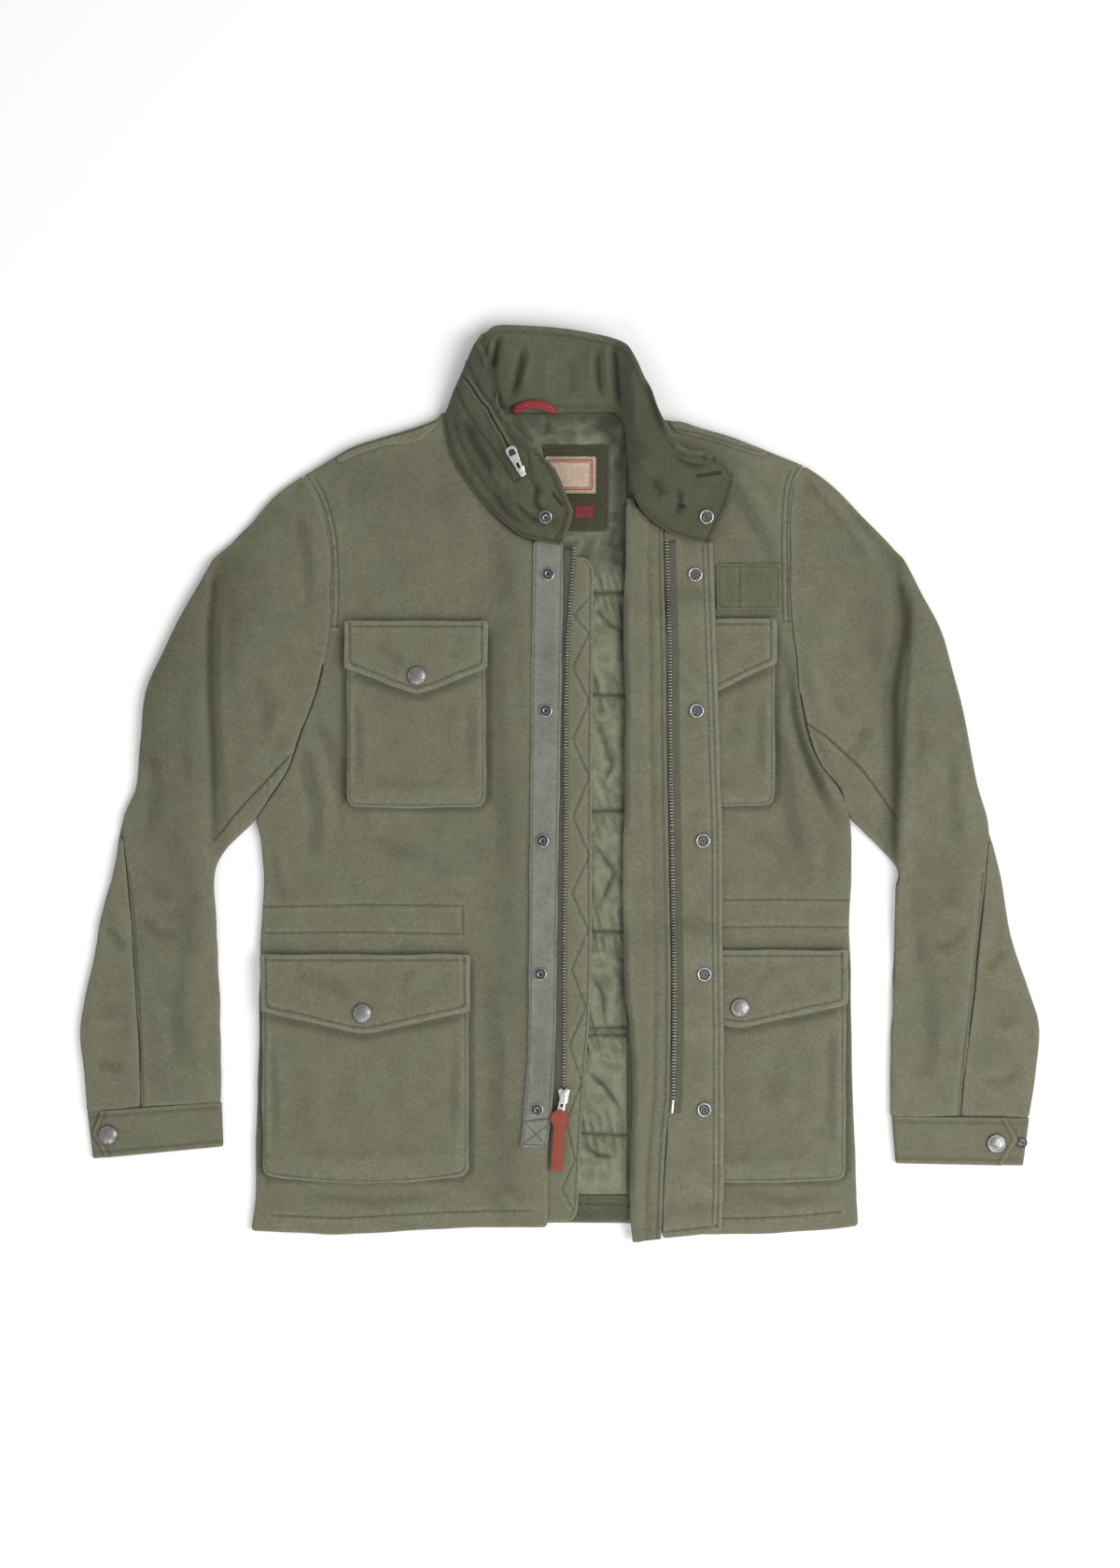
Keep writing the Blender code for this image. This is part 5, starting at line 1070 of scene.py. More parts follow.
collar = {
    "wall": 3.2, "bulge": 3.0, "topStitch": 6.2, "rows": 34, "perStation": 11,
    "stations": [  # seam x, y, z; free edge x, y, z
        (0, 219, 21.6, -21, 304, 34), (-22, 223, 21.6, -33, 316, 36), (-42, 232, 18.6, -44, 326, 37),
        (-71, 260, 13.6, -57, 349, 39), (-96, 296, 12.8, -60, 372, 38), (-104, 324, 12.6, -68, 394, 34),
        (-105, 339, 12.4, -73, 406, 28), (-99, 344, 11.2, -71, 410, 22.5), (-84, 344.5, 9, -67, 414, 19),
        (-60, 344.5, 7.8, -57, 420, 18), (-28, 344.5, 7.6, -26, 419.5, 18), (0, 344.5, 7.6, 4, 417, 19),
        (30, 344, 7.8, 32, 412, 21), (50, 341.5, 9, 50, 407, 25), (58, 331, 11.6, 62, 400, 31),
        (61, 316, 13.4, 70, 386, 35), (63, 294, 15.5, 79, 365, 37), (67, 268, 18.8, 92, 336, 36),
        (78, 247, 19.4, 110, 309, 32), (100, 230, 19.4, 132, 303, 28), (121, 223, 19.2, 150, 297, 26),
        (138, 220, 19, 160, 279, 26)],
    "zip": [(1.4, 0.64), (2.0, 0.74), (2.5, 0.80), (3.0, 0.80), (3.5, 0.76), (4.0, 0.69), (4.5, 0.65),
            (5.0, 0.61), (5.6, 0.56)],
    "slider": (1.4, 0.64), "pullTo": (2.2, 0.80), "stud": (0.45, 0.27), "socket": (20.2, 0.31),
    "endSwell": [(0, 0.5), (0.094, 7), (0.22, 14.5), (0.365, 20), (0.48, 17.5), (0.66, 15.5), (0.8, 12.5),
                 (0.92, 4.5), (1, 0)], "swellTo": 0.45,  # how far the left end reaches to the right
    "foldSize": 2.2, "folds": [  # line seen from above, half width, height
        ([(-68, 402), (-61, 372), (-55, 349), (-45, 332), (-34, 318), (-20, 305)], 3.2, -2.0),
        ([(-66, 398), (-58, 371), (-52, 349), (-41, 329), (-29, 316), (-17, 302)], 2.6, 1.2),
        ([(-100, 352), (-93, 322), (-84, 300), (-66, 272), (-50, 255)], 4, -1.0),
        ([(-92, 352), (-86, 330), (-76, 306), (-64, 288)], 3.4, 1.2),
        ([(-43, 262), (-30, 246), (-14, 236)], 3.4, -1.4), ([(-16, 240), (-9, 229), (-4, 222)], 3, 1.0),
        ([(-88, 338), (-80, 314), (-70, 298), (-57, 283)], 5.5, -2.6),
        ([(-98, 334), (-92, 308), (-80, 286), (-62, 264)], 6, 1.5),
        ([(-74, 304), (-60, 286), (-47, 269)], 4.5, 1.7), ([(-64, 272), (-48, 249), (-28, 234)], 5, -1.3),
        ([(-52, 268), (-34, 255), (-22, 247)], 4, 1.3), ([(-21, 274), (-23, 257), (-15, 247)], 3.6, -1.8),
        ([(-28, 292), (-17, 277), (-9, 266)], 3, 1.3), ([(-32, 288), (-24, 274), (-14, 262)], 2.6, -1.1),
        ([(-33, 404), (-37, 381), (-45, 350)], 4.6, -2.4), ([(-26, 402), (-30, 381), (-37, 358)], 4, 1.0),
        ([(-55, 414), (-60, 392), (-63, 376)], 3.4, -2.2), ([(-62, 409), (-66, 392), (-68, 378)], 3, 1.0),
        ([(35, 403), (34, 384), (36, 364), (42, 352)], 4, -2.0), ([(29, 398), (28, 380), (30, 362)], 4, 0.9),
        ([(47, 406), (50, 386), (52, 362), (55, 342)], 4.5, -2.4), ([(42, 404), (44, 384), (46, 362)], 3, 0.9),
        ([(-10, 396), (-13, 374), (-9, 356)], 7, 0.9), ([(10, 392), (12, 372), (8, 356)], 7, -0.8),
        ([(66, 384), (71, 350), (70, 318)], 6, 1.4), ([(77, 374), (85, 343), (96, 316)], 5, -1.9),
        ([(100, 304), (111, 294.6), (122, 291), (137, 292)], 2.8, -1.4), ([(84, 281), (95, 262)], 6, -1.2),
        ([(107, 273), (110, 258), (105, 244)], 3.4, -1.5), ([(114, 268), (112, 250)], 3, 1.0),
        ([(112, 304), (110, 296)], 1.6, -0.9), ([(130, 302), (132, 295)], 1.7, -1.0),
        ([(139, 302), (141, 294)], 1.6, -1.0), ([(118, 303), (118, 297)], 1.6, 0.7),
        ([(135.5, 303), (136, 296)], 1.5, 0.7), ([(72, 300), (84, 282)], 7, 1.0)],
    "endStitch": [(-5, 223), (0, 230), (7.5, 249), (2.5, 260), (-3.5, 273), (-9, 285), (-19, 297)],
    "zipLine": [(-89, 381), (-81, 362), (-70, 341), (-54, 317), (-42, 300), (-36, 288)],
    "zipStitch": [[(-93, 362), (-87, 346), (-75, 325), (-60, 304), (-48, 287), (-41, 275.5)],
                  [(-83, 385), (-71.5, 354), (-58, 331), (-45, 316), (-31, 304), (-28, 293), (-31, 283),
                   (-41, 275.5)],
                  [(-78, 373), (-67.5, 352), (-55, 334), (-48, 325)]],
    # buttonhole and bar tacks
    "tacks": [[(125, 281), (147, 284)], [(107, 255), (115, 253)], [(-6, 265), (2, 254)]],
    "darns": 8,
}


def collarPoint(station, height):
    table = collar["stations"]
    count = len(table) - 1
    station = min(float(count), max(0.0, station))
    index = min(count - 1, int(station))
    four = (np.array(table[min(count, max(0, index + k))], float) for k in (-1, 0, 1, 2))
    both = bend(*four, station - index)
    point = both[:3] * (1 - height) + both[3:] * height
    bulge = collar["bulge"] * sin(pi * height) * (1 - 1.4 * float(ramp(10, 19, station)))
    point[2] += bulge * (1 - 0.65 * max(0.0, 1 - abs(station - 7) / 2.5))
    heights, reach = zip(*collar["endSwell"])
    point[0] += float(np.interp(height, heights, reach)) * max(0.0, 1 - station / collar["swellTo"])
    point[0] += 4.5 * max(0.0, station - 20) * sin(pi * min(1.0, height * 0.9)) ** 2
    point[2] += 2.0 * float(ramp(16, 18.5, station))  # the far end lies on the front's crowned cloth
    return point


def collarNormal(station, height):
    step = 0.05
    go = collarPoint(station + step, height) - collarPoint(station - step, height)
    rise = collarPoint(station, min(1.0, height + step)) - collarPoint(station, max(0.0, height - step))
    normal = -np.cross(rise, go)
    return normal / max(1e-9, np.linalg.norm(normal))


def upNormal(station, height):
    normal = collarNormal(station, height)
    return -normal if normal[2] < 0 else normal


def collarHalf(station, height):  # half the wall, thinner where the stand turns over sharply
    corner = max(0.0, 1 - abs(station - 6.9) / 2.2) * (1 - 0.6 * height)
    ridge = max(0.0, 1 - abs(station - 14.3) / 2.0) * (1 - 0.5 * height)
    return collar["wall"] / 2 * (1 - 0.62 * max(corner, ridge))


def collarMarks(stations, heights):  # folds, shade and light of the collar at each of its places
    flat = np.array([collarPoint(s, h)[:2] for s in stations for h in heights])
    facing = np.sign([collarNormal(s, h)[2] for s in stations for h in heights])
    folds, shade, light = (np.zeros(len(flat)) for _ in range(3))
    for line, half, height in collar["folds"]:
        distance, along, _, length = lineField(flat, curved(line, 2))
        ends = fade(along, length, length * 0.3)
        fold, crisp = bell(distance, half * 0.8) * ends, bell(distance, half * 0.42) * ends
        folds += facing * fold * height * collar["foldSize"]
        shade -= (fold * 0.13 + crisp * 0.36) * min(0.0, height)
        light += (fold * 0.1 + crisp * 0.2) * max(0.0, height)
    for line in collar["zipStitch"] + [collar["endStitch"]]:
        distance = lineField(flat, curved(line, 2))[0]
        folds -= facing * 0.6 * bell(distance, 1.3)
        shade += 0.75 * bell(distance, 1.0)
    light += 0.3 * bell(lineField(flat, curved(collar["zipLine"], 2))[0] - 4, 3)
    return (values.reshape(len(stations), -1) for values in (folds, shade, light))


def makeCollar():
    last = len(collar["stations"]) - 1
    stations = np.linspace(0, last, last * collar["perStation"] + 1)
    stations = np.unique(np.round(np.concatenate([stations, np.linspace(0, 7, 141)]), 4))  # finer at the zip's end
    heights = np.concatenate([[0, 0.006, 0.016], np.linspace(0.035, 0.93, collar["rows"]),
                              [0.95, 0.966, 0.98, 0.989, 0.996, 1.0]])
    run = runLengths(np.array([collarPoint(s, 0.5)[:2] for s in stations]))
    width = np.array([np.linalg.norm(collarPoint(s, 1) - collarPoint(s, 0)) for s in stations])
    place = np.array([(run[i], h * width[i]) for i in range(len(stations)) for h in heights])
    sway = (waves(51, place, 55) * 1.1 + waves(52, place, 20) * 0.35).reshape(len(stations), -1)
    fine = (waves(53, place, 8) * 0.12).reshape(len(stations), -1)
    folds, shade, light = collarMarks(stations, heights)
    grid = []
    for i, station in enumerate(stations):
        row = []
        for j, height in enumerate(heights):
            point, normal = collarPoint(station, height), collarNormal(station, height)
            half = collarHalf(station, height)
            # the hood zip's side sags in long folds, the other side is smoother
            sag = sin(run[i] / 6.5 + 2.2 * sin(run[i] / 17)) * float(ramp(0.8, 1, height) * ramp(7.5, 5.5, station))
            point = point + (collarPoint(station, 1) - collarPoint(station, 0)) * sag * 1.7 / width[i]
            fromSeam, fromEdge = height * width[i], (1 - height) * width[i]
            fromEnd = min(run[i], run[-1] - run[i])
            rim = min(1.0, min(fromEdge, fromEnd) / 1.8)
            half *= 0.35 + 0.65 * sqrt(max(0.0, 1 - (1 - rim) ** 2))
            stitch = min(1.0, sum(bell(away - collar["topStitch"], 1.2) for away in (fromEdge, fromEnd)))
            half -= 0.32 * stitch * min(half, 1.0)
            push = sway[i, j] * min(1.0, height * 2.2) * (0.5 + 0.5 * min(1.0, fromEdge / 10 + 0.4))
            push += fine[i, j] + folds[i, j] * min(1.0, height * 5)
            push += (bell(fromEdge - 2.6, 3) * sin(run[i] / 4.2 + sin(run[i] / 13) * 2)
                     * (0.3 + 0.9 * float(ramp(8.5, 5, station))))
            patch = bell(run[i] - 18, 12) * bell(fromSeam - 20, 7) * 0.35
            # painted shade on the collar's standing sides, which turn away from the light
            turned = 0.34 * (1 - float(ramp(7.6, 8.6, station) * ramp(13.6, 12.6, station)))
            # painted shade along the seam foot, in the stitch grooves and in the folds; painted highlight on the fold
            # ridges and beside the zip; wear at the free edge and the ends
            row.append((point + normal * (half + push), point - normal * (half - push), (run[i], fromSeam),
                        0.55 * stitch + 0.5 * bell(fromSeam - 3.0, 1.3) + patch + shade[i, j] + turned,
                        0.8 * bell(fromEdge, 2.0) + 0.7 * bell(fromEnd, 2.0) + 0.4 * bell(fromEdge - 4.2, 1.5)
                        + light[i, j]))
        grid.append(row)
    piece, tree = gridPiece("collarStand", grid, "collarTwill")
    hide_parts("collar")
    declareSheet(piece, run[-1], float(width.max()))
    threadOn(tree, curved(collar["endStitch"], 2))
    onTop = []  # the free edge's stitch line, where it isn't turned under
    for station, height in spaced([(s, 1 - collar["topStitch"] / w) for s, w in zip(stations, width)], 0.02):
        point = collarPoint(station, height)
        point = point + upNormal(station, height) * (collarHalf(station, height) + 0.1)
        hit = tree.ray_cast((point[0], point[1], 200), (0, 0, -1))[0]
        if hit is not None and abs(hit.z - point[2]) < 3.0:
            onTop.append((hit.x, hit.y, hit.z + 0.12))
    addThread("shell", spaced3(onTop, 2.0))
    return tree


collarTree = makeCollar()


def collarFace(station, height):  # place on the collar's upper face, and the way out of it
    normal = upNormal(station, height)
    near = collarPoint(station, height)
    hit = collarTree.ray_cast(Vector(near + normal * 8), Vector(-normal))[0]
    return np.array(hit) if hit is not None else near + normal * collarHalf(station, height), normal


hoodLips = {"half": [(4.2, 0.0), (3.6, 0.7), (2.6, 1.3), (1.5, 1.45), (0.8, 1.0), (0.35, 0.25)]}  # across, height


def makeHoodZip():  # two folded lips with the dark chain sunk between them, and a stitch line on each side
    stations = spaced(np.array(collar["zip"]) * (1, 20), 0.12) / (1, 20)
    half = hoodLips["half"]
    profile = [(-across, lift) for across, lift in half] + half[::-1]
    points = [collarFace(s, h) for s, h in stations]
    last = len(points) - 1
    grid, run = [], 0.0
    for i, (point, normal) in enumerate(points):
        go = points[min(last, i + 1)][0] - points[max(0, i - 1)][0]
        run += np.linalg.norm(go) / 2
        side = np.cross(normal, go)
        side /= np.linalg.norm(side)
        ends = min(1.0, min(i, last - i) / 5)
        wide = 0.35 + 0.65 * ends
        # the lips' inner edges are painted dark, painted shade of the sunk gap; their crowns are painted lighter,
        # painted highlight
        grid.append([(point + side * across * wide + normal * (0.15 + lift * (0.4 + 0.6 * ends)),
                      point + side * across * 0.96 * wide - normal * 0.5, (run, across),
                      1.0 if abs(across) < 0.9 else 0.0, 0.75 if 1.2 < abs(across) < 2.0 else 0.0)
                     for across, lift in profile])
    piece, _ = gridPiece("hoodZipLips", grid, "collarTwill")
    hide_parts("collar_zip")
    declareSheet(piece, run, 12.0)
    for line in collar["zipStitch"]:
        threadOn(collarTree, curved(line, 2.0))
    return spaced3([tuple(point + normal * 0.45) for point, normal in points], 2.0)


hoodChain = makeHoodZip()
for line in collar["tacks"]:
    for offset in (-0.9, 0, 0.9):
        threadOn(collarTree, [(x, y + offset) for x, y in line], "dark", 1.0)
for k in range(collar["darns"]):  # darned stretch beside the hood zip
    threadOn(collarTree, [(-53 + 3.1 * k, 262 - 1.5 * k), (-46 + 3.1 * k, 246 - 1.0 * k)], "shell", 1.7)
print("collar made")

foldBack = {
    "wall": 3.6, "seed": 61, "leg": 8.0, "rowStep": 3.0, "stitch": 4.0,
    "lines": [  # y, then x of the fold, of the zip and of the storm flap's rim
        (-420, 67, 96, 149), (-400, 64, 97, 149), (-362, 64, 98, 150), (-325, 65, 100, 150),
        (-286, 67, 104, 150), (-228, 64, 105, 150), (-170, 59, 105, 149), (-100, 57, 104, 149),
        (-50, 58, 103, 149), (0, 60, 102, 147), (70, 60, 101, 145), (110, 59, 101, 144),
        (150, 58, 100, 142), (190, 59, 99, 141), (222, 60, 98, 140)],
}


def foldLine(column, y):
    table = np.array(foldBack["lines"], float)
    return float(np.interp(y, table[:, 0], table[:, column]))


def solidTree(node):
    work = cadCopy(node)
    tree = BVHTree.FromBMesh(work)
    work.free()
    return tree


def between(line):  # step from the point before to the point after, along a line
    return np.vstack([line[1:], line[-1:]]) - np.vstack([line[:1], line[:-1]])


def foldPath(y, x0, x1, solid):  # section through the fold, from its hidden leg round to the zip
    half = foldBack["wall"] / 2
    yFold = float(np.interp(y, [-420, -402, 200, 222], [-420, -402, 200, 262]))
    yZip = float(np.interp(y, [-420, -402, 200, 222], [-417, -402, 200, 234]))
    low = 5.4 + 2.2 + half + 0.4
    top = heightsOn(solid, [(x0 + 14, yFold)])[0] - half
    path = [(x0 + foldBack["leg"], yFold, low), (x0 + 4.6, yFold, low + 0.2), (x0 + half, yFold, (low + top) / 2),
            (x0 + 4.8, yFold, top - 0.2)]
    for share in (0.0, 0.33, 0.66, 1.0):
        x = (x0 + 9.5) + (x1 - x0 - 9.5) * share
        yHere = yFold + (yZip - yFold) * (9.5 + (x - x0 - 9.5)) / (x1 - x0)
        path.append((x, yHere, heightsOn(solid, [(min(x, x1 - 3.2), yHere)])[0] - half))
    return path


def makeFoldedEdge():
    rows = np.arange(-420, 222.1, foldBack["rowStep"])
    solid = solidTree("facing_right")
    half, seed = foldBack["wall"] / 2, foldBack["seed"]
    sway = waves(seed, np.column_stack([rows, rows * 0]), 34) * 0.7
    paths = np.array([foldPath(y, foldLine(1, y) + move, foldLine(2, y) - 3.4, solid) for y, move in zip(rows, sway)])
    for _ in range(2):  # soften along the fold
        paths[1:-1, :, 2] = (paths[1:-1, :, 2] * 2 + paths[:-2, :, 2] + paths[2:, :, 2]) / 4
    grid = []
    for path, y in zip(paths, rows):
        line = smoothPath(path, 6)
        run = between(line)
        out = np.stack([-run[:, 2], np.zeros(len(line)), run[:, 0]], 1)
        out /= np.maximum(1e-9, np.linalg.norm(out, axis=1))[:, None]
        across = runLengths(line)
        fromZip = across[-1] - across
        onTop = ramp(10, 16, across)
        crease = -1.3 * bell(fromZip - 14 - 2 * sin(y / 60), 3.4) * onTop
        crease += 0.8 * bell(fromZip - 21 - 3 * sin(y / 70 + 1), 5.0) * onTop
        stitch = bell(fromZip - foldBack["stitch"], 1.2)
        pucker = bell(fromZip - foldBack["stitch"], 5) * sin(y / 2.9 + 1.7 * sin(y / 13)) * 0.25
        lift = (waves(seed + 1, line[:, :2], 45) * 0.7 + waves(seed + 2, line[:, :2], 14) * 0.16) * onTop
        lift += crease - 0.45 * stitch + pucker
        thick = half * (0.45 + 0.55 * np.sqrt(1 - (1 - np.clip(fromZip / 1.8, 0, 1)) ** 2))
        shell = line + np.array([0, 0, 1.0]) * lift[:, None]
        # painted shade in the stitch groove and the crease; lighter along the fold and the zip edge
        grid.append(list(zip(shell + out * thick[:, None], line - out * thick[:, None] * 0.8,
                             np.column_stack([across, np.full(len(line), y)]),
                             0.6 * stitch + 0.35 * bell(fromZip - 14, 1.8) * onTop,
                             0.85 * bell(across - 7.5, 3.0) + 0.5 * bell(fromZip, 1.6))))
    piece, tree = gridPiece("foldedFacing", grid, "facingTwill")
    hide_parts("facing_right")
    declareSheet(piece, float(np.mean([row[-1][2][0] for row in grid])), 650.0)
    threadOn(tree, [(foldLine(2, y) - 7.6, y) for y in np.arange(-405, 215, 12)])
    threadOn(tree, [(x, -408 - (x - 70) * -0.06) for x in np.arange(70, 93, 3)])
    return tree


foldTree = makeFoldedEdge()

cuffs = {
    "left": {"innerTop": (-311, -293.6), "innerLow": (-309.5, -333), "outerTop": (-434.5, -302.8),
             "outerLow": (-429.5, -344.5), "tip": 0.975, "shoulder": 0.905, "seed": 71},
    "right": {"innerTop": (305, -307), "innerLow": (308.5, -348.5), "outerTop": (431.5, -308.6),
              "outerLow": (426, -351), "tip": 0.93, "shoulder": 0.835, "seed": 72},
}
cuffLook = {"wall": 2.8, "gap": 0.4, "tuck": 0.035, "stitch": 4.6}  # tuck: its share close up under the sleeve


def cuffSection(width, reach):  # from the hidden lap round the outer fold, underneath and up to the pointed end
    wall = cuffLook["wall"]
    low, mid, high = (wall / 2 + k * (wall + cuffLook["gap"]) for k in range(3))
    edge = (wall + 0.6) / width
    path = [(0.74, mid), (0.86, mid), (1 - edge, mid), (1 - edge * 0.45, (low + mid) / 2), (1 - edge, low),
            (0.75, low), (0.5, low), (0.25, low), (edge * 1.4, low), (edge * 0.62, low + 0.2 * (high - low)),
            (edge * 0.45, (low + high) / 2), (edge * 0.62, low + 0.8 * (high - low)), (edge * 1.4, high),
            (0.25, high), (0.5, high), (0.75, high), (reach - 0.02, high), (reach, high)]
    return smoothPath([(u * width, z) for u, z in path], 5)


def makeCuff(side, cuff):
    half, inset = cuffLook["wall"] / 2, cuffLook["stitch"]
    innerTop, innerLow, outerTop, outerLow = (np.array(cuff[key]) for key in
                                              ("innerTop", "innerLow", "outerTop", "outerLow"))
    innerTop = innerTop + (innerTop - innerLow) * cuffLook["tuck"]
    outerTop = outerTop + (outerTop - outerLow) * cuffLook["tuck"]
    depth = hypot(*(innerLow - innerTop))

    def ends(v):
        return innerTop + (innerLow - innerTop) * v, outerTop + (outerLow - outerTop) * v

    shoulder, tip = cuff["shoulder"], cuff["tip"]
    grid = []
    for v in np.concatenate([[0, 0.015, 0.04], np.linspace(0.075, 0.925, 16), [0.96, 0.985, 1.0]]):
        inner, outer = ends(v)
        width = hypot(*(outer - inner))
        reach = float(np.interp(v, [0, 0.06, 0.45, 0.94, 1], [shoulder, shoulder, tip, shoulder, shoulder]))
        line = cuffSection(width, reach)
        run = unitRun(between(line))
        out = np.stack([run[:, 1], -run[:, 0]], 1)
        across = runLengths(line)
        fromTip = across[-1] - across
        fromTop, fromLow = v * depth, (1 - v) * depth
        rim = min(1.0, min(v, 1 - v) * depth / 1.5)
        thick = half * (0.4 + 0.6 * sqrt(1 - (1 - rim) ** 2)) * np.ones(len(line))
        thick *= 0.45 + 0.55 * np.sqrt(1 - (1 - np.clip(fromTip / 1.6, 0, 1)) ** 2)
        stitch = bell(fromTop - inset, 1.2) + bell(fromLow - inset, 1.2)
        tipStitch = bell(fromTip - inset, 1.2)
        place = np.column_stack([across, np.full(len(line), fromTop)])
        push = waves(cuff["seed"], place, 30) * 0.35 + waves(cuff["seed"] + 1, place, 9) * 0.1
        push -= 0.35 * np.clip(stitch + tipStitch, 0, 1)
        direction = (outer - inner) / width
        over, under = ([(*(inner + direction * a), z) for a, z in line + out * size[:, None]]
                       for size in (thick + push, thick * -0.98))
        # painted shade in the stitch grooves, with dirt; lighter along the folded edges
        wear = 0.8 * (bell(fromTop, 1.7) + bell(fromLow, 1.7)) + 0.9 * bell(fromTip, 1.7)
        grid.append(list(zip(over, under, place, np.clip(0.5 * stitch + 0.5 * tipStitch, 0, 1), wear)))
    piece, tree = gridPiece("cuffBand" + side.title(), grid, "shellTwill")
    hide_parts("cuff_" + side)
    declareSheet(piece, float(grid[8][-1][2][0]), depth)
    along = inset / hypot(*(outerTop - innerTop))
    corner = shoulder - along * 0.6
    top, low = inset / depth, 1 - inset / depth
    spots = [(0.03, top), (corner, top), (tip - along * 1.3, 0.45), (corner, low), (0.03, low)]
    threadOn(tree, [tuple(ends(v)[0] + (ends(v)[1] - ends(v)[0]) * u) for u, v in spots])


for side, cuff in cuffs.items():
    makeCuff(side, cuff)
print("folded edge and cuffs made")

# zips: woven tape with a corded edge, and cast teeth along it
def makeRunTree():  # copies of a small unit along lines, each a little uneven
    tree, given, result = newGroup("alongRuns", "Geometry", [
        ("Geometry", "Geometry", None), ("Unit", "Object", None), ("Spacing", "Float", 0.003),
        ("Size", "Vector", (1, 1, 1)), ("Turn", "Float", 0.0), ("Uneven", "Float", 0.15), ("Seed", "Int", 1),
        ("Finish", "Material", None)], [("Geometry", "Geometry")])

    def scaled(vector, factor):
        return addNode(tree, "ShaderNodeVectorMath", {0: vector, "Scale": factor}, operation="SCALE").outputs[0]

    curve = addNode(tree, "GeometryNodeMeshToCurve", {"Mesh": given["Geometry"]})
    points = addNode(tree, "GeometryNodeCurveToPoints",
                     {"Curve": curve.outputs["Curve"], "Length": given["Spacing"]}, mode="LENGTH").outputs
    along = addNode(tree, "FunctionNodeAlignRotationToVector", {"Vector": points["Tangent"]}, axis="X",
                    pivot_axis="AUTO")
    upright = addNode(tree, "FunctionNodeAlignRotationToVector",
                      {"Rotation": along.outputs["Rotation"], "Vector": (0, 0, 1)}, axis="Z", pivot_axis="X")
    jitter = addNode(tree, "FunctionNodeRandomValue", {
        "Seed": given["Seed"], "Min": scaled((-0.3, -0.15, -1.0), given["Uneven"]),
        "Max": scaled((0.3, 0.15, 1.0), given["Uneven"])}, data_type="FLOAT_VECTOR")
    turn = addNode(tree, "ShaderNodeCombineXYZ", {"Z": given["Turn"]})
    both = addNode(tree, "ShaderNodeVectorMath", {0: jitter.outputs[0], 1: turn.outputs[0]}, operation="ADD")
    angles = addNode(tree, "FunctionNodeEulerToRotation", {0: both.outputs[0]})
    rotate = addNode(tree, "FunctionNodeRotateRotation", {"Rotation": upright.outputs["Rotation"],
                     "Rotate By": angles.outputs[0]}, rotation_space="LOCAL")
    unit = addNode(tree, "GeometryNodeObjectInfo", {"Object": given["Unit"]})
    size = addNode(tree, "FunctionNodeRandomValue", {"Min": 0.88, "Max": 1.12, "Seed": given["Seed"]},
                   data_type="FLOAT")
    copies = addNode(tree, "GeometryNodeInstanceOnPoints", {
        "Points": points["Points"], "Instance": unit.outputs["Geometry"], "Rotation": rotate.outputs["Rotation"],
        "Scale": scaled(given["Size"], size.outputs[1])})
    real = addNode(tree, "GeometryNodeRealizeInstances", {"Geometry": copies.outputs["Instances"]})
    painted = addNode(tree, "GeometryNodeSetMaterial", {"Geometry": real.outputs["Geometry"],
                      "Material": given["Finish"]})
    plug(tree, painted.outputs["Geometry"], result.inputs["Geometry"])
    return tree


runTree = makeRunTree()


def unitMesh(name, verts, faces):
    mesh = bpy.data.meshes.new(name)
    mesh.from_pydata(verts, [], faces)
    outwardFaces(mesh)
    unit = bpy.data.objects.new(name, mesh)
    scene.collection.objects.link(unit)
    return unit


def alongRuns(name, runs, unit, settings, material, body="garment", smooth=True):
    verts, edges = [], []
    for run in runs:
        start = len(verts)
        verts += [tuple(p * mm for p in point) for point in run]
        edges += [(i, i + 1) for i in range(start, len(verts) - 1)]
    mesh = bpy.data.meshes.new(name + "Path")
    mesh.from_pydata(verts, edges, [])
    path = bpy.data.objects.new(name + "Path", mesh)
    scene.collection.objects.link(path)
    modifier = path.modifiers.new("along", "NODES")
    modifier.node_group = runTree
    values = dict(settings, Unit=unit, Finish=material)
    for item in runTree.interface.items_tree:
        if item.in_out == "INPUT" and item.name in values:
            modifier[item.identifier] = values[item.name]
    bpy.context.view_layer.update()
    made = bpy.data.meshes.new_from_object(path.evaluated_get(bpy.context.evaluated_depsgraph_get()))
    bpy.data.objects.remove(path)
    made.name = name
    if smooth:
        made.shade_smooth()
    piece = bpy.data.objects.new(name, made)
    scene.collection.objects.link(piece)
    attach(piece, body)
    return piece


zips = {
    "pitch": 2.8, "toothLong": 1.5, "toothWide": 4.2, "toothTall": 2.4, "seed": 83,
    "left": [(13, 216), (7, 140), (5, 60), (5, -20), (4, -140), (3.5, -276)],
    "leftEnd": (2.5, -311.5), "rightEnds": (-302, 226),
}


def toothUnit():  # one cast tooth across the tape's edge, cup and nib at its free end
    outline = [(-0.5, -0.5), (0.3, -0.5), (0.36, -0.26), (0.5, -0.2), (0.5, 0.2), (0.36, 0.26), (0.3, 0.5),
               (-0.5, 0.5)]
    verts = [(y, x, 0.0) for x, y in outline] + [(y * 0.8, x * 0.94, 0.75) for x, y in outline]
    verts += [(y * 0.45, x * 0.8, 1.0) for x, y in outline]
    count = len(outline)
    faces = [tuple(range(count)), tuple(range(2 * count, 3 * count))]
    for low in (0, count):
        ends = [(i, (i + 1) % count) for i in range(count)]
        faces += [(low + a, low + b, low + count + b, low + count + a) for a, b in ends]
    return unitMesh("zipTooth", verts, faces)


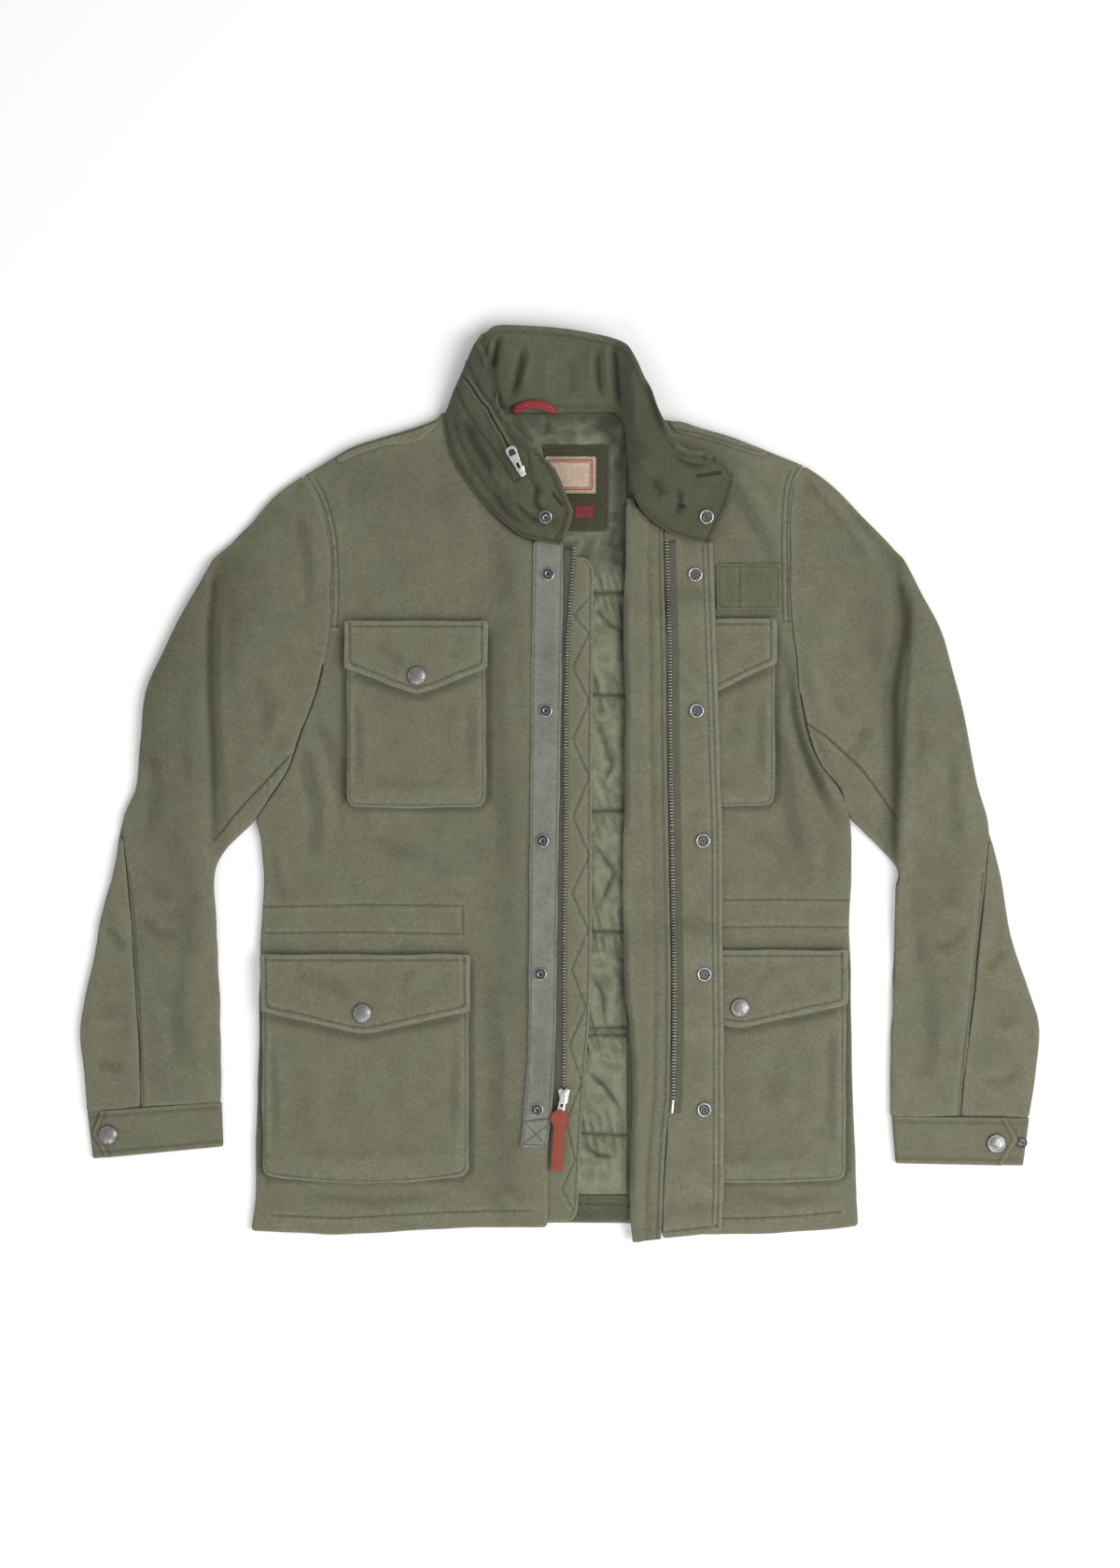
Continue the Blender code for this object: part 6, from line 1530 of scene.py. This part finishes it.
def zipTapePiece(name, node, line, reach):
    # columns run from the tape's sewn side to its corded edge: share of its width, height
    columns = [(0, 0), (0.01, 0.25), (0.05, 0.3), (0.3, 0.3), (0.6, 0.3), (0.8, 0.3), (0.88, 0.9), (0.93, 1.25),
               (0.965, 0.9), (1.0, 0.1)]
    sway = waves(zips["seed"], np.array([(0, p[1]) for p in line]), 18) * 0.25
    grid = []
    for i, (x, y, z) in enumerate(line):
        row = []
        for share, lift in columns:
            dx = reach[0] + (reach[1] - reach[0]) * share + (sway[i] if share > 0.6 else 0)
            row.append(((x + dx, y, z + 0.42 + lift), (x + dx, y, z + 0.02), (dx, y), 0.6 if share > 0.84 else 0.1,
                        0.4 if 0.9 < share < 0.95 else 0.0))
        grid.append(row)
    piece, _ = gridPiece(name, grid, "tapeWeave")
    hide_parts(node)
    length = float(np.sum(np.linalg.norm(np.diff(np.array(line), axis=0), axis=1)))
    declareSheet(piece, 14.9, length)  # the rest is sewn in, out of sight


def makeFrontZips():
    tooth = toothUnit()
    settings = {"Spacing": zips["pitch"] * mm, "Uneven": 0.05, "Seed": zips["seed"], "Turn": 0.0,
                "Size": (zips["toothLong"] * mm, zips["toothWide"] * mm, zips["toothTall"] * mm)}
    # left half: under the snap tape, teeth towards the opening
    left = spaced(zips["left"], 4.0)
    z = 12.6
    line = [(x, y, z) for x, y in [*left, *spaced([tuple(left[-1]), zips["leftEnd"]], 4.0)[1:]]]
    zipTapePiece("zipTapeLeft", "zip_left", sorted(line, key=lambda p: p[1]), (-14.0, 0.9))
    sway = waves(91, np.array([(0, y) for _, y in left]), 26) * 0.16
    leftTeeth = [(x + 0.2 + s, y, z + 0.35) for (x, y), s in zip(left, sway)]
    # right half: on the storm flap, teeth towards the facing
    storm = solidTree("storm_flap")
    low, high = zips["rightEnds"]
    line = []
    for y in np.arange(low + 1, high, 4.0):
        x = foldLine(2, y)
        line.append((x, y, heightsOn(storm, [(x + 3.3, y)])[0] + 0.45))
    heights = np.array([p[2] for p in line])
    heights = np.convolve(np.pad(heights, 2, mode="edge"), np.ones(5) / 5, "valid")
    line = [(x, y, float(h)) for (x, y, _), h in zip(line, heights)]
    zipTapePiece("zipTapeRight", "zip_right", line, (8.0, -0.9))
    rightTeeth = [(x - 0.1, y, h + 0.35) for x, y, h in line if y > low + 10]
    alongRuns("zipTeeth", [leftTeeth[::-1], rightTeeth[::-1]], tooth, settings, finishes["toothMetal"],
              smooth=False)
    # retaining pin at the right half's low end
    x, y, h = line[0]
    top = line[3]
    pin = tubeMesh([(x - 0.2, y, h + 1.3), (top[0] - 0.2, top[1], top[2] + 1.3)], 1.15, 10, flat=0.8)
    makeSolid("zipPin", [pin], ["brightMetal"])
    bpy.data.objects.remove(tooth)


def tubeMesh(points, radius, sides=12, flat=1.0, closed=False):  # closed tube of mm points
    points = np.array(points, float)
    ahead = np.roll(points, -1, 0) - np.roll(points, 1, 0)
    if not closed:
        ahead[0], ahead[-1] = points[1] - points[0], points[-1] - points[-2]
    ahead /= np.linalg.norm(ahead, axis=1)[:, None]
    side = np.cross(ahead, (0, 0, 1.0))
    side[np.linalg.norm(side, axis=1) < 0.05] = (1, 0, 0)
    side /= np.linalg.norm(side, axis=1)[:, None]
    up = np.cross(side, ahead)
    verts, faces = [], []
    for p, s, u, r in zip(points, side, up, np.zeros(len(points)) + radius):
        for k in range(sides):
            angle = tau * k / sides
            verts.append(tuple(p + s * r * cos(angle) + u * r * flat * sin(angle)))
    rings = len(points)
    for i in range(rings if closed else rings - 1):
        low, top = i * sides, ((i + 1) % rings) * sides
        faces += [(low + k, low + (k + 1) % sides, top + (k + 1) % sides, top + k) for k in range(sides)]
    if not closed:
        faces += [tuple(range(sides)), tuple(range((rings - 1) * sides, rings * sides))]
    return verts, faces


def latheMesh(profile, middle, axis=(0, 0, 1), sides=40):  # closed solid of revolution, profile (radius, height)
    axis = Vector(axis).normalized()
    turn = Vector((0, 0, 1)).rotation_difference(axis)
    verts, faces, rings = [], [], []
    for radius, height in profile:
        if radius < 1e-6:
            rings.append([len(verts)])
            verts.append((0, 0, height))
        else:
            rings.append(list(range(len(verts), len(verts) + sides)))
            verts += [(radius * cos(tau * k / sides), radius * sin(tau * k / sides), height) for k in range(sides)]
    for a, b in zip(rings, rings[1:]):
        if len(a) == 1 and len(b) == 1:
            continue
        for k in range(sides):
            j = (k + 1) % sides
            if len(a) == 1:
                faces.append((a[0], b[k], b[j]))
            elif len(b) == 1:
                faces.append((a[k], a[j], b[0]))
            else:
                faces.append((a[k], a[j], b[j], b[k]))
    verts = [tuple(turn @ Vector(v) + Vector(middle)) for v in verts]
    return verts, faces


def anticlockwise(ring):
    ring = np.array(ring, float)
    turned = ring[:, 0] * np.roll(ring[:, 1], -1) - np.roll(ring[:, 0], -1) * ring[:, 1]
    return ring[::-1] if np.sum(turned) < 0 else ring


def plateMesh(outline, low, high, bevel, hole=None, steps=3):
    outline = anticlockwise(outline)
    inner = inwards(outline)
    rings = []
    for k in range(steps + 1):
        angle = pi / 2 * k / steps
        rings.append((outline + inner * bevel * (1 - sin(angle)), low + bevel * (1 - cos(angle))))
    for k in range(steps + 1):
        angle = pi / 2 * k / steps
        rings.append((outline + inner * bevel * (1 - cos(angle)), high - bevel * (1 - sin(angle))))
    verts = [(x, y, z) for ring, z in rings for x, y in ring]
    faces = []
    count = len(outline)
    for start in range(0, (len(rings) - 1) * count, count):
        for i in range(count):
            j = (i + 1) % count
            faces.append((start + i, start + j, start + count + j, start + count + i))
    top = (len(rings) - 1) * count
    if hole is None:
        faces += [tuple(range(count)), tuple(range(top, top + count))]
        return verts, faces
    hole = anticlockwise(hole)
    start, number = len(verts), len(hole)
    verts += [(x, y, z) for z in (low, high) for x, y in hole]
    edges = [(i, (i + 1) % number) for i in range(number)]
    faces += [(start + i, start + j, start + number + j, start + number + i) for i, j in edges]
    edges = [(i, (i + 1) % count) for i in range(count)] + [(count + i, count + j) for i, j in edges]
    for base, holeBase in ((0, start), (top, start + number)):  # both faces, each cut out round the hole
        ids = list(range(base, base + count)) + list(range(holeBase, holeBase + number))
        flat = [Vector(verts[i][:2]) for i in ids]
        rims = [list(range(count)), list(range(count, count + number))]
        made = geometry.delaunay_2d_cdt(flat, edges, rims, 2, 1e-6)
        for face in made[2]:
            centre = sum((made[0][i] for i in face), Vector((0, 0))) / 3
            if not insideOf(np.array([centre]), hole)[0]:
                faces.append(tuple(ids[made[3][i][0]] for i in face))
    return verts, faces


def makeSolid(name, parts, materials, body="garment", replaces=(), marks=None, sharp=35):
    # a part is (points, faces) or (points, faces, number of its material)
    verts, faces, slots = [], [], []
    for part in parts:
        start = len(verts)
        verts += [tuple(v) for v in part[0]]
        faces += [tuple(start + i for i in face) for face in part[1]]
        slots += [part[2] if len(part) > 2 else 0] * len(part[1])
    values = {key: [rule(v) for v in verts] for key, rule in marks.items()} if marks else None
    piece = newMesh(name, verts, faces, finishes[materials[0]], None, values, True)
    for extra in materials[1:]:
        piece.data.materials.append(finishes[extra])
    piece.data.polygons.foreach_set("material_index", slots)
    piece.data.set_sharp_from_angle(angle=radians(sharp))
    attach(piece, body)
    if replaces:
        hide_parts(*replaces)


makeFrontZips()


def softSign(value):  # for the outline of a slot with round ends
    return (1 if value > 0 else -1) * sqrt(abs(value))


def slotLine(wide, middle, reach):
    return [(wide * softSign(cos(t)), middle + reach * softSign(sin(t))) for t in np.linspace(0, tau, 25)[:-1]]


slider = {"place": (3.5, -286.0), "low": 13.8, "high": 18.2, "hinge": (3.5, -283.0, 19.6), "pull": 24.0,
          "head": (-0.5, -306.0), "tail": (-3.0, -354.0), "headRadius": 8.2, "halfWidth": 5.5}


def makeSlider():
    x, y = slider["place"]
    shape = curved([(-3.3, -7), (0, -7.4), (3.3, -7), (4.2, -1), (5.8, 5.6), (2.6, 7.0), (0, 5.0), (-2.6, 7.0),
                    (-5.8, 5.6), (-4.2, -1)], 0.7, True, 70)
    lower = plateMesh([(x + a, y + b) for a, b in shape], slider["low"], slider["low"] + 1.3, 0.4)
    upper = plateMesh([(x + a * 0.96, y + b * 0.98) for a, b in shape], slider["high"] - 1.5, slider["high"], 0.5)
    post = plateMesh([(x + a, y + b) for a, b in ((-1.2, 2.5), (1.2, 2.5), (1.6, 5.5), (-1.6, 5.5))],
                     slider["low"] + 0.8, slider["high"] - 0.8, 0.1)
    hx, hy, hz = slider["hinge"]
    arc = [(hx, hy + 2.3 * cos(radians(a)), hz + 2.3 * sin(radians(a))) for a in range(-36, 217, 18)]
    bridge = tubeMesh(arc, 0.62, 10)
    makeSolid("zipSlider", [lower, upper, post, bridge], ["brightMetal"], replaces=("zip_slider",))
    # pull tab with a long slot, narrower at its hinge
    lean = (slider["head"][0] - hx) / (slider["head"][1] - hy)
    shape = curved([(-2.2, 0.5), (0, 0.9), (2.2, 0.5), (2.7, -1.5), (3.1, -9), (3.7, -slider["pull"] + 1.5),
                    (2.6, -slider["pull"]), (-2.6, -slider["pull"]), (-3.7, -slider["pull"] + 1.5), (-3.1, -9),
                    (-2.7, -1.5)], 0.7, True, 80)
    shape, slot = ([(hx + a + lean * b, hy + b) for a, b in line] for line in (shape, slotLine(1.3, -7.2, 5.7)))
    tab = plateMesh(shape, hz - 0.8, hz + 0.8, 0.35, hole=slot)
    hinge = tubeMesh([(hx - 2.4, hy, hz), (hx + 2.4, hy, hz)], 0.8, 12)
    makeSolid("zipPullTab", [tab, hinge], ["brightMetal"], "front_pull", ("zip_pull",))
    # leather puller: a tongue whose upper end is folded over into a round head
    head, tail = np.array(slider["head"]), np.array(slider["tail"])
    radius, half, low, high = slider["headRadius"], slider["halfWidth"], hz + 1.2, hz + 3.6
    turns = (radians(a) for a in range(-47, 231, 12))
    disc = [tuple(head + (radius * cos(a), radius * sin(a))) for a in turns]
    tongue = [tuple(head + (-half, -4)), *(tuple(tail + (a * half, b)) for a, b in
              ((-1, 1), (-0.8, 0), (0.8, 0), (1, 1))), tuple(head + (half, -4))]
    makeSolid("leatherPuller", [plateMesh(disc, low, high, 0.55), plateMesh(tongue, low, high - 0.7, 0.5)],
              ["rustLeather"], "front_pull", ("leather_puller",),
              marks={"wear": lambda v: 0.5 if v[1] > head[1] - 10 and v[2] < high - 0.5 else 0.1})


makeSlider()


def hoodFrame(station, height):  # place over the collar's face, and the way out of it
    normal = upNormal(station, height)
    return collarPoint(station, height) + normal * (collar["wall"] / 2 + 0.4), normal


def turnedPart(part, centre, side, run, normal):
    verts = [tuple(centre + side * x + run * y + normal * z) for x, y, z in part[0]]
    return (verts, *part[1:])


def makeHoodPull():
    centre, normal = hoodFrame(*collar["slider"])
    above, _ = hoodFrame(*collar["pullTo"])
    run = above - centre
    run = run - normal * np.dot(run, normal)
    run /= np.linalg.norm(run)
    side = np.cross(run, normal)
    frameOf = (centre, side, run, normal)
    shape = curved([(-2.6, -5), (0, -5.3), (2.6, -5), (3.2, 0), (4.2, 3.6), (2, 4.2), (0, 3.2), (-2, 4.2),
                    (-4.2, 3.6), (-3.2, 0)], 0.6, True, 70)
    parts = [plateMesh(shape, 1.2, 3.2, 0.4), plateMesh([(x * 0.95, y * 0.95) for x, y in shape], 4.1, 5.4, 0.45),
             plateMesh([(-1.2, -2), (1.2, -2), (1.2, 2), (-1.2, 2)], 2.8, 4.6, 0.1)]
    arc = [(0, 2.2 * cos(radians(a)), 6.75 + 2.2 * sin(radians(a))) for a in range(-40, 221, 20)]
    parts.append(tubeMesh(arc, 0.55, 10))
    makeSolid("hoodSlider", [turnedPart(p, *frameOf) for p in parts], ["brightMetal"], replaces=("collar_slider",))
    shape = curved([(-2.0, -0.6), (0, -0.9), (2.0, -0.6), (2.8, 3), (3.7, 9), (4.7, 17), (5.0, 21), (3.6, 23.4),
                    (0, 24.2), (-3.6, 23.4), (-5.0, 21), (-4.7, 17), (-3.7, 9), (-2.8, 3)], 0.6, True, 80)
    tab = plateMesh(shape, 6.0, 7.5, 0.35, hole=slotLine(1.3, 5.0, 3.3))
    # sunk dark panel near the tab's free end
    panel = plateMesh(curved([(-2.9, 15.6), (2.9, 15.6), (3.3, 18.4), (2.2, 21), (0, 21.9), (-2.2, 21), (-3.3, 18.4)],
                             0.6, True), 7.3, 7.58, 0.08)
    makeSolid("hoodPullTab", [turnedPart(tab, *frameOf), turnedPart((*panel, 1), *frameOf)],
              ["brightMetal", "darkMetal"], "hood_pull", ("collar_pull",))


makeHoodPull()
coil = unitMesh("coilLink", *tubeMesh([(-0.5, 0, 0), (0, 0, 0.35), (0.5, 0, 0)], [0.1, 0.42, 0.1], 6))
alongRuns("hoodChain", [hoodChain], coil, {"Spacing": 1.3 * mm, "Uneven": 0.08, "Seed": 85, "Turn": pi / 2,
                                           "Size": (1.8 * mm, 1.3 * mm, 1.3 * mm)}, finishes["darkMetal"])
bpy.data.objects.remove(coil)
print("zips and pulls made")

snaps = {
    "cap": [(0, 3.42), (2.5, 3.38), (4.6, 3.2), (6.2, 2.86), (6.75, 2.62), (7.0, 2.5), (7.25, 2.6), (7.8, 2.62),
            (8.4, 2.2), (8.8, 1.4), (8.7, 0.6), (8.0, 0.05), (7.0, -0.8), (0, -0.8)],
    "stud": [(0, 2.3), (1.85, 2.4), (1.9, 3.5), (2.1, 4.0), (2.4, 4.08), (2.75, 3.8), (2.85, 3.2), (2.5, 2.3),
             (2.5, 1.4), (3.0, 1.0), (4.3, 0.92), (4.6, 1.2), (5.2, 1.3), (5.8, 0.95), (6.0, 0.45), (5.7, 0),
             (4.8, -0.8), (0, -0.8)],
    "socket": [(0, 0.6), (4.5, 0.62), (4.75, 1.6), (5.2, 1.98), (5.8, 2.08), (6.4, 1.78), (6.78, 1.1), (6.6, 0.3),
               (6.2, 0), (5.2, -0.8), (0, -0.8)],
    "sides": 40,
}


def makeSnap(name, node, kind, scale=1.0, middle=None, axis=(0, 0, 1)):
    low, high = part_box(node)
    if middle is None:
        middle = ((low[0] + high[0]) / 2 / mm, (low[1] + high[1]) / 2 / mm, low[2] / mm)
    profile = [(r * scale, h * scale) for r, h in snaps[kind]]
    parts = [latheMesh(profile, middle, axis, snaps["sides"])]
    turn = Vector((0, 0, 1)).rotation_difference(Vector(axis))

    def ringAt(radius, height, thick, wave=0.0):
        points = []
        for k in range(36):
            t = tau * k / 36
            r = (radius + wave * sin(4 * t)) * scale
            points.append(tuple(turn @ Vector((r * cos(t), r * sin(t), height * scale)) + Vector(middle)))
        return tubeMesh(points, thick * scale, 6, closed=True)

    if kind == "stud":
        parts.append((*latheMesh([(0, 2.5), (1.9, 2.6), (1.9, 2.4), (0, 2.4)], middle, axis, 24), 1))
        rim = [(2.62, 1.42), (3.6, 1.3), (5.0, 1.36), (5.0, 1.1), (2.62, 1.1)]
        parts.append((*latheMesh(rim, middle, axis, 36), 1))
    if kind == "socket":
        parts.append((*latheMesh([(0, 0.78), (4.5, 0.8), (4.5, 0.62), (0, 0.62)], middle, axis, 32), 1))
        parts.append(ringAt(3.0, 1.15, 0.5, 0.35))
        parts.append(ringAt(1.25, 1.0, 0.36))
    finish = "capMetal" if kind == "cap" else "ringMetal"
    makeSolid(name, parts, [finish, "darkMetal"], replaces=(node,), sharp=50)


for node in sorted(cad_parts):
    kind, _, rest = node.partition("_")
    if kind == "cap" or kind in ("stud", "socket") and rest.isdigit():
        makeSnap("snap" + kind.title() + rest.title().replace("_", ""), node, kind)
for node, kind in (("stud_collar", "stud"), ("socket_collar", "socket")):
    middle, out = hoodFrame(*collar[kind])
    makeSnap("collar" + kind.title(), node, kind, 1.0, tuple(middle), tuple(out))
makeSnap("cuffSmallStud", "stud_cuff_right", "stud", 0.6)
print("snaps made")

loop = {"feet": (-41, -7), "footY": 341.0, "footZ": 11.4, "reach": 7.2, "rise": 2.6, "radius": 3.5, "flat": 0.62,
        "steps": 48, "sides": 20}


def makeLoop():
    points = []
    for k in range(loop["steps"] + 1):
        angle = pi * k / loop["steps"]
        x = loop["feet"][0] + (loop["feet"][1] - loop["feet"][0]) * (1 - cos(angle)) / 2
        points.append((x, loop["footY"] + loop["reach"] * sin(angle), loop["footZ"] + loop["rise"] * sin(angle)))
    verts, faces = tubeMesh(points, loop["radius"], loop["sides"], flat=loop["flat"])
    lengths = np.concatenate([[0], np.cumsum(np.linalg.norm(np.diff(np.array(points), axis=0), axis=1))])
    uv = [(lengths[i] * mm, k / loop["sides"]) for i in range(len(points)) for k in range(loop["sides"])]
    # strands stand proud of the cord in a low braid
    lifted = []
    for i in range(len(points)):
        middle, twist = np.array(points[i]), lengths[i] * 1.9
        for k in range(loop["sides"]):
            v, turn = np.array(verts[i * loop["sides"] + k]), 3 * tau * k / loop["sides"]
            lifted.append(tuple(middle + (v - middle) * (1 + 0.07 * (sin(twist + turn) * sin(twist - turn)))))
    piece = newMesh("hangerLoop", lifted, faces, finishes["redBraid"], uv)
    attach(piece, "garment")
    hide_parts("hanging_loop")  # a short sewn loop, both ends fast in the seam


makeLoop()

smallLabel = {"left": 13.0, "right": 30.0, "low": 245.0, "high": 256.0, "height": 9.0, "wall": 0.5}


def makeSmallLabel():
    xs = np.linspace(smallLabel["left"], smallLabel["right"], 18)
    ys = np.linspace(smallLabel["low"], smallLabel["high"], 12)
    grid = []
    for y in ys:
        heights = [smallLabel["height"] + 0.25 * sin(x / 4) * sin(y / 5) ** 2 for x in xs]
        grid.append([((x, y, z), (x, y, z - smallLabel["wall"]), (x, y), 0.0,
                      0.6 if min(x - xs[0], xs[-1] - x, y - ys[0], ys[-1] - y) < 0.8 else 0.0)
                     for x, z in zip(xs, heights)])
    piece, tree = gridPiece("smallRedLabel", grid, "redLabel")
    declareSheet(piece, xs[-1] - xs[0], ys[-1] - ys[0])
    for inset in (2.1, 2.7):
        a, b, c, d = xs[0] + inset, xs[-1] - inset, ys[0] + inset, ys[-1] - inset
        threadOn(tree, [(a, c), (b, c), (b, d), (a, d), (a, c)], "pale", 1.0)


makeSmallLabel()

stitching = {  # spacing, length, width, turn, how uneven, thread
    "shell": (3.1, 2.5, 0.62, 0.0, 0.10, "shellThread"), "pale": (1.3, 1.1, 0.5, 0.0, 0.05, "paleThread"),
    "lining": (2.6, 2.1, 0.5, 0.0, 0.12, "liningThread"), "dark": (0.8, 2.4, 0.75, pi / 2, 0.12, "darkThread"),
    "red": (0.9, 1.1, 0.55, 0.0, 0.05, "redThread"), "tack": (0.75, 3.0, 0.75, pi / 2, 0.15, "shellThread"),
}


def stitchUnit():  # short capsule whose ends dip into the cloth
    verts = [(-0.5, 0, -0.35)]
    for x, radius, lift in ((-0.33, 0.4, 0.0), (0.0, 0.5, 0.12), (0.33, 0.4, 0.0)):
        verts += [(x, radius * cos(tau * k / 5), lift + radius * sin(tau * k / 5)) for k in range(5)]
    verts.append((0.5, 0, -0.35))
    faces = [(0, 1 + (k + 1) % 5, 1 + k) for k in range(5)]
    for ring in (1, 6):
        faces += [(ring + k, ring + (k + 1) % 5, ring + 5 + (k + 1) % 5, ring + 5 + k) for k in range(5)]
    faces += [(11 + k, 11 + (k + 1) % 5, 16) for k in range(5)]
    return unitMesh("oneStitch", verts, faces)


def sewAll():
    unit = stitchUnit()
    for number, ((group, body), runs) in enumerate(sorted(threadRuns.items())):
        gap, size, wide, turn, uneven, thread = stitching[group]
        settings = {"Spacing": gap * mm, "Size": (size * mm, wide * mm, wide * mm), "Turn": turn,
                    "Uneven": uneven, "Seed": 100 + number}
        runs = [run for run in runs if len(run) > 1]
        name = "sewing" + group.title() + body.title().replace("_", "")
        piece = alongRuns(name, runs, unit, settings, finishes[thread], body)
        print("sewing", group, body, len(runs), "runs", len(piece.data.polygons), "faces")
    bpy.data.objects.remove(unit)


fraying = {"count": 90, "low": -412.0, "high": -120.0, "long": (2.0, 6.5), "radius": 0.11, "seed": 95}


def makeFray():  # loose yarn ends along the folded edge
    chance = np.random.default_rng(fraying["seed"])
    parts = []
    for _ in range(fraying["count"]):
        y = fraying["low"] + (fraying["high"] - fraying["low"]) * chance.random() ** 1.2
        x = foldLine(1, y) + chance.uniform(0.4, 2.6)
        hit = foldTree.ray_cast(Vector((x, y, 200)), Vector((0, 0, -1)))[0]
        if hit is None:
            continue
        size = chance.uniform(*fraying["long"])
        angle = chance.uniform(0, tau)
        way = np.array([cos(angle) - 0.4, sin(angle), 0.0])
        curl = np.array([-way[1], way[0], 0]) * chance.uniform(-0.5, 0.5)
        points = [np.array(hit) + way * size * t + curl * size * t * t + (0, 0, 0.25 + 0.5 * sin(pi * t))
                  for t in (0, 0.35, 0.7, 1)]
        parts.append(tubeMesh(points, fraying["radius"], 4))
    makeSolid("looseThreads", parts, ["paleThread"], sharp=80)


makeFray()
sewAll()
print("sewn")

# floor and light
studio = {"floor": (0.9, 0.9, 0.9), "world": 0.62, "key": 48.5, "fill": 24.0}
bpy.ops.mesh.primitive_plane_add(size=12, location=(0, 0, -0.0003))
floor = bpy.context.object
floor.name = "studioFloor"
paper, _, paperShader = newMaterial("paper", 0.95, 0.0, 0.0, 0.1)
paperShader["Base Color"].default_value = (*studio["floor"], 1)
floor.data.materials.append(paper)
scene.view_settings.view_transform = "Standard"
world = bpy.data.worlds.new("studio")
scene.world = world
world.use_nodes = True
sky = world.node_tree.nodes["Background"].inputs
sky["Color"].default_value = (1, 1, 1, 1)
sky["Strength"].default_value = studio["world"]
for name, place, size, power in (("keyLight", (1.5, -0.3, 2.0), 2.0, studio["key"]),
                                 ("fillLight", (-0.3, -2.0, 1.8), 2.0, studio["fill"])):
    lamp = bpy.data.objects.new(name, bpy.data.lights.new(name, "AREA"))
    lamp.data.shape = "DISK"
    lamp.data.size = size
    lamp.data.energy = power
    lamp.location = place
    lamp.rotation_euler = (-Vector(place)).to_track_quat("-Z", "Y").to_euler()
    scene.collection.objects.link(lamp)
print("sheets:", sheetSizes)
